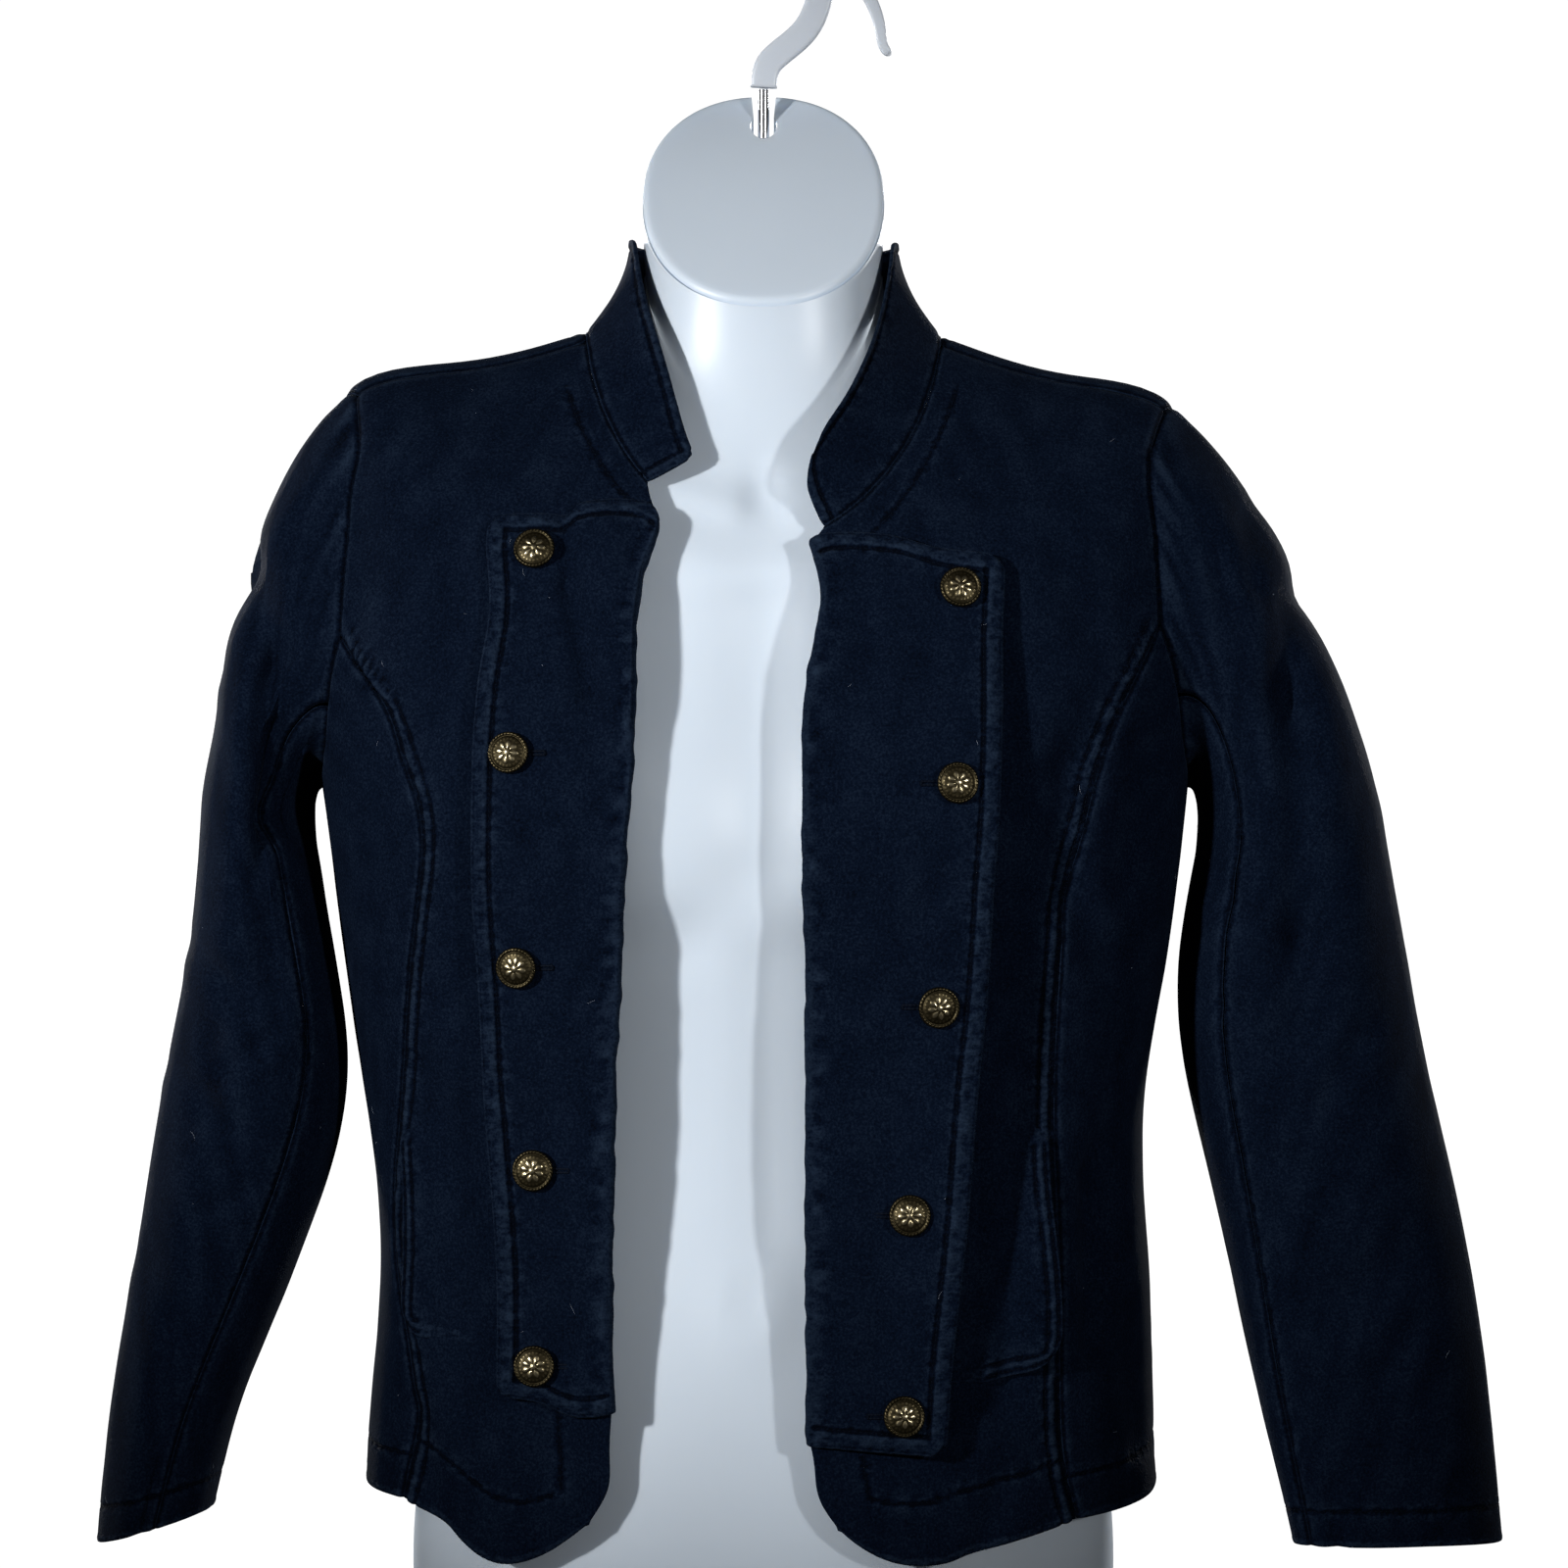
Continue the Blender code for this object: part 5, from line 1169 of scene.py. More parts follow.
class BodyPanels(HalfPiece):
    """The centre front, side front, side back and centre back of one half."""

    FIRST_STITCH, SECOND_STITCH = 1.9 * MM, 8.0 * MM
    FACING, HEM, FRONT_HEM = 28.0 * MM, 22.0 * MM, 31.0 * MM

    def hem(self, grid: ClothGrid, seed: float, depth: float, start: float = 0.0) -> None:
        """The turned-up hem: a rolled edge and the line that holds its facing.

        Args:
            grid: the panel.
            seed: sets the puckers.
            depth: how high the line is.
            start: how far from the left it starts.
        """
        grid.welt(("bottom",), 3.5 * MM, 0.25 * MM, seed)
        grid.sew(grid.trace("bottom", depth, start), seed + 0.5, 0.5 * MM)

    def double_seam(self, grid: ClothGrid, edge: str, length: float, seed: float) -> None:
        """A seam whose allowance is held down by two rows of stitches.

        Args:
            grid: the panel that the rows are sewn on.
            edge: the edge that they follow.
            length: how far up that edge they go.
            seed: sets the puckers.
        """
        near = grid.bottom[:, -1:] if edge == "right" else grid.bottom[:, :1]
        mask = smooth((length - near) / (8.0 * MM))
        grid.welt((edge,), self.SECOND_STITCH, 0.45 * MM, seed, mask)
        for row, distance in enumerate((self.FIRST_STITCH, self.SECOND_STITCH)):
            grid.sew(grid.trace(edge, distance, 0.0, length), seed + row, mask=mask)

    def seams(self, grid: ClothGrid, edges: tuple[str, ...], seed: float) -> None:
        """A plain seam on each of some edges."""
        for step, edge in enumerate(edges):
            grid.seam(edge, seed + step)

    def front(self) -> None:
        """The centre front, from its free edge to the princess seam and the armhole."""
        cut = self.lines
        left = Chain((cut.edge_low, ROWS_EDGE), (cut.fold, ROWS_FOLD), (cut.edge_neck, ROWS_NECK))
        right = Chain((cut.princess, ROWS_LOW), (cut.arm_front, ROWS_ARM))
        top = Chain((cut.neck_front, COLUMNS_HALF), (cut.shoulder, COLUMNS_HALF))
        grid = self.cut((left, right, Chain((cut.hem_front, 2 * COLUMNS_HALF)), top),
                        Spacing(8 * MM, 13 * MM, wide=3.6 * MM, inset_start=1.0 * MM),
                        Spacing(34 * MM, 14 * MM, 1.2 * MM, 2.9 * MM))
        seed = 11.0 + self.side.sign
        self.seams(grid, ("right", "top"), seed)
        self.double_seam(grid, "right", cut.princess.length, seed + 2)
        self.hem(grid, seed + 4, self.FRONT_HEM, self.FACING)
        grid.sew(grid.trace("left", self.FACING, self.FRONT_HEM, 0.075), seed + 6, 0.5 * MM)
        grid.sew(grid.trace("top", self.FACING, 0.004, cut.neck_front.length - 0.004), seed + 7, 0.4 * MM)
        grid.slub(seed + 8)
        self.finish(grid, "front", ("torso_form",))

    def side_panel(self, piece: str, edges: tuple[SurfaceLine, ...], across: Spacing, wide: float,
                   seed: float) -> None:
        """A side front or a side back.

        Args:
            piece: its name without its side.
            edges: its left, right, bottom and top.
            across: where its columns lie.
            wide: how far apart its middle rows are.
            seed: sets its puckers.
        """
        counts = (ROWS_LOW, ROWS_LOW, COLUMNS_SIDE, COLUMNS_SIDE)
        chains = tuple(Chain((edge, count)) for edge, count in zip(edges, counts))
        grid = self.cut(chains, across, Spacing(25 * MM, 5 * MM, 1.2 * MM, wide))
        self.seams(grid, ("left", "right", "top"), seed)
        self.hem(grid, seed + 4, self.HEM)
        grid.slub(seed + 8)
        self.finish(grid, f"side_{piece}", (piece,))

    def back(self) -> None:
        """The centre back, from the back seam and armhole to the middle."""
        cut = self.lines
        left = Chain((cut.back_seam, ROWS_LOW), (cut.arm_back, ROWS_ARM))
        right = Chain((cut.centre_low, ROWS_LOW), (cut.centre_top, ROWS_ARM))
        top = Chain((cut.shoulder.reversed(), COLUMNS_HALF), (cut.neck_back, COLUMNS_HALF))
        grid = self.cut((left, right, Chain((cut.hem_back, 2 * COLUMNS_HALF)), top),
                        Spacing(12 * MM, 6 * MM, wide=3.8 * MM),
                        Spacing(25 * MM, 10 * MM, 1.2 * MM, 3.4 * MM))
        seed = 53.0 + self.side.sign
        self.seams(grid, ("left", "right", "top"), seed)
        self.double_seam(grid, "left", cut.back_seam.length, seed + 3)
        self.hem(grid, seed + 5, self.HEM)
        grid.slub(seed + 8)
        self.finish(grid, "back", ("torso_form",))

    def build(self) -> None:
        """Makes the four panels."""
        cut, sign = self.lines, self.side.sign
        self.front()
        self.side_panel("front", (cut.princess, cut.side_seam, cut.hem_side_front, cut.under_front),
                        Spacing(7 * MM, 5 * MM, wide=3.4 * MM), 3.2 * MM, 23.0 + sign)
        self.side_panel("back", (cut.side_seam, cut.back_seam, cut.hem_side_back, cut.under_back),
                        Spacing(5 * MM, 7 * MM, wide=3.6 * MM), 3.4 * MM, 37.0 + sign)
        self.back()


class Lapel(HalfPiece):
    """The turned-back front of one half, rolled round the front's free edge."""

    STITCH = 8.0 * MM
    RISE = 1.0 * MM
    CORNER = 7.0 * MM
    WRAP_STEPS = 12

    def under(self, u: Array, v: Array) -> Array:
        """How far the underside is off the front: the clearance, plus the stand times u to the 1.6."""
        stand = np.interp(v, np.linspace(0.0, 1.0, 5), self.pattern.lapel_stand) * MM
        return LAPEL_CLEAR + stand * np.clip(u, 0.0, 1.0) ** 1.6

    def wrap(self, edge: Array, normal: Array, away: Array, high: float, low: float, reach: Array) -> Array:
        """Points round the front's free edge, on half an ellipse from below it to above it.

        The height is the ellipse's middle plus its half height times the sine, and the
        reach beyond the edge is the cosine's.
        """
        turn = np.radians(np.linspace(-80.0, 84.0, self.WRAP_STEPS))
        height = (high + low) / 2 + (high - low) / 2 * np.sin(turn)
        beyond = reach[:, None] * np.cos(turn)
        return edge[:, None] + normal[:, None] * height[None, :, None] + away[:, None] * beyond[..., None]

    def sewn(self, grid: ClothGrid, seed: float) -> None:
        """Adds the stitched edges, and the uneven swell along the fold."""
        grid.slub(seed, 0.30 * MM)
        grid.welt(("right", "top", "bottom"), self.STITCH, self.RISE, seed + 1)
        wide, low, tall = (float(run) for run in (grid.left[-1, -1], grid.left[0, -1], grid.bottom[-1, -1]))
        stretches = (("right", self.STITCH, tall), ("top", 0.0, wide), ("bottom", 0.0, low))
        for step, (edge, start, end) in enumerate(stretches):
            line = grid.trace(edge, self.STITCH, start, end - self.STITCH)
            grid.sew(line, seed + 2 + step, 1.0 * MM, 0.40 * MM)
        ripple = wobble(grid.bottom / (6.5 * MM), grid.left / (14.0 * MM), seed + 9)
        ripple = ripple + 0.5 * wobble(grid.bottom / (3.0 * MM), grid.left / (8.0 * MM), seed + 10)
        grid.height += 0.45 * MM * ripple * bell(grid.left - 4.0 * MM, 5.0 * MM)
        grid.wear += 0.25 * np.clip(ripple, 0.0, 1.0) * bell(grid.left - 3.0 * MM, 6.0 * MM)
        grid.height *= smooth(grid.left / (3.0 * MM))

    def build(self) -> None:
        """Cuts the lapel from the front's own surface, lifts it and rolls it."""
        cut, steps = self.lines, self.WRAP_STEPS
        chains = (Chain((cut.fold, ROWS_FOLD)), Chain((cut.lapel_edge, ROWS_FOLD)),
                  Chain((cut.lapel_foot, 4)), Chain((cut.lapel_top, 4)))
        base = self.cut(chains, Spacing(3 * MM, 11 * MM, 0.9 * MM, 2.6 * MM, 0.0, 1.5 * MM),
                        Spacing(11 * MM, 11 * MM, 0.9 * MM, 1.7 * MM, 1.5 * MM, 1.5 * MM), 9)
        under = self.under(base.left / base.left[:, -1:], base.bottom / base.bottom[-1:])
        under = under + creased(base.points, self.pattern.lapel_creases)
        measured = base.points
        for end in (base.top, base.bottom):
            base.points = rounded(base.points, base.right, end, self.CORNER)
        grid = ClothGrid(base.points + base.normals * (under + LAPEL_CLOTH)[..., None], base.normals)
        grid.measure(measured)
        seed = 71.0 + self.side.sign
        self.sewn(grid, seed)
        edge, normal = base.points[:, 0], base.normals[:, 0]
        away = unit(edge - base.points[:, 2])
        away = unit(away - normal * np.sum(away * normal, axis=-1, keepdims=True))
        rise = grid.bottom[:, 0]
        uneven = 1.0 + 0.30 * wobble(rise / (7.0 * MM), rise / (31.0 * MM), seed + 12)
        reach = 2.4 * MM * uneven + 0.5 * MM * wobble(rise / (26.0 * MM), rise / (70.0 * MM), seed + 13)
        over = self.wrap(edge, normal, away, LAPEL_CLEAR + LAPEL_CLOTH, -2.9 * MM, reach)
        below = self.wrap(edge, normal, away, LAPEL_CLEAR, -2.2 * MM, reach * 0.2)
        turn = np.ones((len(edge), 1))
        fold_left = turn * np.linspace(-8.0 * MM, -0.5 * MM, steps)
        fold_rise = grid.bottom[:, :1] * np.ones(steps)
        fold_wear = turn * (0.25 + 0.15 * np.sin(np.linspace(0.0, math.pi, steps)))
        outer, inner, left, up, wear, seamed = (np.concatenate(pair, axis=1) for pair in (
            (over, grid.surface()), (below, base.points + base.normals * under[..., None]),
            (fold_left, grid.left), (fold_rise, grid.bottom),
            (fold_wear, grid.worn_and_shaded() + 0.25 * bell(grid.left, 4.0 * MM)),
            (0.6 * turn * np.ones(steps), grid.seamed + 0.6 * bell(grid.left, 8.0 * MM))))
        name = f"lapel_{self.word}"
        made = shell(f"{name}_cloth", outer, inner, np.stack([left, up], axis=-1), wear, seamed, steps=5)
        self.wardrobe.keep(made, grid, name, [f"front_{self.word}"], self.word)
        self.wardrobe.lint_beds.append(grid)
        self.wardrobe.lapels[self.side] = grid


class Pocket(HalfPiece):
    """The patch pocket beside the princess seam, with its mouth along the seam."""

    CLEAR = 0.9 * MM
    CLOTH = 1.4 * MM
    SUNK = 1.6 * MM
    CORNER = 16.0 * MM
    FIRST_STITCH, SECOND_STITCH = 1.8 * MM, 7.0 * MM

    def build(self) -> None:
        """Cuts the pocket from the front's surface and lets its mouth stand off."""
        cut = self.lines
        chains = (Chain((cut.pocket_inner, 8)), Chain((cut.pocket_mouth, 8)),
                  Chain((cut.pocket_bottom, 5)), Chain((cut.pocket_top, 5)))
        base = self.cut(chains, *(Spacing(start * MM, 9 * MM, 1.0 * MM, 2.4 * MM) for start in (3, 9)))
        u, v = base.left / base.left[:, -1:], base.bottom / base.bottom[-1:]
        bow = np.sin(math.pi * np.clip(v * 0.92 + 0.16, 0.0, 1.0)) * (0.35 + 0.65 * (1 - v))
        free = self.pattern.pocket_free
        shown = smooth((u - free) / 0.25) * smooth((1.0 - v) / 0.06)
        under = self.CLEAR + self.pattern.pocket_gape * MM * u**2 * np.clip(bow, 0.0, 1.0)
        under = (under * shown - self.SUNK * (1.0 - shown))[..., None]
        points = rounded(base.points, base.right, base.bottom, self.CORNER)
        grid = ClothGrid(points + base.normals * (under + self.CLOTH), base.normals)
        seed = 83.0 + self.side.sign
        grid.slub(seed, 0.25 * MM)
        grid.welt(("right", "bottom"), self.SECOND_STITCH, 0.45 * MM, seed + 1)
        wide, tall = float(grid.left[0, -1]), float(grid.bottom[-1, -1])
        for inset in (self.FIRST_STITCH, self.SECOND_STITCH):
            grid.sew(grid.trace("right", inset, inset, tall * 0.94), seed + 2)
            grid.sew(grid.trace("bottom", inset, (free + 0.2) * wide, wide - inset), seed + 3)
        inner = points + base.normals * under
        self.wardrobe.cloth(grid, f"pocket_{self.word}", inner, [f"front_{self.word}"], self.word)


class Sleeve(HalfPiece):
    """The top and under sleeve of one half, from the armhole to the open cuff."""

    CAP_ROWS, LOW_ROWS = 8, 12
    FRONT_SEAM, BACK_SEAM, ROUND = 10.0, 19.0, 28.0
    KNOTS = ((0.0, 8.0, 14.0, 20.0, 28.0), (0.0, 100.0, 180.0, 260.0, 360.0))
    CUFF = 18.0 * MM
    INSET = 0.07

    def __init__(self, lines: JacketLines, wardrobe: Wardrobe) -> None:
        """Keeps the half's lines and the sleeve's sections."""
        super().__init__(lines, wardrobe)
        self.table = np.array(self.pattern.sleeve) * ([MM] * 6 + [1.0, 1.0])

    def ring(self, at: Array, angles: Array) -> Array:
        """Points round sections of the arm: rounded squares, turned by their twist.

        Args:
            at: which rows of the table, as an array of any shape.
            angles: the angles, 0 at the outer side and a quarter turn at the front.

        Returns:
            The points.
        """
        z, outer, inner, front, back, tilt, square, twist = (
            spline(self.table[:, i], at) for i in range(self.table.shape[1]))
        turned = angles + np.radians(twist)
        radius = squared(turned, square)
        x = self.side.sign * ((outer + inner) / 2 + (outer - inner) / 2 * radius * np.cos(turned))
        y = (front + back) / 2 - (back - front) / 2 * radius * np.sin(turned)
        return np.stack([x, y, z + tilt * np.cos(turned)], axis=-1)

    def rim(self, places: Array) -> Array:
        """The armhole's points."""
        return self.lines.surface.folded(self.side, self.lines.armhole(places))

    def angles(self, places: Array) -> Array:
        """The angles round the arm of places on the armhole."""
        return np.radians(np.interp(np.mod(places, self.ROUND), *self.KNOTS))

    def surface_at(self, places: Array, cap: Array, low: Array) -> Array:
        """The sleeve without its folds: the cap from the armhole, then the arm.

        The cap's lines are cubic curves that leave the armhole outwards, at nine tenths of
        the way's length, and meet the arm's first section along the arm.

        Args:
            places: columns, as places on the armhole.
            cap: shares of the cap, from 0 at the armhole to 1.
            low: shares of the arm, from just over 0 to 1 at the cuff.

        Returns:
            A grid with a row for each share.
        """
        edge, angles = self.rim(places), self.angles(places)
        normal = self.lines.surface.folded_normals(self.side, self.lines.armhole(places))
        tangent = unit(self.rim(places + 1.0) - self.rim(places - 1.0))
        into = self.rim(np.arange(self.ROUND)).mean(axis=0) - edge
        for other in (normal, tangent):
            into = into - other * np.sum(into * other, axis=-1, keepdims=True)
        into = unit(into)
        first = edge + into * 0.35 * MM - normal * 0.7 * MM
        last = len(self.table) - 1.0
        start = self.ring(np.zeros(len(places)), angles)
        down = unit(self.ring(np.full(len(places), last / self.LOW_ROWS), angles) - start)
        reach = np.linalg.norm(start - first, axis=-1, keepdims=True)
        crown = (np.clip(np.cos(angles), 0.0, 1.0) ** 2)[:, None]
        sideways = np.array([self.side.sign * 0.30, 0.0, 0.0])
        away = unit(into * 0.75 + normal * (0.45 - 0.20 * crown) + sideways - 0.38 * UP * crown)
        t = cap[:, None, None]
        leave, arrive = away * reach * 0.90, down * reach * 0.75
        grid = (2 * t**3 - 3 * t**2 + 1) * first + (t**3 - 2 * t**2 + t) * leave
        grid = grid + (3 * t**2 - 2 * t**3) * start + (t**3 - t**2) * arrive
        arm = self.ring(np.broadcast_to(low[:, None] * last, (len(low), len(places))), angles[None])
        return np.concatenate([grid, arm])

    def strip(self, places: Array) -> ClothGrid:
        """One piece of the sleeve, with its folds and creases."""
        even = np.linspace(0.0, 1.0, 58)
        cap = smooth(even) * 0.25 + even * 0.75
        close = 1.0 - np.arange(22)[::-1] * 1.1 * MM / 0.36
        low = np.concatenate([np.linspace(0.0, close[0], 118)[1:-1], close])
        points = self.surface_at(places, cap, low)
        centre = self.surface_at(np.arange(self.ROUND), cap, low).mean(axis=1, keepdims=True)
        normals = ClothGrid(points, points - centre).normals
        fade = np.concatenate([np.clip(cap * self.CAP_ROWS / 3.0, 0.0, 1.0), np.ones(len(low))])[:, None]
        height = creased(points, self.pattern.sleeve_folds + self.pattern.sleeve_creases)
        points = points + normals * (height * smooth(fade))[..., None]
        return ClothGrid(points, points - centre)

    def columns(self, first: float, last: float) -> Array:
        """Places across a piece, closer together near its two seams."""
        close = np.arange(0.0, 1.0, 0.11)
        start, end = first + self.INSET, last - self.INSET
        middle = np.linspace(start + 1.0, end - 1.0, int((end - start - 2.0) / 0.27))
        return np.concatenate([start + close, middle, end - close[::-1]])

    def piece(self, name: str, first: float, last: float, seed: float, gathered: float) -> None:
        """Makes one piece of the sleeve.

        Args:
            name: the piece's name without its side.
            first: the place of its first seam.
            last: the place of its second seam.
            seed: sets its unevenness.
            gathered: how high the eased cloth of its head puckers.
        """
        places = self.columns(first, last)
        grid = self.strip(places)
        for step, (edge, rub) in enumerate((("left", 0.06), ("right", 0.06), ("bottom", 0.12))):
            grid.seam(edge, seed + step, rub=rub)
        eased = wobble(grid.left / (9.0 * MM), grid.bottom / (60.0 * MM), seed + 3)
        head = bell(grid.bottom - 7.0 * MM, 8.0 * MM) * (0.35 + 0.65 * np.abs(np.cos(self.angles(places))))
        grid.height += gathered * eased * head
        grid.wear += 0.2 * np.clip(eased, 0.0, 1.0) * head
        grid.slub(seed + 4, 0.30 * MM)
        grid.welt(("top",), 3.0 * MM, 0.25 * MM, seed + 5)
        grid.sew(grid.trace("top", self.CUFF), seed + 6, 0.5 * MM)
        self.finish(grid, name, ("front", "back"))

    def build(self) -> None:
        """Makes the top sleeve and the under sleeve."""
        sign = self.side.sign
        self.piece("sleeve_top", self.BACK_SEAM, self.FRONT_SEAM + self.ROUND, 97.0 + sign, 0.55 * MM)
        self.piece("sleeve_under", self.FRONT_SEAM, self.BACK_SEAM, 113.0 + sign, 0.25 * MM)


class Collar:
    """The standing collar, a band that leans in from the neckline towards the neck."""

    # Angle round the neckline from the right end over the back; how far the top edge is in
    # towards the middle, forwards and up.
    ROWS = (
        (37, 23, -6, 11), (45, 26, -7, 26), (55, 27, -8, 40), (68, 27, -6, 41), (90, 24.5, 0, 50),
        (130, 13, 0, 51), (180, 0, 0, 51), (230, 13, 0, 51), (270, 24.5, 0, 50.5), (292, 26, -6, 41),
        (312, 23.5, -6, 40), (330, 17, -4, 40), (341, 8, -2, 38),
    )
    HOLLOW, SEAT = 0.024, 0.3 * MM
    STITCH = 4.5 * MM
    LEFT_CORNER, RIGHT_CORNER = 20.0 * MM, 3.5 * MM

    def __init__(self, halves: dict[Side, JacketLines], wardrobe: Wardrobe) -> None:
        """Keeps the lines of both halves."""
        self.halves, self.wardrobe = halves, wardrobe

    def feet(self, side: Side, out: float) -> tuple[Array, Array, Array]:
        """The neckline's points, the way up the torso there, and their angles in degrees."""
        cut = self.halves[side]
        neck = Chain((cut.neck_front, COLUMNS_HALF), (cut.neck_back, COLUMNS_HALF))
        spots = neck.at(np.linspace(0.0, neck.rows, 141))

        def off(at: Array) -> Array:
            """The surface with its folds, out metres off it."""
            return cut.surface.folded(side, at) + cut.surface.folded_normals(side, at) * out

        points = off(spots)
        return points, unit(points - off(spots - np.array([0.0, 0.05]))), np.degrees(spots[:, 0])

    def lean(self, around: Array) -> list[Array]:
        """The top edge's offsets, averaged over 12 degrees so that the rows blend."""
        table = np.array(self.ROWS) * [1.0, MM, MM, MM]
        shifts = np.linspace(-6.0, 6.0, 9)
        return [np.mean([np.interp(around + s, table[:, 0], table[:, i]) for s in shifts], axis=0)
                for i in (1, 2, 3)]

    def band(self, out: float, heights: Array) -> Array:
        """The collar's surface, out metres off the neckline, at shares of its height."""
        strips = []
        for side in (Side.RIGHT, Side.LEFT):
            feet, up, degrees = self.feet(side, out)
            around = degrees if side is Side.RIGHT else 360.0 - degrees
            inward, forward, rise = self.lean(around)
            lean = np.stack([-side.sign * inward, -forward, rise], axis=-1)
            t = heights[:, None, None]
            strip = feet + up * self.SEAT + lean * t + up * self.HOLLOW * t * (1 - t)
            strips.append(strip if side is Side.RIGHT else strip[:, ::-1][:, 1:])
        return np.concatenate(strips, axis=1)

    def build(self) -> None:
        """Makes the band with its stitched edges."""
        pair = [self.band(out, np.linspace(0.0, 1.0, 49)) for out in (0.0, -COLLAR_CLOTH)]
        across = Spacing(7 * MM, 7 * MM, 0.9 * MM, 1.9 * MM, 1.5 * MM, 1.5 * MM)
        upright = Spacing(2 * MM, 8 * MM, 0.9 * MM, 1.6 * MM, 0.8 * MM, 1.5 * MM)
        both = np.concatenate(pair, axis=-1)
        for spacing in (across, upright):
            both = turned_grid(respaced(both, both[..., :3], spacing))
        measured, inner = both[..., :3], both[..., 3:]
        flat = ClothGrid(measured, measured - inner)
        outer = measured
        for edge, radius in ((flat.right, self.LEFT_CORNER), (flat.left, self.RIGHT_CORNER)):
            outer, inner = (rounded(points, edge, flat.top, radius) for points in (outer, inner))
        grid = ClothGrid(outer, outer - inner)
        grid.measure(measured)
        seed = 131.0
        grid.slub(seed, 0.28 * MM)
        grid.welt(("left", "right", "top"), self.STITCH, 0.35 * MM, seed + 1)
        wide = float(grid.left[-1, -1])
        grid.sew(grid.trace("top", self.STITCH, self.STITCH, wide - self.STITCH), seed + 2)
        for step, (edge, column) in enumerate((("left", 0), ("right", -1))):
            tall = float(grid.bottom[-1, column])
            grid.sew(grid.trace(edge, self.STITCH, 0.0, tall - self.STITCH), seed + 3 + step)
        grid.seam("bottom", seed + 5)
        self.wardrobe.cloth(grid, "collar", inner, ["front_right", "front_left"], "collar", 5)


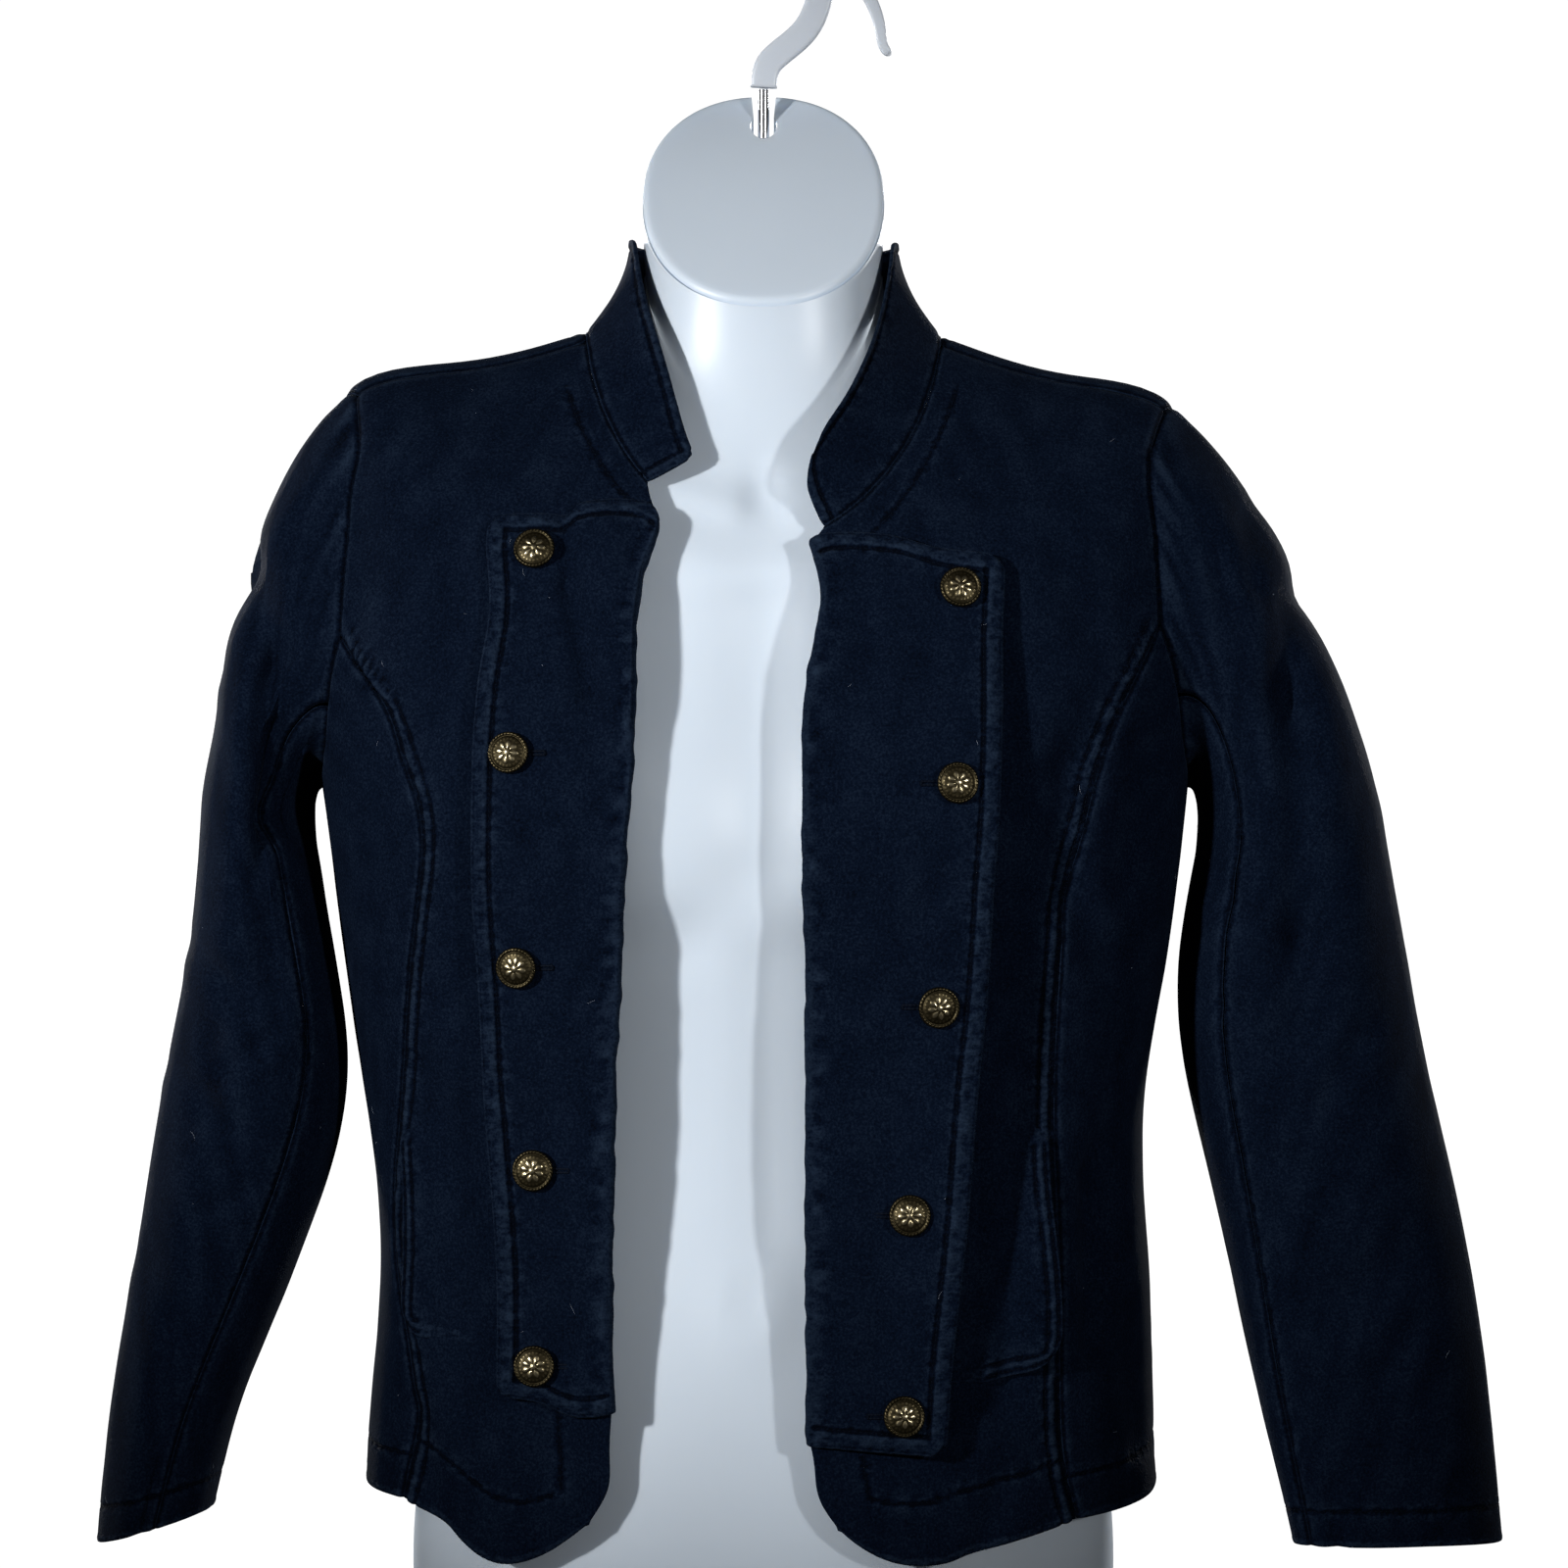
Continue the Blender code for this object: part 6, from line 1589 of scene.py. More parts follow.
@dataclass(frozen=True)
class Buttons:
    """Domed brass buttons with a rope rim and a plain rosette, one for each button's solid."""

    segments: int = 72
    petals: int = 8
    strands: int = 34
    beads: int = 24
    # Radius and height of the back and the rim, in millimetres.
    back: Line = (
        (0.02, 0), (2.7, 0), (2.8, 0.9), (6, 1), (9.3, 1.05), (10.05, 1.3), (10.5, 2), (10.4, 2.75),
        (10, 3.3), (9.5, 3.5), (9, 3.35), (8.7, 3), (8.45, 2.95),
    )
    # The first of these rows that is on the front.
    front_row: int = 7
    dome_radius: float = 8.3
    dome_foot: float = 3.0
    dome_top: float = 4.75

    def profile(self) -> tuple[Array, Array]:
        """Radius and height of each ring, in millimetres, from the back's middle to the dome's."""
        back = np.array(self.back)
        dome = self.dome_radius * np.sin(np.linspace(math.pi / 2, 0.004, 18))
        share = (1.0 - (dome / self.dome_radius) ** 2) ** 0.8
        rise = self.dome_foot + (self.dome_top - self.dome_foot) * share
        return np.concatenate([back[:, 0], dome]), np.concatenate([back[:, 1], rise])

    def relief(self, radius: Array, angle: Array, face: Array) -> Array:
        """The raised pattern, in millimetres: rope rim, beads, petals and a boss.

        Args:
            radius: the distance from the axis, in millimetres.
            angle: the angle round it.
            face: 1 on the front of the button and 0 on its back.

        Returns:
            How far it stands up.
        """
        rope = 0.20 * np.sin(self.strands * angle + 2.2 * radius) * bell(radius - 9.7, 0.75)
        beads = 0.24 * np.clip(np.cos(self.beads * angle), 0.0, 1.0) * bell(radius - 7.15, 0.5)
        off = np.abs(np.mod(angle * self.petals / FULL_TURN, 1.0) - 0.5) * 2.0
        wide = np.sin(math.pi * np.clip((radius - 1.6) / 4.6, 0.0, 1.0))
        petals = 0.36 * smooth((wide - off) / 0.45 + 0.15) * (wide > 0)
        petals = petals * (0.75 + 0.25 * np.cos(math.pi * off))
        boss = 0.42 * smooth((1.7 - radius) / 0.6)
        return face * (rope + beads + petals + boss)

    def build(self, wardrobe: Wardrobe) -> None:
        """Makes each button on its solid's own axis."""
        radius, height = self.profile()
        angle = circle(self.segments)
        face = (np.arange(len(radius)) >= self.front_row).astype(float)[:, None]
        radii = np.broadcast_to(radius[:, None], (len(radius), self.segments))
        raised = self.relief(radii, angle[None], face)
        depth = np.clip(0.35 + raised / 0.42 * 0.65, 0.0, 1.0) * (0.35 + 0.65 * face)
        depth = np.concatenate([depth.reshape(-1), [0.2, 1.0]])
        faces = self.faces(len(radius))
        for name in [n for n in wardrobe.nodes if n.startswith("button_")]:
            centre, axis = self.seat(wardrobe.nodes[name])
            across = unit(np.cross(axis, UP))
            turn = (angle + 0.7 * sum(ord(letter) for letter in name))[:, None]
            spokes = np.cos(turn) * across + np.sin(turn) * np.cross(axis, across)
            rings = centre + (radii * MM)[..., None] * spokes
            rings = rings + ((height[:, None] + raised) * MM)[..., None] * axis
            points = np.concatenate([rings.reshape(-1, 3), rings[[0, -1]].mean(axis=1)])
            made = quad_mesh(name + "_brass", points, outward(points, faces), None, {"depth": depth})
            wardrobe.place(made, Slot.BUTTON, name)

    def faces(self, rows: int) -> Array:
        """The faces between the rings, then those that close the back and the dome."""
        ids, count = ring_ids(rows, self.segments), rows * self.segments
        ends = np.arange(0, self.segments, 2)
        closing = []
        for row, middle in ((0, count), (rows - 1, count + 1)):
            fan = [np.full(len(ends), middle), *(ids[row, ends + step] for step in range(3))]
            closing.append(np.stack(fan, axis=-1)[:, :: 1 if row else -1])
        return np.concatenate([quads_of(ids), *closing])

    def seat(self, node: Thing) -> tuple[Array, Array]:
        """The middle of a button's foot and its axis, from its solid's own points.

        The axis is the direction that the points spread least in, turned to the front.
        """
        points = np.empty(len(node.data.vertices) * 3)
        node.data.vertices.foreach_get("co", points)
        matrix = np.array(node.matrix_world)
        points = points.reshape(-1, 3) @ matrix[:3, :3].T + matrix[:3, 3]
        points = np.unique(np.round(points, 7), axis=0)
        middle = points.mean(axis=0)
        axis = np.linalg.svd(points - middle)[2][-1]
        axis = axis if axis[1] < 0 else -axis
        heights = (points - middle) @ axis
        return middle + axis * heights.min(), axis


@dataclass(frozen=True)
class TorsoForm:
    """The limbless hanging form: a closed body from its flat base to the slotted neck cap."""

    # Heights of the sides, front and back; half width; depths in front and behind;
    # squareness; shift back.
    rings: Table = (
        (0, 0, 0, 176, 102, 98, 2.3, 0), (60, 60, 60, 181.5, 105, 102, 2.3, 0),
        (130, 130, 130, 176, 103, 100, 2.3, 0), (220, 220, 220, 156, 90, 86, 2.3, 0),
        (300, 300, 300, 143, 85, 76, 2.3, 0), (380, 380, 375, 152, 97, 82, 2.3, 0),
        (460, 440, 460, 165, 108, 92, 2.3, 0), (545, 492, 535, 174, 102, 98, 2.3, 0),
        (615, 530, 598, 183, 92, 92, 2.3, 0), (665, 556, 640, 174, 88, 80, 2.3, 0),
        (685, 578, 668, 133, 86, 66, 2.3, 0), (697, 604, 696, 78, 72, 50, 2.3, 2),
        (734, 648, 746, 62, 60, 47, 2.2, 8), (758, 692, 794, 62, 55, 50, 2.2, 10),
        (775, 717.5, 835, 63, 55, 54, 2.2, 10),
    )
    around: int = 132
    finer: int = 8
    cap_edge: float = 4.0 * MM
    base_edge: float = 2.0 * MM
    slot_y: float = 47.0 * MM
    slot_floor: float = 798.0 * MM
    slot_radius: float = 7.0 * MM
    slot_half: float = 8.2 * MM
    slot_length: float = 34.0 * MM
    crest_rounding: float = 0.50
    # The shares of the way out at which rings close the base and the cap.
    closing: tuple[float, ...] = (0.97, 0.8, 0.6, 0.4, 0.2, 0.02)
    # The moulded chest, collarbones, middle hollow and navel.
    moulding: tuple[Crease, ...] = crease_rows(
        View.FRONT, (-74, 470, -70, 425, 40, 9.5), (74, 470, 70, 425, 40, 9.5), (0, 560, 0, 430, 20, -5),
        (-72, 386, -40, 392, 16, -3.5), (72, 386, 40, 392, 16, -3.5), (0, 380, 0, 240, 12, -2.2),
        (-16, 612, -90, 632, 9, 3), (16, 612, 90, 632, 9, 3), (0, 622, 0, 618, 11, -4.5),
        (-6, 212, -6, 206, 6.5, -5), (-6, 206, -6, 196, 20, 3),
    )

    def grid(self) -> Array:
        """The side wall's rings, splined, with the last ones drawn onto the cap's slanted plane."""
        table = np.array(self.rings) * ([MM] * 6 + [1.0, MM])
        at = np.linspace(0.0, len(table) - 1.0, (len(table) - 1) * self.finer + 1)[:, None]
        side_z, front_z, back_z, half, front, back, square, shift = (
            spline(table[:, i], at) for i in range(table.shape[1]))
        angle = circle(self.around)[None]
        cosine, radius = np.cos(angle), squared(angle, square)
        z = side_z + (np.where(cosine >= 0, front_z, back_z) - side_z) * crest(angle, self.crest_rounding)
        x, y = half * radius * np.sin(angle), -np.where(cosine >= 0, front, back) * radius * cosine
        plane = front_z + (y + front) / (front + back) * (back_z - front_z)
        flat = np.clip(at - (len(table) - 3.0), 0.0, 1.0)
        points = np.stack([x, y + shift, z + (plane - z) * flat], axis=-1)
        return points - creased(points, self.moulding)[..., None] * np.array([0.0, 1.0, 0.0])

    def closed(self, grid: Array) -> Array:
        """The wall with its rounded base and cap edges and rings that close both faces."""
        rim, foot = grid[-1], grid[0]
        middle, low = rim.mean(axis=0), foot.mean(axis=0)
        tilt = np.cross((1.0, 0.0, 0.0), rim[0] - rim[self.around // 2])
        facing = unit(tilt * np.sign(tilt[2]))
        inward, low_inward = unit(middle - rim), unit(low - foot)
        cap = [rim + (inward * (1 - math.cos(t)) - facing * (1 - math.sin(t))) * self.cap_edge
               for t in np.linspace(0.0, math.pi / 2, 7)]
        cap += [middle + (cap[-1] - middle) * share for share in self.closing]
        base = [low + (foot - low) * share for share in self.closing[::-1]]
        base += [foot + (low_inward * (1 - math.sin(t)) + UP * (1 - math.cos(t))) * self.base_edge
                 for t in np.linspace(0.0, math.pi / 2, 5)]
        return np.concatenate([np.array(base), grid[1:-1], np.array(cap)])

    def build(self, wardrobe: Wardrobe) -> None:
        """Makes the body, cuts the keyhole slot and shades it."""
        rings = self.closed(self.grid())
        ids = ring_ids(len(rings), self.around)
        ends = [ids[0, -2::-1].tolist(), ids[-1, :-1].tolist()]
        mesh = bpy.data.meshes.new("form_body")
        mesh.from_pydata(rings.reshape(-1, 3).tolist(), [], quads_of(ids).tolist() + ends)
        mesh.update()
        body = bpy.data.objects.new("form_body", mesh)
        bpy.context.scene.collection.objects.link(body)
        self.cut_slot(body)
        body.data.shade_smooth()
        body.data.set_sharp_from_angle(angle=math.radians(38.0))
        wardrobe.place(body, Slot.FORM, "torso_form")

    def cut_slot(self, body: Thing) -> None:
        """Cuts the keyhole slot that the hook's stem stands in."""
        arc = np.radians(np.linspace(140.0, 400.0, 41))
        line = [(self.slot_radius * math.cos(a), self.slot_y + self.slot_radius * math.sin(a)) for a in arc]
        end = self.slot_y + self.slot_length
        line += [(self.slot_half, end), (-self.slot_half, end)]
        count = len(line)
        points = [(x, y, self.slot_floor + rise) for rise in (0.0, 100.0 * MM) for x, y in line]
        faces = [[*range(count - 1, -1, -1)], [*range(count, 2 * count)]]
        faces += [[i, (i + 1) % count, (i + 1) % count + count, i + count] for i in range(count)]
        mesh = bpy.data.meshes.new("slot")
        mesh.from_pydata(points, [], faces)
        cutter = bpy.data.objects.new("slot", mesh)
        bpy.context.scene.collection.objects.link(cutter)
        step = body.modifiers.new("slot", "BOOLEAN")
        step.operation, step.solver, step.object = "DIFFERENCE", "EXACT", cutter
        graph = bpy.context.evaluated_depsgraph_get()
        cut = bpy.data.meshes.new_from_object(body.evaluated_get(graph))
        body.modifiers.clear()
        body.data = cut
        bpy.data.objects.remove(cutter, do_unlink=True)


@dataclass(frozen=True)
class Hook:
    """The plastic hook with its small finger, on a metal stem in the cap's slot."""

    stem_y: float = 47.0 * MM
    stem_radius: float = 3.0 * MM
    stem_foot: float = 798.4 * MM
    stem_top: float = 835.7 * MM
    thick: float = 8.0 * MM
    width: float = 14.0 * MM
    finger_width: float = 7.5 * MM
    # The lines of the hook and its finger, as x and z in millimetres.
    line: Line = (
        (0, 836.5), (0.8, 844), (4.8, 851.5), (15.5, 860.5), (24, 870), (29, 882.5), (31.2, 896),
    )
    finger: Line = ((29, 903), (40, 900), (50, 892), (57.5, 880), (61.2, 868), (62.8, 859), (66.8, 853.5))
    loop_z: float = 900.0 * MM
    loop_radius: float = 31.2 * MM
    loop_end: float = 205.0
    tip: float = 3.5 * MM

    @staticmethod
    def even(points: Array, count: int) -> Array:
        """Evenly spaced points on a spline through the given ones."""
        fine = np.linspace(0.0, len(points) - 1.0, 300)
        line = np.stack([spline(points[:, k], fine) for k in range(points.shape[1])], axis=-1)
        run = running(line, 0)
        wanted = np.linspace(0.0, run[-1], count)
        return np.stack([np.interp(wanted, run, line[:, k]) for k in range(points.shape[1])], axis=-1)

    def sweep(self, line: Array, widths: Array, thick: float) -> tuple[Array, Array]:
        """A strip along a line of x and z, with a rounded-square section and rounded ends.

        Args:
            line: the middle of the strip.
            widths: its width at each point.
            thick: its thickness along Y.

        Returns:
            Its points and its quads.
        """
        along = unit(np.gradient(line, axis=0))
        across = np.stack([along[:, 1], -along[:, 0]], axis=-1)
        a, b = (np.sign(wave) * np.abs(wave) ** 0.38 for wave in (np.cos(circle(32)), np.sin(circle(32))))
        run = running(line, 0)
        from_end = run[-1] - run
        shrink = np.sqrt(np.clip(1.0 - np.clip(1.0 - from_end / self.tip, 0.0, 0.97) ** 2, 0.05, 1.0))
        flat = line[:, None] + (a * (widths * shrink / 2)[:, None])[..., None] * across[:, None]
        y = self.stem_y + b * (thick * shrink / 2)[:, None]
        rings = np.stack([flat[..., 0], y, flat[..., 1]], axis=-1)
        ids = ring_ids(*y.shape)
        quads = [quads_of(ids)]
        half = y.shape[1] // 2
        for row in (ids[0, :-1], ids[-1, -2::-1]):
            near, far = row[:half], row[::-1][:half]
            quads.append(np.stack([near[:-1], near[1:], far[1:], far[:-1]], axis=-1))
        points = rings.reshape(-1, 3)
        return points, outward(points, np.concatenate(quads))

    def build(self, wardrobe: Wardrobe) -> None:
        """Makes the hook with its finger, and the stem."""
        turns = np.radians(np.linspace(8.0, self.loop_end, 120))
        loop = np.stack([np.cos(turns), np.sin(turns)], axis=-1) * self.loop_radius + (0.0, self.loop_z)
        line = self.even(np.concatenate([self.even(np.array(self.line) * MM, 12), loop[::10]]), 130)
        share = running(line, 0) / running(line, 0)[-1]
        widths = self.width * (1.0 - 0.35 * smooth((share - 0.90) / 0.10))
        finger = self.even(np.array(self.finger) * MM, 60)
        narrow = self.finger_width * np.interp(np.linspace(0, 9, 60), (0, 3, 7, 9), (1.4, 1.0, 0.8, 0.6))
        parts = [self.sweep(line, widths, self.thick), self.sweep(finger, narrow, self.thick * 0.8)]
        wardrobe.place(joined("hook_strip", parts), Slot.HOOK, "hook")
        self.stem(wardrobe)

    def stem(self, wardrobe: Wardrobe) -> None:
        """The round metal stem with softened ends."""
        radius, soft, core = self.stem_radius, 0.4 * MM, 0.02 * MM
        tall = self.stem_top - self.stem_foot
        out, up = np.array([(core, 0.0), (radius - soft, 0.0), (radius, soft), (radius, tall - soft),
                            (radius - soft, tall), (core, tall)]).T[..., None]
        turn = circle(40)
        x, y = out * np.cos(turn), self.stem_y + out * np.sin(turn)
        points = np.stack([x, y, np.broadcast_to(self.stem_foot + up, x.shape)], axis=-1)
        made = quad_mesh("hook_stem_rod", points.reshape(-1, 3), quads_of(ring_ids(*x.shape)))
        made.data.set_sharp_from_angle(angle=math.radians(35.0))
        wardrobe.place(made, Slot.STEM, "hook_stem")


class Thread:
    """Short stitches laid along the sewn lines: one joined piece for each half and the collar."""

    # Along the stitch from -1 to 1, how far it stands up in millimetres, and how thick it is there.
    SHAPE = ((-1.0, -0.30, 0.55), (-0.45, 0.10, 1.0), (0.45, 0.10, 1.0), (1.0, -0.30, 0.55))
    SIDES = 4

    def stitches(self, grid: ClothGrid, line: StitchLine) -> tuple[Array, Array]:
        """The stitches of one line sewn on a piece of cloth, as points and quads."""
        surface = line.on(grid.surface())
        run = running(surface, 0)
        number = np.arange(int(run[-1] / STITCH_PITCH))
        middle = (number + 0.5) * STITCH_PITCH
        jitter = 0.10 * STITCH_PITCH * np.sin(number * 12.9898 + run[-1] * 777.0)
        slant = 0.10 * MM * np.sin(number * 4.1 + 1.3)
        along, rise, thick = np.array(self.SHAPE).T
        at = (middle + jitter)[:, None] + along * STITCH_LENGTH / 2
        spot = np.stack([np.interp(at, run, surface[:, k]) for k in range(3)], axis=-1)
        normal = unit(np.stack([np.interp(middle, run, line.normals[:, k]) for k in range(3)], axis=-1))
        side = unit(np.cross(unit(spot[:, -1] - spot[:, 0]), normal))
        normal, side = normal[:, None], side[:, None]
        spot = spot + normal * (rise * MM)[:, None] + side * (slant[:, None] * along)[..., None]
        rings = tube(spot, side, normal, THREAD * thick, self.SIDES)
        quads = quads_of(ring_ids(len(thick), self.SIDES))
        steps = number * len(thick) * self.SIDES
        return rings.reshape(-1, 3), (quads + steps[:, None, None]).reshape(-1, 4)

    def build(self, wardrobe: Wardrobe, finish: Material) -> None:
        """Lays the thread of every half."""
        for half, sewn in wardrobe.sewing.items():
            made = joined(f"stitches_{half}", [self.stitches(grid, line) for grid, line in sewn])
            wardrobe.place(made, Slot.CLOTH, None, finish)


class Buttonholes:
    """A thread-edged buttonhole beside each button, from the second down."""

    NUMBERS = (2, 3, 4, 5)
    NEAR, FAR, HALF = 4.0 * MM, 18.0 * MM, 0.90 * MM
    AROUND, SIDES, STITCHES, ROUND = 104, 6, 26, 0.70 * MM

    def build(self, wardrobe: Wardrobe, finish: Material) -> None:
        """Lays a rolled ring of stitches round every slit, all in one piece.

        Args:
            wardrobe: what holds the lapels.
            finish: the thread.
        """
        turn = circle(self.AROUND)
        length = (self.FAR - self.NEAR) / 2 - self.HALF
        along = length * np.clip(1.35 * np.cos(turn), -1.0, 1.0) + self.HALF * np.cos(turn)
        up = self.HALF * np.clip(1.6 * np.sin(turn), -1.0, 1.0)
        ids = ring_ids(self.AROUND, self.SIDES)
        faces = quads_of(np.concatenate([ids, ids[:1]]))
        rings = []
        for side in Side:
            cloth = wardrobe.lapels[side].surface().reshape(-1, 3)
            for number in self.NUMBERS:
                centre = Buttons().seat(wardrobe.nodes[f"button_{side.word}_{number}"])[0]
                x = centre[0] - side.sign * ((self.NEAR + self.FAR) / 2 + along)
                z = centre[2] + up
                ring = self.roll(x, z, self.height(cloth, centre, x, z))
                rings.append((ring.reshape(-1, 3), faces))
        wardrobe.place(joined("buttonholes", rings), Slot.CLOTH, None, finish)

    @staticmethod
    def height(cloth: Array, centre: Array, x: Array, z: Array) -> Array:
        """The cloth's y at places, from the best quadratic through its points near a button."""
        near = cloth[np.hypot(cloth[:, 0] - centre[0], cloth[:, 2] - centre[2]) < 20.0 * MM]

        def terms(a: Array, b: Array) -> Array:
            """The quadratic's terms."""
            a, b = (a - centre[0]) / MM, (b - centre[2]) / MM
            return np.stack([np.ones_like(a), a, b, a * a, a * b, b * b], axis=-1)

        found = np.linalg.lstsq(terms(near[:, 0], near[:, 2]), near[:, 1], rcond=None)[0]
        return terms(x, z) @ found

    def roll(self, x: Array, z: Array, y: Array) -> Array:
        """A tube along a closed line, with a bead for each stitch."""
        line = np.stack([x, y - 0.1 * MM, z], axis=-1)
        tangent = unit(np.roll(line, -1, axis=0) - np.roll(line, 1, axis=0))
        out = np.array([0.0, -1.0, 0.0])
        beads = self.ROUND * (1.0 + 0.22 * np.sin(np.linspace(0.0, FULL_TURN * self.STITCHES, self.AROUND)))
        return tube(line, unit(np.cross(tangent, out)), out, beads, self.SIDES)


class Lint:
    """A few fine pale hairs and specks that cling to the cloth."""

    COUNT, ROWS, SIDES = 90, 9, 4

    def build(self, wardrobe: Wardrobe, finish: Material) -> None:
        """Scatters the hairs over the cloth's outer faces; every third one is a speck.

        Args:
            wardrobe: what holds the cloth.
            finish: the hairs' material.
        """
        dice = np.random.default_rng(7)
        t = np.linspace(-1.0, 1.0, self.ROWS)[:, None]
        taper = np.sqrt(np.clip(1.0 - t[:, 0] ** 2, 0.04, 1.0))
        faces = quads_of(ring_ids(self.ROWS, self.SIDES))
        hairs = []
        for number in range(self.COUNT):
            grid = wardrobe.lint_beds[number % len(wardrobe.lint_beds)]
            rows, columns = grid.height.shape
            i, j = dice.integers(8, rows - 8), dice.integers(8, columns - 8)
            normal = grid.normals[i, j]
            spot = grid.points[i, j] + normal * (grid.height[i, j] + 0.25 * MM)
            along = unit(np.cross(normal, dice.normal(size=3)))
            side = np.cross(normal, along)
            lengths, radius = ((1.2, 6.5), 0.045 * MM) if number % 3 else ((0.4, 0.9), 0.10 * MM)
            length, bend = dice.uniform(*lengths) * MM, dice.uniform(-0.35, 0.35)
            line = spot + along * t * length / 2 + side * bend * (t**2 - 0.5) * length / 2
            line = line + normal * 0.15 * MM * np.cos(t * 2.0)
            hairs.append((tube(line, side, normal, radius * taper, self.SIDES).reshape(-1, 3), faces))
        wardrobe.place(joined("lint", hairs), Slot.CLOTH, None, finish)


class Nodes:
    """A small helper that adds and links shader nodes."""

    def __init__(self, name: str) -> None:
        """Makes a material of this name that has only its shader."""
        self.material = bpy.data.materials.new(name)
        self.material.use_nodes = True
        self.tree = self.material.node_tree
        self.shader = self.tree.nodes["Principled BSDF"]

    def add(self, kind: str, **values: object) -> bpy.types.Node:
        """Adds a node of a type and sets its inputs or properties by name."""
        node = self.tree.nodes.new(kind)
        self.set(node, **values)
        return node

    def set(self, node: bpy.types.Node, **values: object) -> None:
        """Sets a node's inputs or properties by name, with _ for a space; a colour gets its alpha."""
        for key, value in values.items():
            socket = node.inputs.get(key.replace("_", " "))
            if socket is None or isinstance(value, str):
                setattr(node, key, value)
            else:
                socket.default_value = (*value, 1.0) if socket.type == "RGBA" else value

    def link(self, start: Socket, end: Socket) -> None:
        """Joins two sockets."""
        self.tree.links.new(start, end)

    def read(self, kind: str, output: str, **values: object) -> Socket:
        """An output of a node that needs no input."""
        return self.add(kind, **values).outputs[output]

    def ramp(self, source: Socket, *stops: tuple[float, Colour]) -> Socket:
        """A colour ramp over a value."""
        node = self.add("ShaderNodeValToRGB")
        elements = node.color_ramp.elements
        while len(elements) < len(stops):
            elements.new(0.5)
        for element, (place, colour) in zip(elements, stops):
            element.position, element.color = place, (*colour, 1.0)
        self.link(source, node.inputs["Fac"])
        return node.outputs["Color"]

    def noise(self, coordinates: Socket, scale: float, detail: float = 3.0,
              roughness: float = 0.6) -> Socket:
        """A noise over coordinates."""
        node = self.add("ShaderNodeTexNoise", Scale=scale, Detail=detail, Roughness=roughness)
        self.link(coordinates, node.inputs["Vector"])
        return node.outputs["Fac"]

    def weighted(self, offset: float, *parts: tuple[Socket, float]) -> Socket:
        """An offset plus the sum of values times their weights."""
        total: Socket | None = None
        for socket, weight in parts:
            node = self.add("ShaderNodeMath", operation="MULTIPLY_ADD")
            self.link(socket, node.inputs[0])
            node.inputs[1].default_value = weight
            if total is None:
                node.inputs[2].default_value = offset
            else:
                self.link(total, node.inputs[2])
            total = node.outputs[0]
        return total

    def bump(self, height: Socket, distance: float, strength: float,
             before: Socket | None = None) -> Socket:
        """A bump from a height, on top of the one before."""
        node = self.add("ShaderNodeBump", Strength=strength, Distance=distance)
        self.link(height, node.inputs["Height"])
        if before is not None:
            self.link(before, node.inputs["Normal"])
        return node.outputs["Normal"]


@dataclass(frozen=True)
class ClothFinish:
    """Dark navy cotton jersey with a slight nap, paler where it is rubbed over a seam."""

    # The darkest tone is the nap's dark patches and the painted shade of grooves and hollows.
    deep_and_shaded: Colour = (0.0002, 0.0010, 0.0034)
    plain: Colour = (0.0014, 0.0040, 0.0118)
    rubbed: Colour = (0.0110, 0.0200, 0.0380)
    roughness: float = 0.92
    specular: float = 0.035
    sheen: float = 0.015

    def make(self) -> Material:
        """Builds the material: a mottled nap, dark in grooves and hollows as painted shade, and pale where
        it is rubbed.
        """
        nodes = Nodes("navy_jersey")
        place = nodes.read("ShaderNodeTexCoord", "Object")
        worn_and_shaded, seam = (nodes.read("ShaderNodeAttribute", "Fac", attribute_name=n) for n in ("wear", "seam"))
        nap = nodes.noise(place, 800.0, 1.0, 0.7)
        long = nodes.add("ShaderNodeMapping", Scale=(0.5, 0.5, 1.0))
        nodes.link(place, long.inputs["Vector"])
        ticks = nodes.add("ShaderNodeMapRange", From_Min=0.30, From_Max=0.70, To_Min=-0.5, To_Max=0.5)
        nodes.link(nodes.noise(long.outputs["Vector"], 420.0, 1.0, 0.6), ticks.inputs["Value"])
        pucker = nodes.add("ShaderNodeMath", operation="MULTIPLY")
        nodes.link(ticks.outputs["Result"], pucker.inputs[0])
        nodes.link(seam, pucker.inputs[1])
        mottle = nodes.noise(place, 45.0, 3.0, 0.62)
        # The attribute's low values paint shade into grooves and hollows; its high values are rubbed wear.
        shade = nodes.weighted(-0.555, (worn_and_shaded, 0.80), (mottle, 0.34), (nap, 0.85), (pucker.outputs[0], 0.34))
        colour = nodes.ramp(shade, (0.05, self.deep_and_shaded), (0.36, self.plain), (1.00, self.rubbed))
        nodes.link(colour, nodes.shader.inputs["Base Color"])
        fine = nodes.bump(nap, 0.45 * MM, 0.6)
        nodes.link(nodes.bump(pucker.outputs[0], 0.9 * MM, 0.7, fine), nodes.shader.inputs["Normal"])
        nodes.set(nodes.shader, Roughness=self.roughness, Specular_IOR_Level=self.specular,
                  Sheen_Weight=self.sheen, Sheen_Roughness=0.45, Sheen_Tint=(0.45, 0.65, 1.0))
        return nodes.material


@dataclass(frozen=True)
class PlainFinish:
    """One even colour: matt thread, pale dust or polished metal."""

    name: str
    colour: Colour
    roughness: float
    metallic: float = 0.0
    specular: float = 0.5

    def make(self) -> Material:
        """Builds the material."""
        nodes = Nodes(self.name)
        nodes.set(nodes.shader, Base_Color=self.colour, Roughness=self.roughness, Metallic=self.metallic,
                  Specular_IOR_Level=self.specular)
        return nodes.material


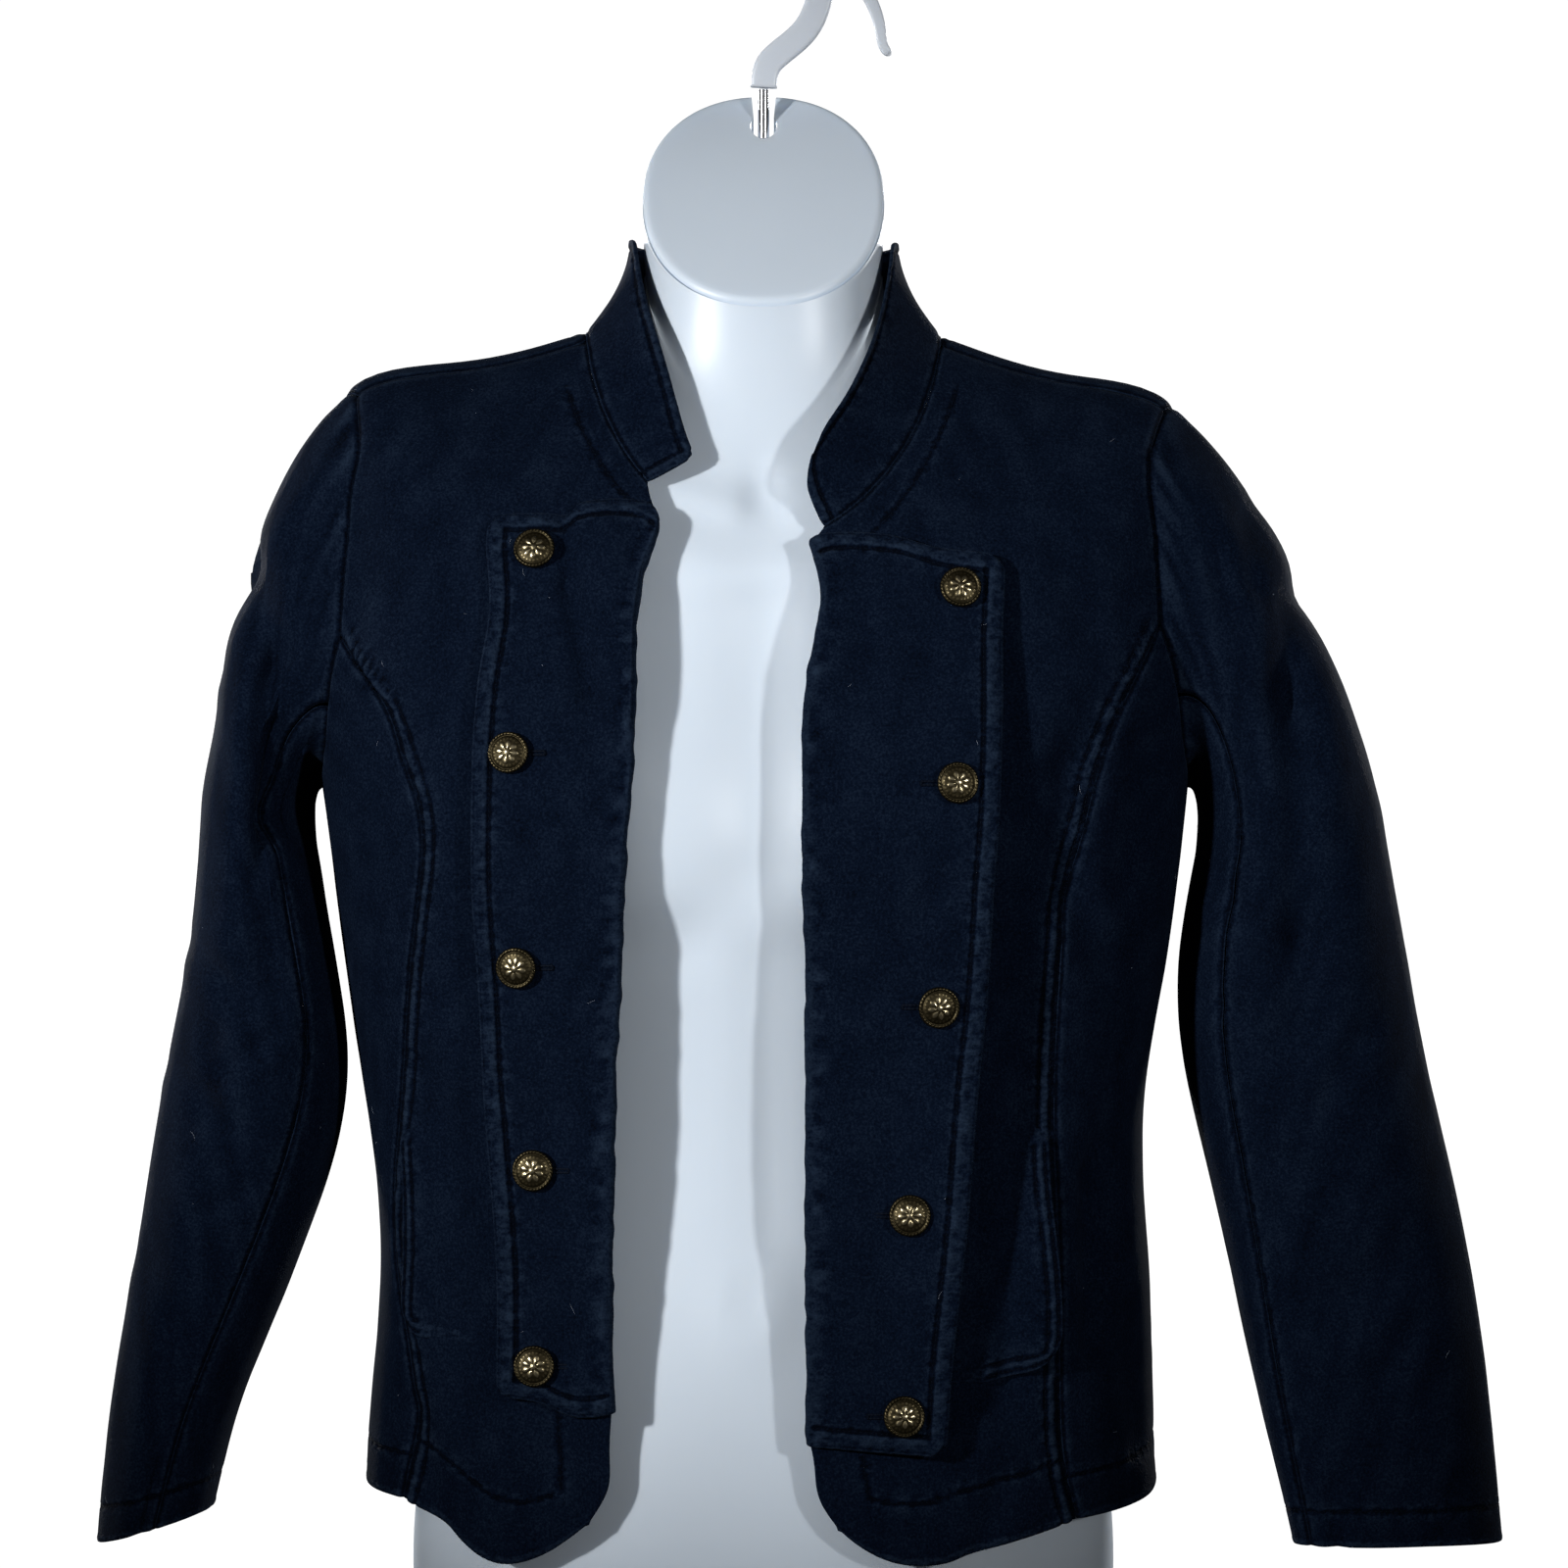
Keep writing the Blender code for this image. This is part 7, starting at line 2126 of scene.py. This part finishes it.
@dataclass(frozen=True)
class BrassFinish:
    """Antique brass: bright on what stands up, dark and dull in the hollows."""

    hollow: Colour = (0.008, 0.007, 0.004)
    dull: Colour = (0.085, 0.068, 0.036)
    bright: Colour = (0.70, 0.60, 0.38)

    def make(self) -> Material:
        """Builds the material on the buttons' depth attribute."""
        nodes = Nodes("antique_brass")
        depth = nodes.read("ShaderNodeAttribute", "Fac", attribute_name="depth")
        place = nodes.read("ShaderNodeTexCoord", "Object")
        mixed = nodes.weighted(-0.22, (depth, 0.95), (nodes.noise(place, 420.0, 4.0, 0.6), 0.45))
        colour = nodes.ramp(mixed, (0.22, self.hollow), (0.58, self.dull), (0.98, self.bright))
        nodes.link(colour, nodes.shader.inputs["Base Color"])
        rough = nodes.ramp(mixed, (0.1, (0.60,) * 3), (0.9, (0.24,) * 3))
        nodes.link(rough, nodes.shader.inputs["Roughness"])
        nodes.set(nodes.shader, Metallic=1.0)
        nodes.link(nodes.bump(nodes.noise(place, 1500.0), 0.05 * MM, 0.5), nodes.shader.inputs["Normal"])
        return nodes.material


@dataclass(frozen=True)
class PlasticFinish:
    """Smooth pale plastic that lets a little light in."""

    name: str
    colour: Colour
    roughness: float
    glow: float

    def make(self) -> Material:
        """Builds the material."""
        nodes = Nodes(self.name)
        faint = nodes.noise(nodes.read("ShaderNodeTexCoord", "Object"), 9.0, 1.0, 0.5)
        low = tuple(c * 0.965 for c in self.colour)
        nodes.link(nodes.ramp(faint, (0.3, low), (0.7, self.colour)), nodes.shader.inputs["Base Color"])
        nodes.set(nodes.shader, Roughness=self.roughness, Subsurface_Weight=self.glow,
                  Subsurface_Radius=(0.9, 1.0, 1.1), Subsurface_Scale=0.006)
        return nodes.material


@dataclass(frozen=True)
class Lamp:
    """A soft-edged spot on the chest, which leaves the hem darker, or a disk where it has no cone."""

    name: str
    place: tuple[float, float, float]
    watts: float
    size: float
    cone: float = 0.0
    target: tuple[float, float, float] = (-0.02, -0.1, 0.50)

    def build(self) -> None:
        """Stands the lamp at its place, aimed at its target."""
        lamp = bpy.data.lights.new(self.name, "SPOT" if self.cone else "AREA")
        lamp.energy = self.watts
        if self.cone:
            lamp.shadow_soft_size, lamp.spot_size, lamp.spot_blend = self.size, math.radians(self.cone), 1.0
        else:
            lamp.size, lamp.shape = self.size, "DISK"
        made = bpy.data.objects.new(self.name, lamp)
        made.location = self.place
        aim = Vector(self.target) - Vector(self.place)
        made.rotation_euler = aim.to_track_quat("-Z", "Y").to_euler()
        bpy.context.scene.collection.objects.link(made)


@dataclass(frozen=True)
class Studio:
    """A white room: a curved backdrop and soft-edged spots from the front, the sides and the back."""

    eye: tuple[float, float, float] = (EYE_X, -EYE_DISTANCE, EYE_Z)
    lens: float = 154.7
    # Name, place, energy in watts, size and cone in degrees.
    lamps: tuple[Lamp, ...] = (
        Lamp("front_fill", (-0.3, -3.2, 1.0), 0.8, 1.2, target=(0.0, 0.0, 0.45)),
        Lamp("left_key", (-2.35, -2.50, 1.05), 480.0, 0.10, 20.0),
        Lamp("right_key", (2.00, -2.75, 0.90), 190.0, 0.12, 20.0),
        Lamp("back_left", (-1.6, 3.0, 1.2), 215.0, 0.20, 32.0),
        Lamp("back_right", (1.6, 3.0, 1.2), 160.0, 0.20, 32.0),
        Lamp("left_side", (-3.1, 1.4, 0.9), 210.0, 0.25, 32.0),
        Lamp("right_side", (3.1, 1.4, 0.9), 190.0, 0.25, 32.0),
    )

    def build(self) -> None:
        """Makes the backdrop, the lights, the world and the camera."""
        self.backdrop()
        for lamp in self.lamps:
            lamp.build()
        world = bpy.data.worlds.new("white_room")
        world.use_nodes = True
        background = world.node_tree.nodes["Background"]
        background.inputs["Color"].default_value = (1.0, 1.0, 1.0, 1.0)
        background.inputs["Strength"].default_value = 0.02
        scene = bpy.context.scene
        scene.world = world
        camera = bpy.data.cameras.new("camera")
        camera.lens, camera.sensor_width, camera.clip_start = self.lens, 36.0, 0.05
        camera.dof.use_dof = False
        made = bpy.data.objects.new("camera", camera)
        made.location = self.eye
        made.rotation_euler = (math.pi / 2, 0.0, 0.0)
        scene.collection.objects.link(made)
        scene.camera = made
        scene.view_settings.view_transform = "Standard"
        scene.view_settings.look = "None"

    def backdrop(self) -> None:
        """A round pale floor that turns up into a wall all round, so every view has it behind."""
        turn = np.linspace(0.0, FULL_TURN, 97)
        curve = np.linspace(0.0, math.pi / 2, 17)
        radius = np.concatenate([[0.02, 2.0, 5.0], 6.0 + np.sin(curve), [7.0]])[:, None]
        z = np.concatenate([[0.0, 0.0, 0.0], 1.0 - np.cos(curve), [6.0]])[:, None] + 0.0 * turn
        points = np.stack([radius * np.cos(turn), radius * np.sin(turn), z], axis=-1)
        quads = quads_of(np.arange(z.size).reshape(z.shape))
        made = quad_mesh("backdrop", points.reshape(-1, 3), quads)
        nodes = Nodes("white_paper")
        nodes.set(nodes.shader, Base_Color=(0.0, 0.0, 0.0), Specular_IOR_Level=0.0, Roughness=0.9,
                  Emission_Color=(1.0, 1.0, 1.0))
        strength = nodes.add("ShaderNodeMapRange", To_Min=0.04, To_Max=1.10)
        nodes.link(nodes.read("ShaderNodeLightPath", "Is Camera Ray"), strength.inputs["Value"])
        nodes.link(strength.outputs["Result"], nodes.shader.inputs["Emission Strength"])
        made.data.materials.append(nodes.material)


@dataclass
class BandJacket:
    """The jacket on its form: what is cut, sewn, cast and turned."""

    wardrobe: Wardrobe
    surface: TorsoSurface = field(default_factory=TorsoSurface)
    thread: PlainFinish = PlainFinish("navy_thread", (0.0016, 0.0036, 0.0090), 0.7, specular=0.06)
    lint: PlainFinish = PlainFinish("lint", (0.30, 0.34, 0.42), 0.9)

    def build(self) -> None:
        """Makes every piece, in the order that they lie over one another."""
        TorsoForm().build(self.wardrobe)
        Hook().build(self.wardrobe)
        halves = {}
        for pattern in (RIGHT_HALF, LEFT_HALF):
            lines = halves[pattern.side] = JacketLines(self.surface, pattern)
            for kind in (BodyPanels, Lapel, Pocket, Sleeve):
                kind(lines, self.wardrobe).build()
        Collar(halves, self.wardrobe).build()
        Buttons().build(self.wardrobe)
        Thread().build(self.wardrobe, self.thread.make())
        Buttonholes().build(self.wardrobe, self.thread.make())
        Lint().build(self.wardrobe, self.lint.make())


def main() -> None:
    """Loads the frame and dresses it."""
    logging.basicConfig(level=logging.INFO, format="%(name)s: %(message)s")
    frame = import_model()
    finishes = {
        Slot.CLOTH: ClothFinish().make(),
        Slot.BUTTON: BrassFinish().make(),
        Slot.FORM: PlasticFinish("form_plastic", (0.66, 0.74, 0.83), 0.38, 0.35).make(),
        Slot.HOOK: PlasticFinish("hook_plastic", (0.72, 0.77, 0.84), 0.32, 0.2).make(),
        Slot.STEM: PlainFinish("polished_rod", (0.72, 0.73, 0.75), 0.16, metallic=1.0).make(),
    }
    BandJacket(Wardrobe(frame, finishes)).build()
    Studio().build()


if __name__ == "__main__":
    main()
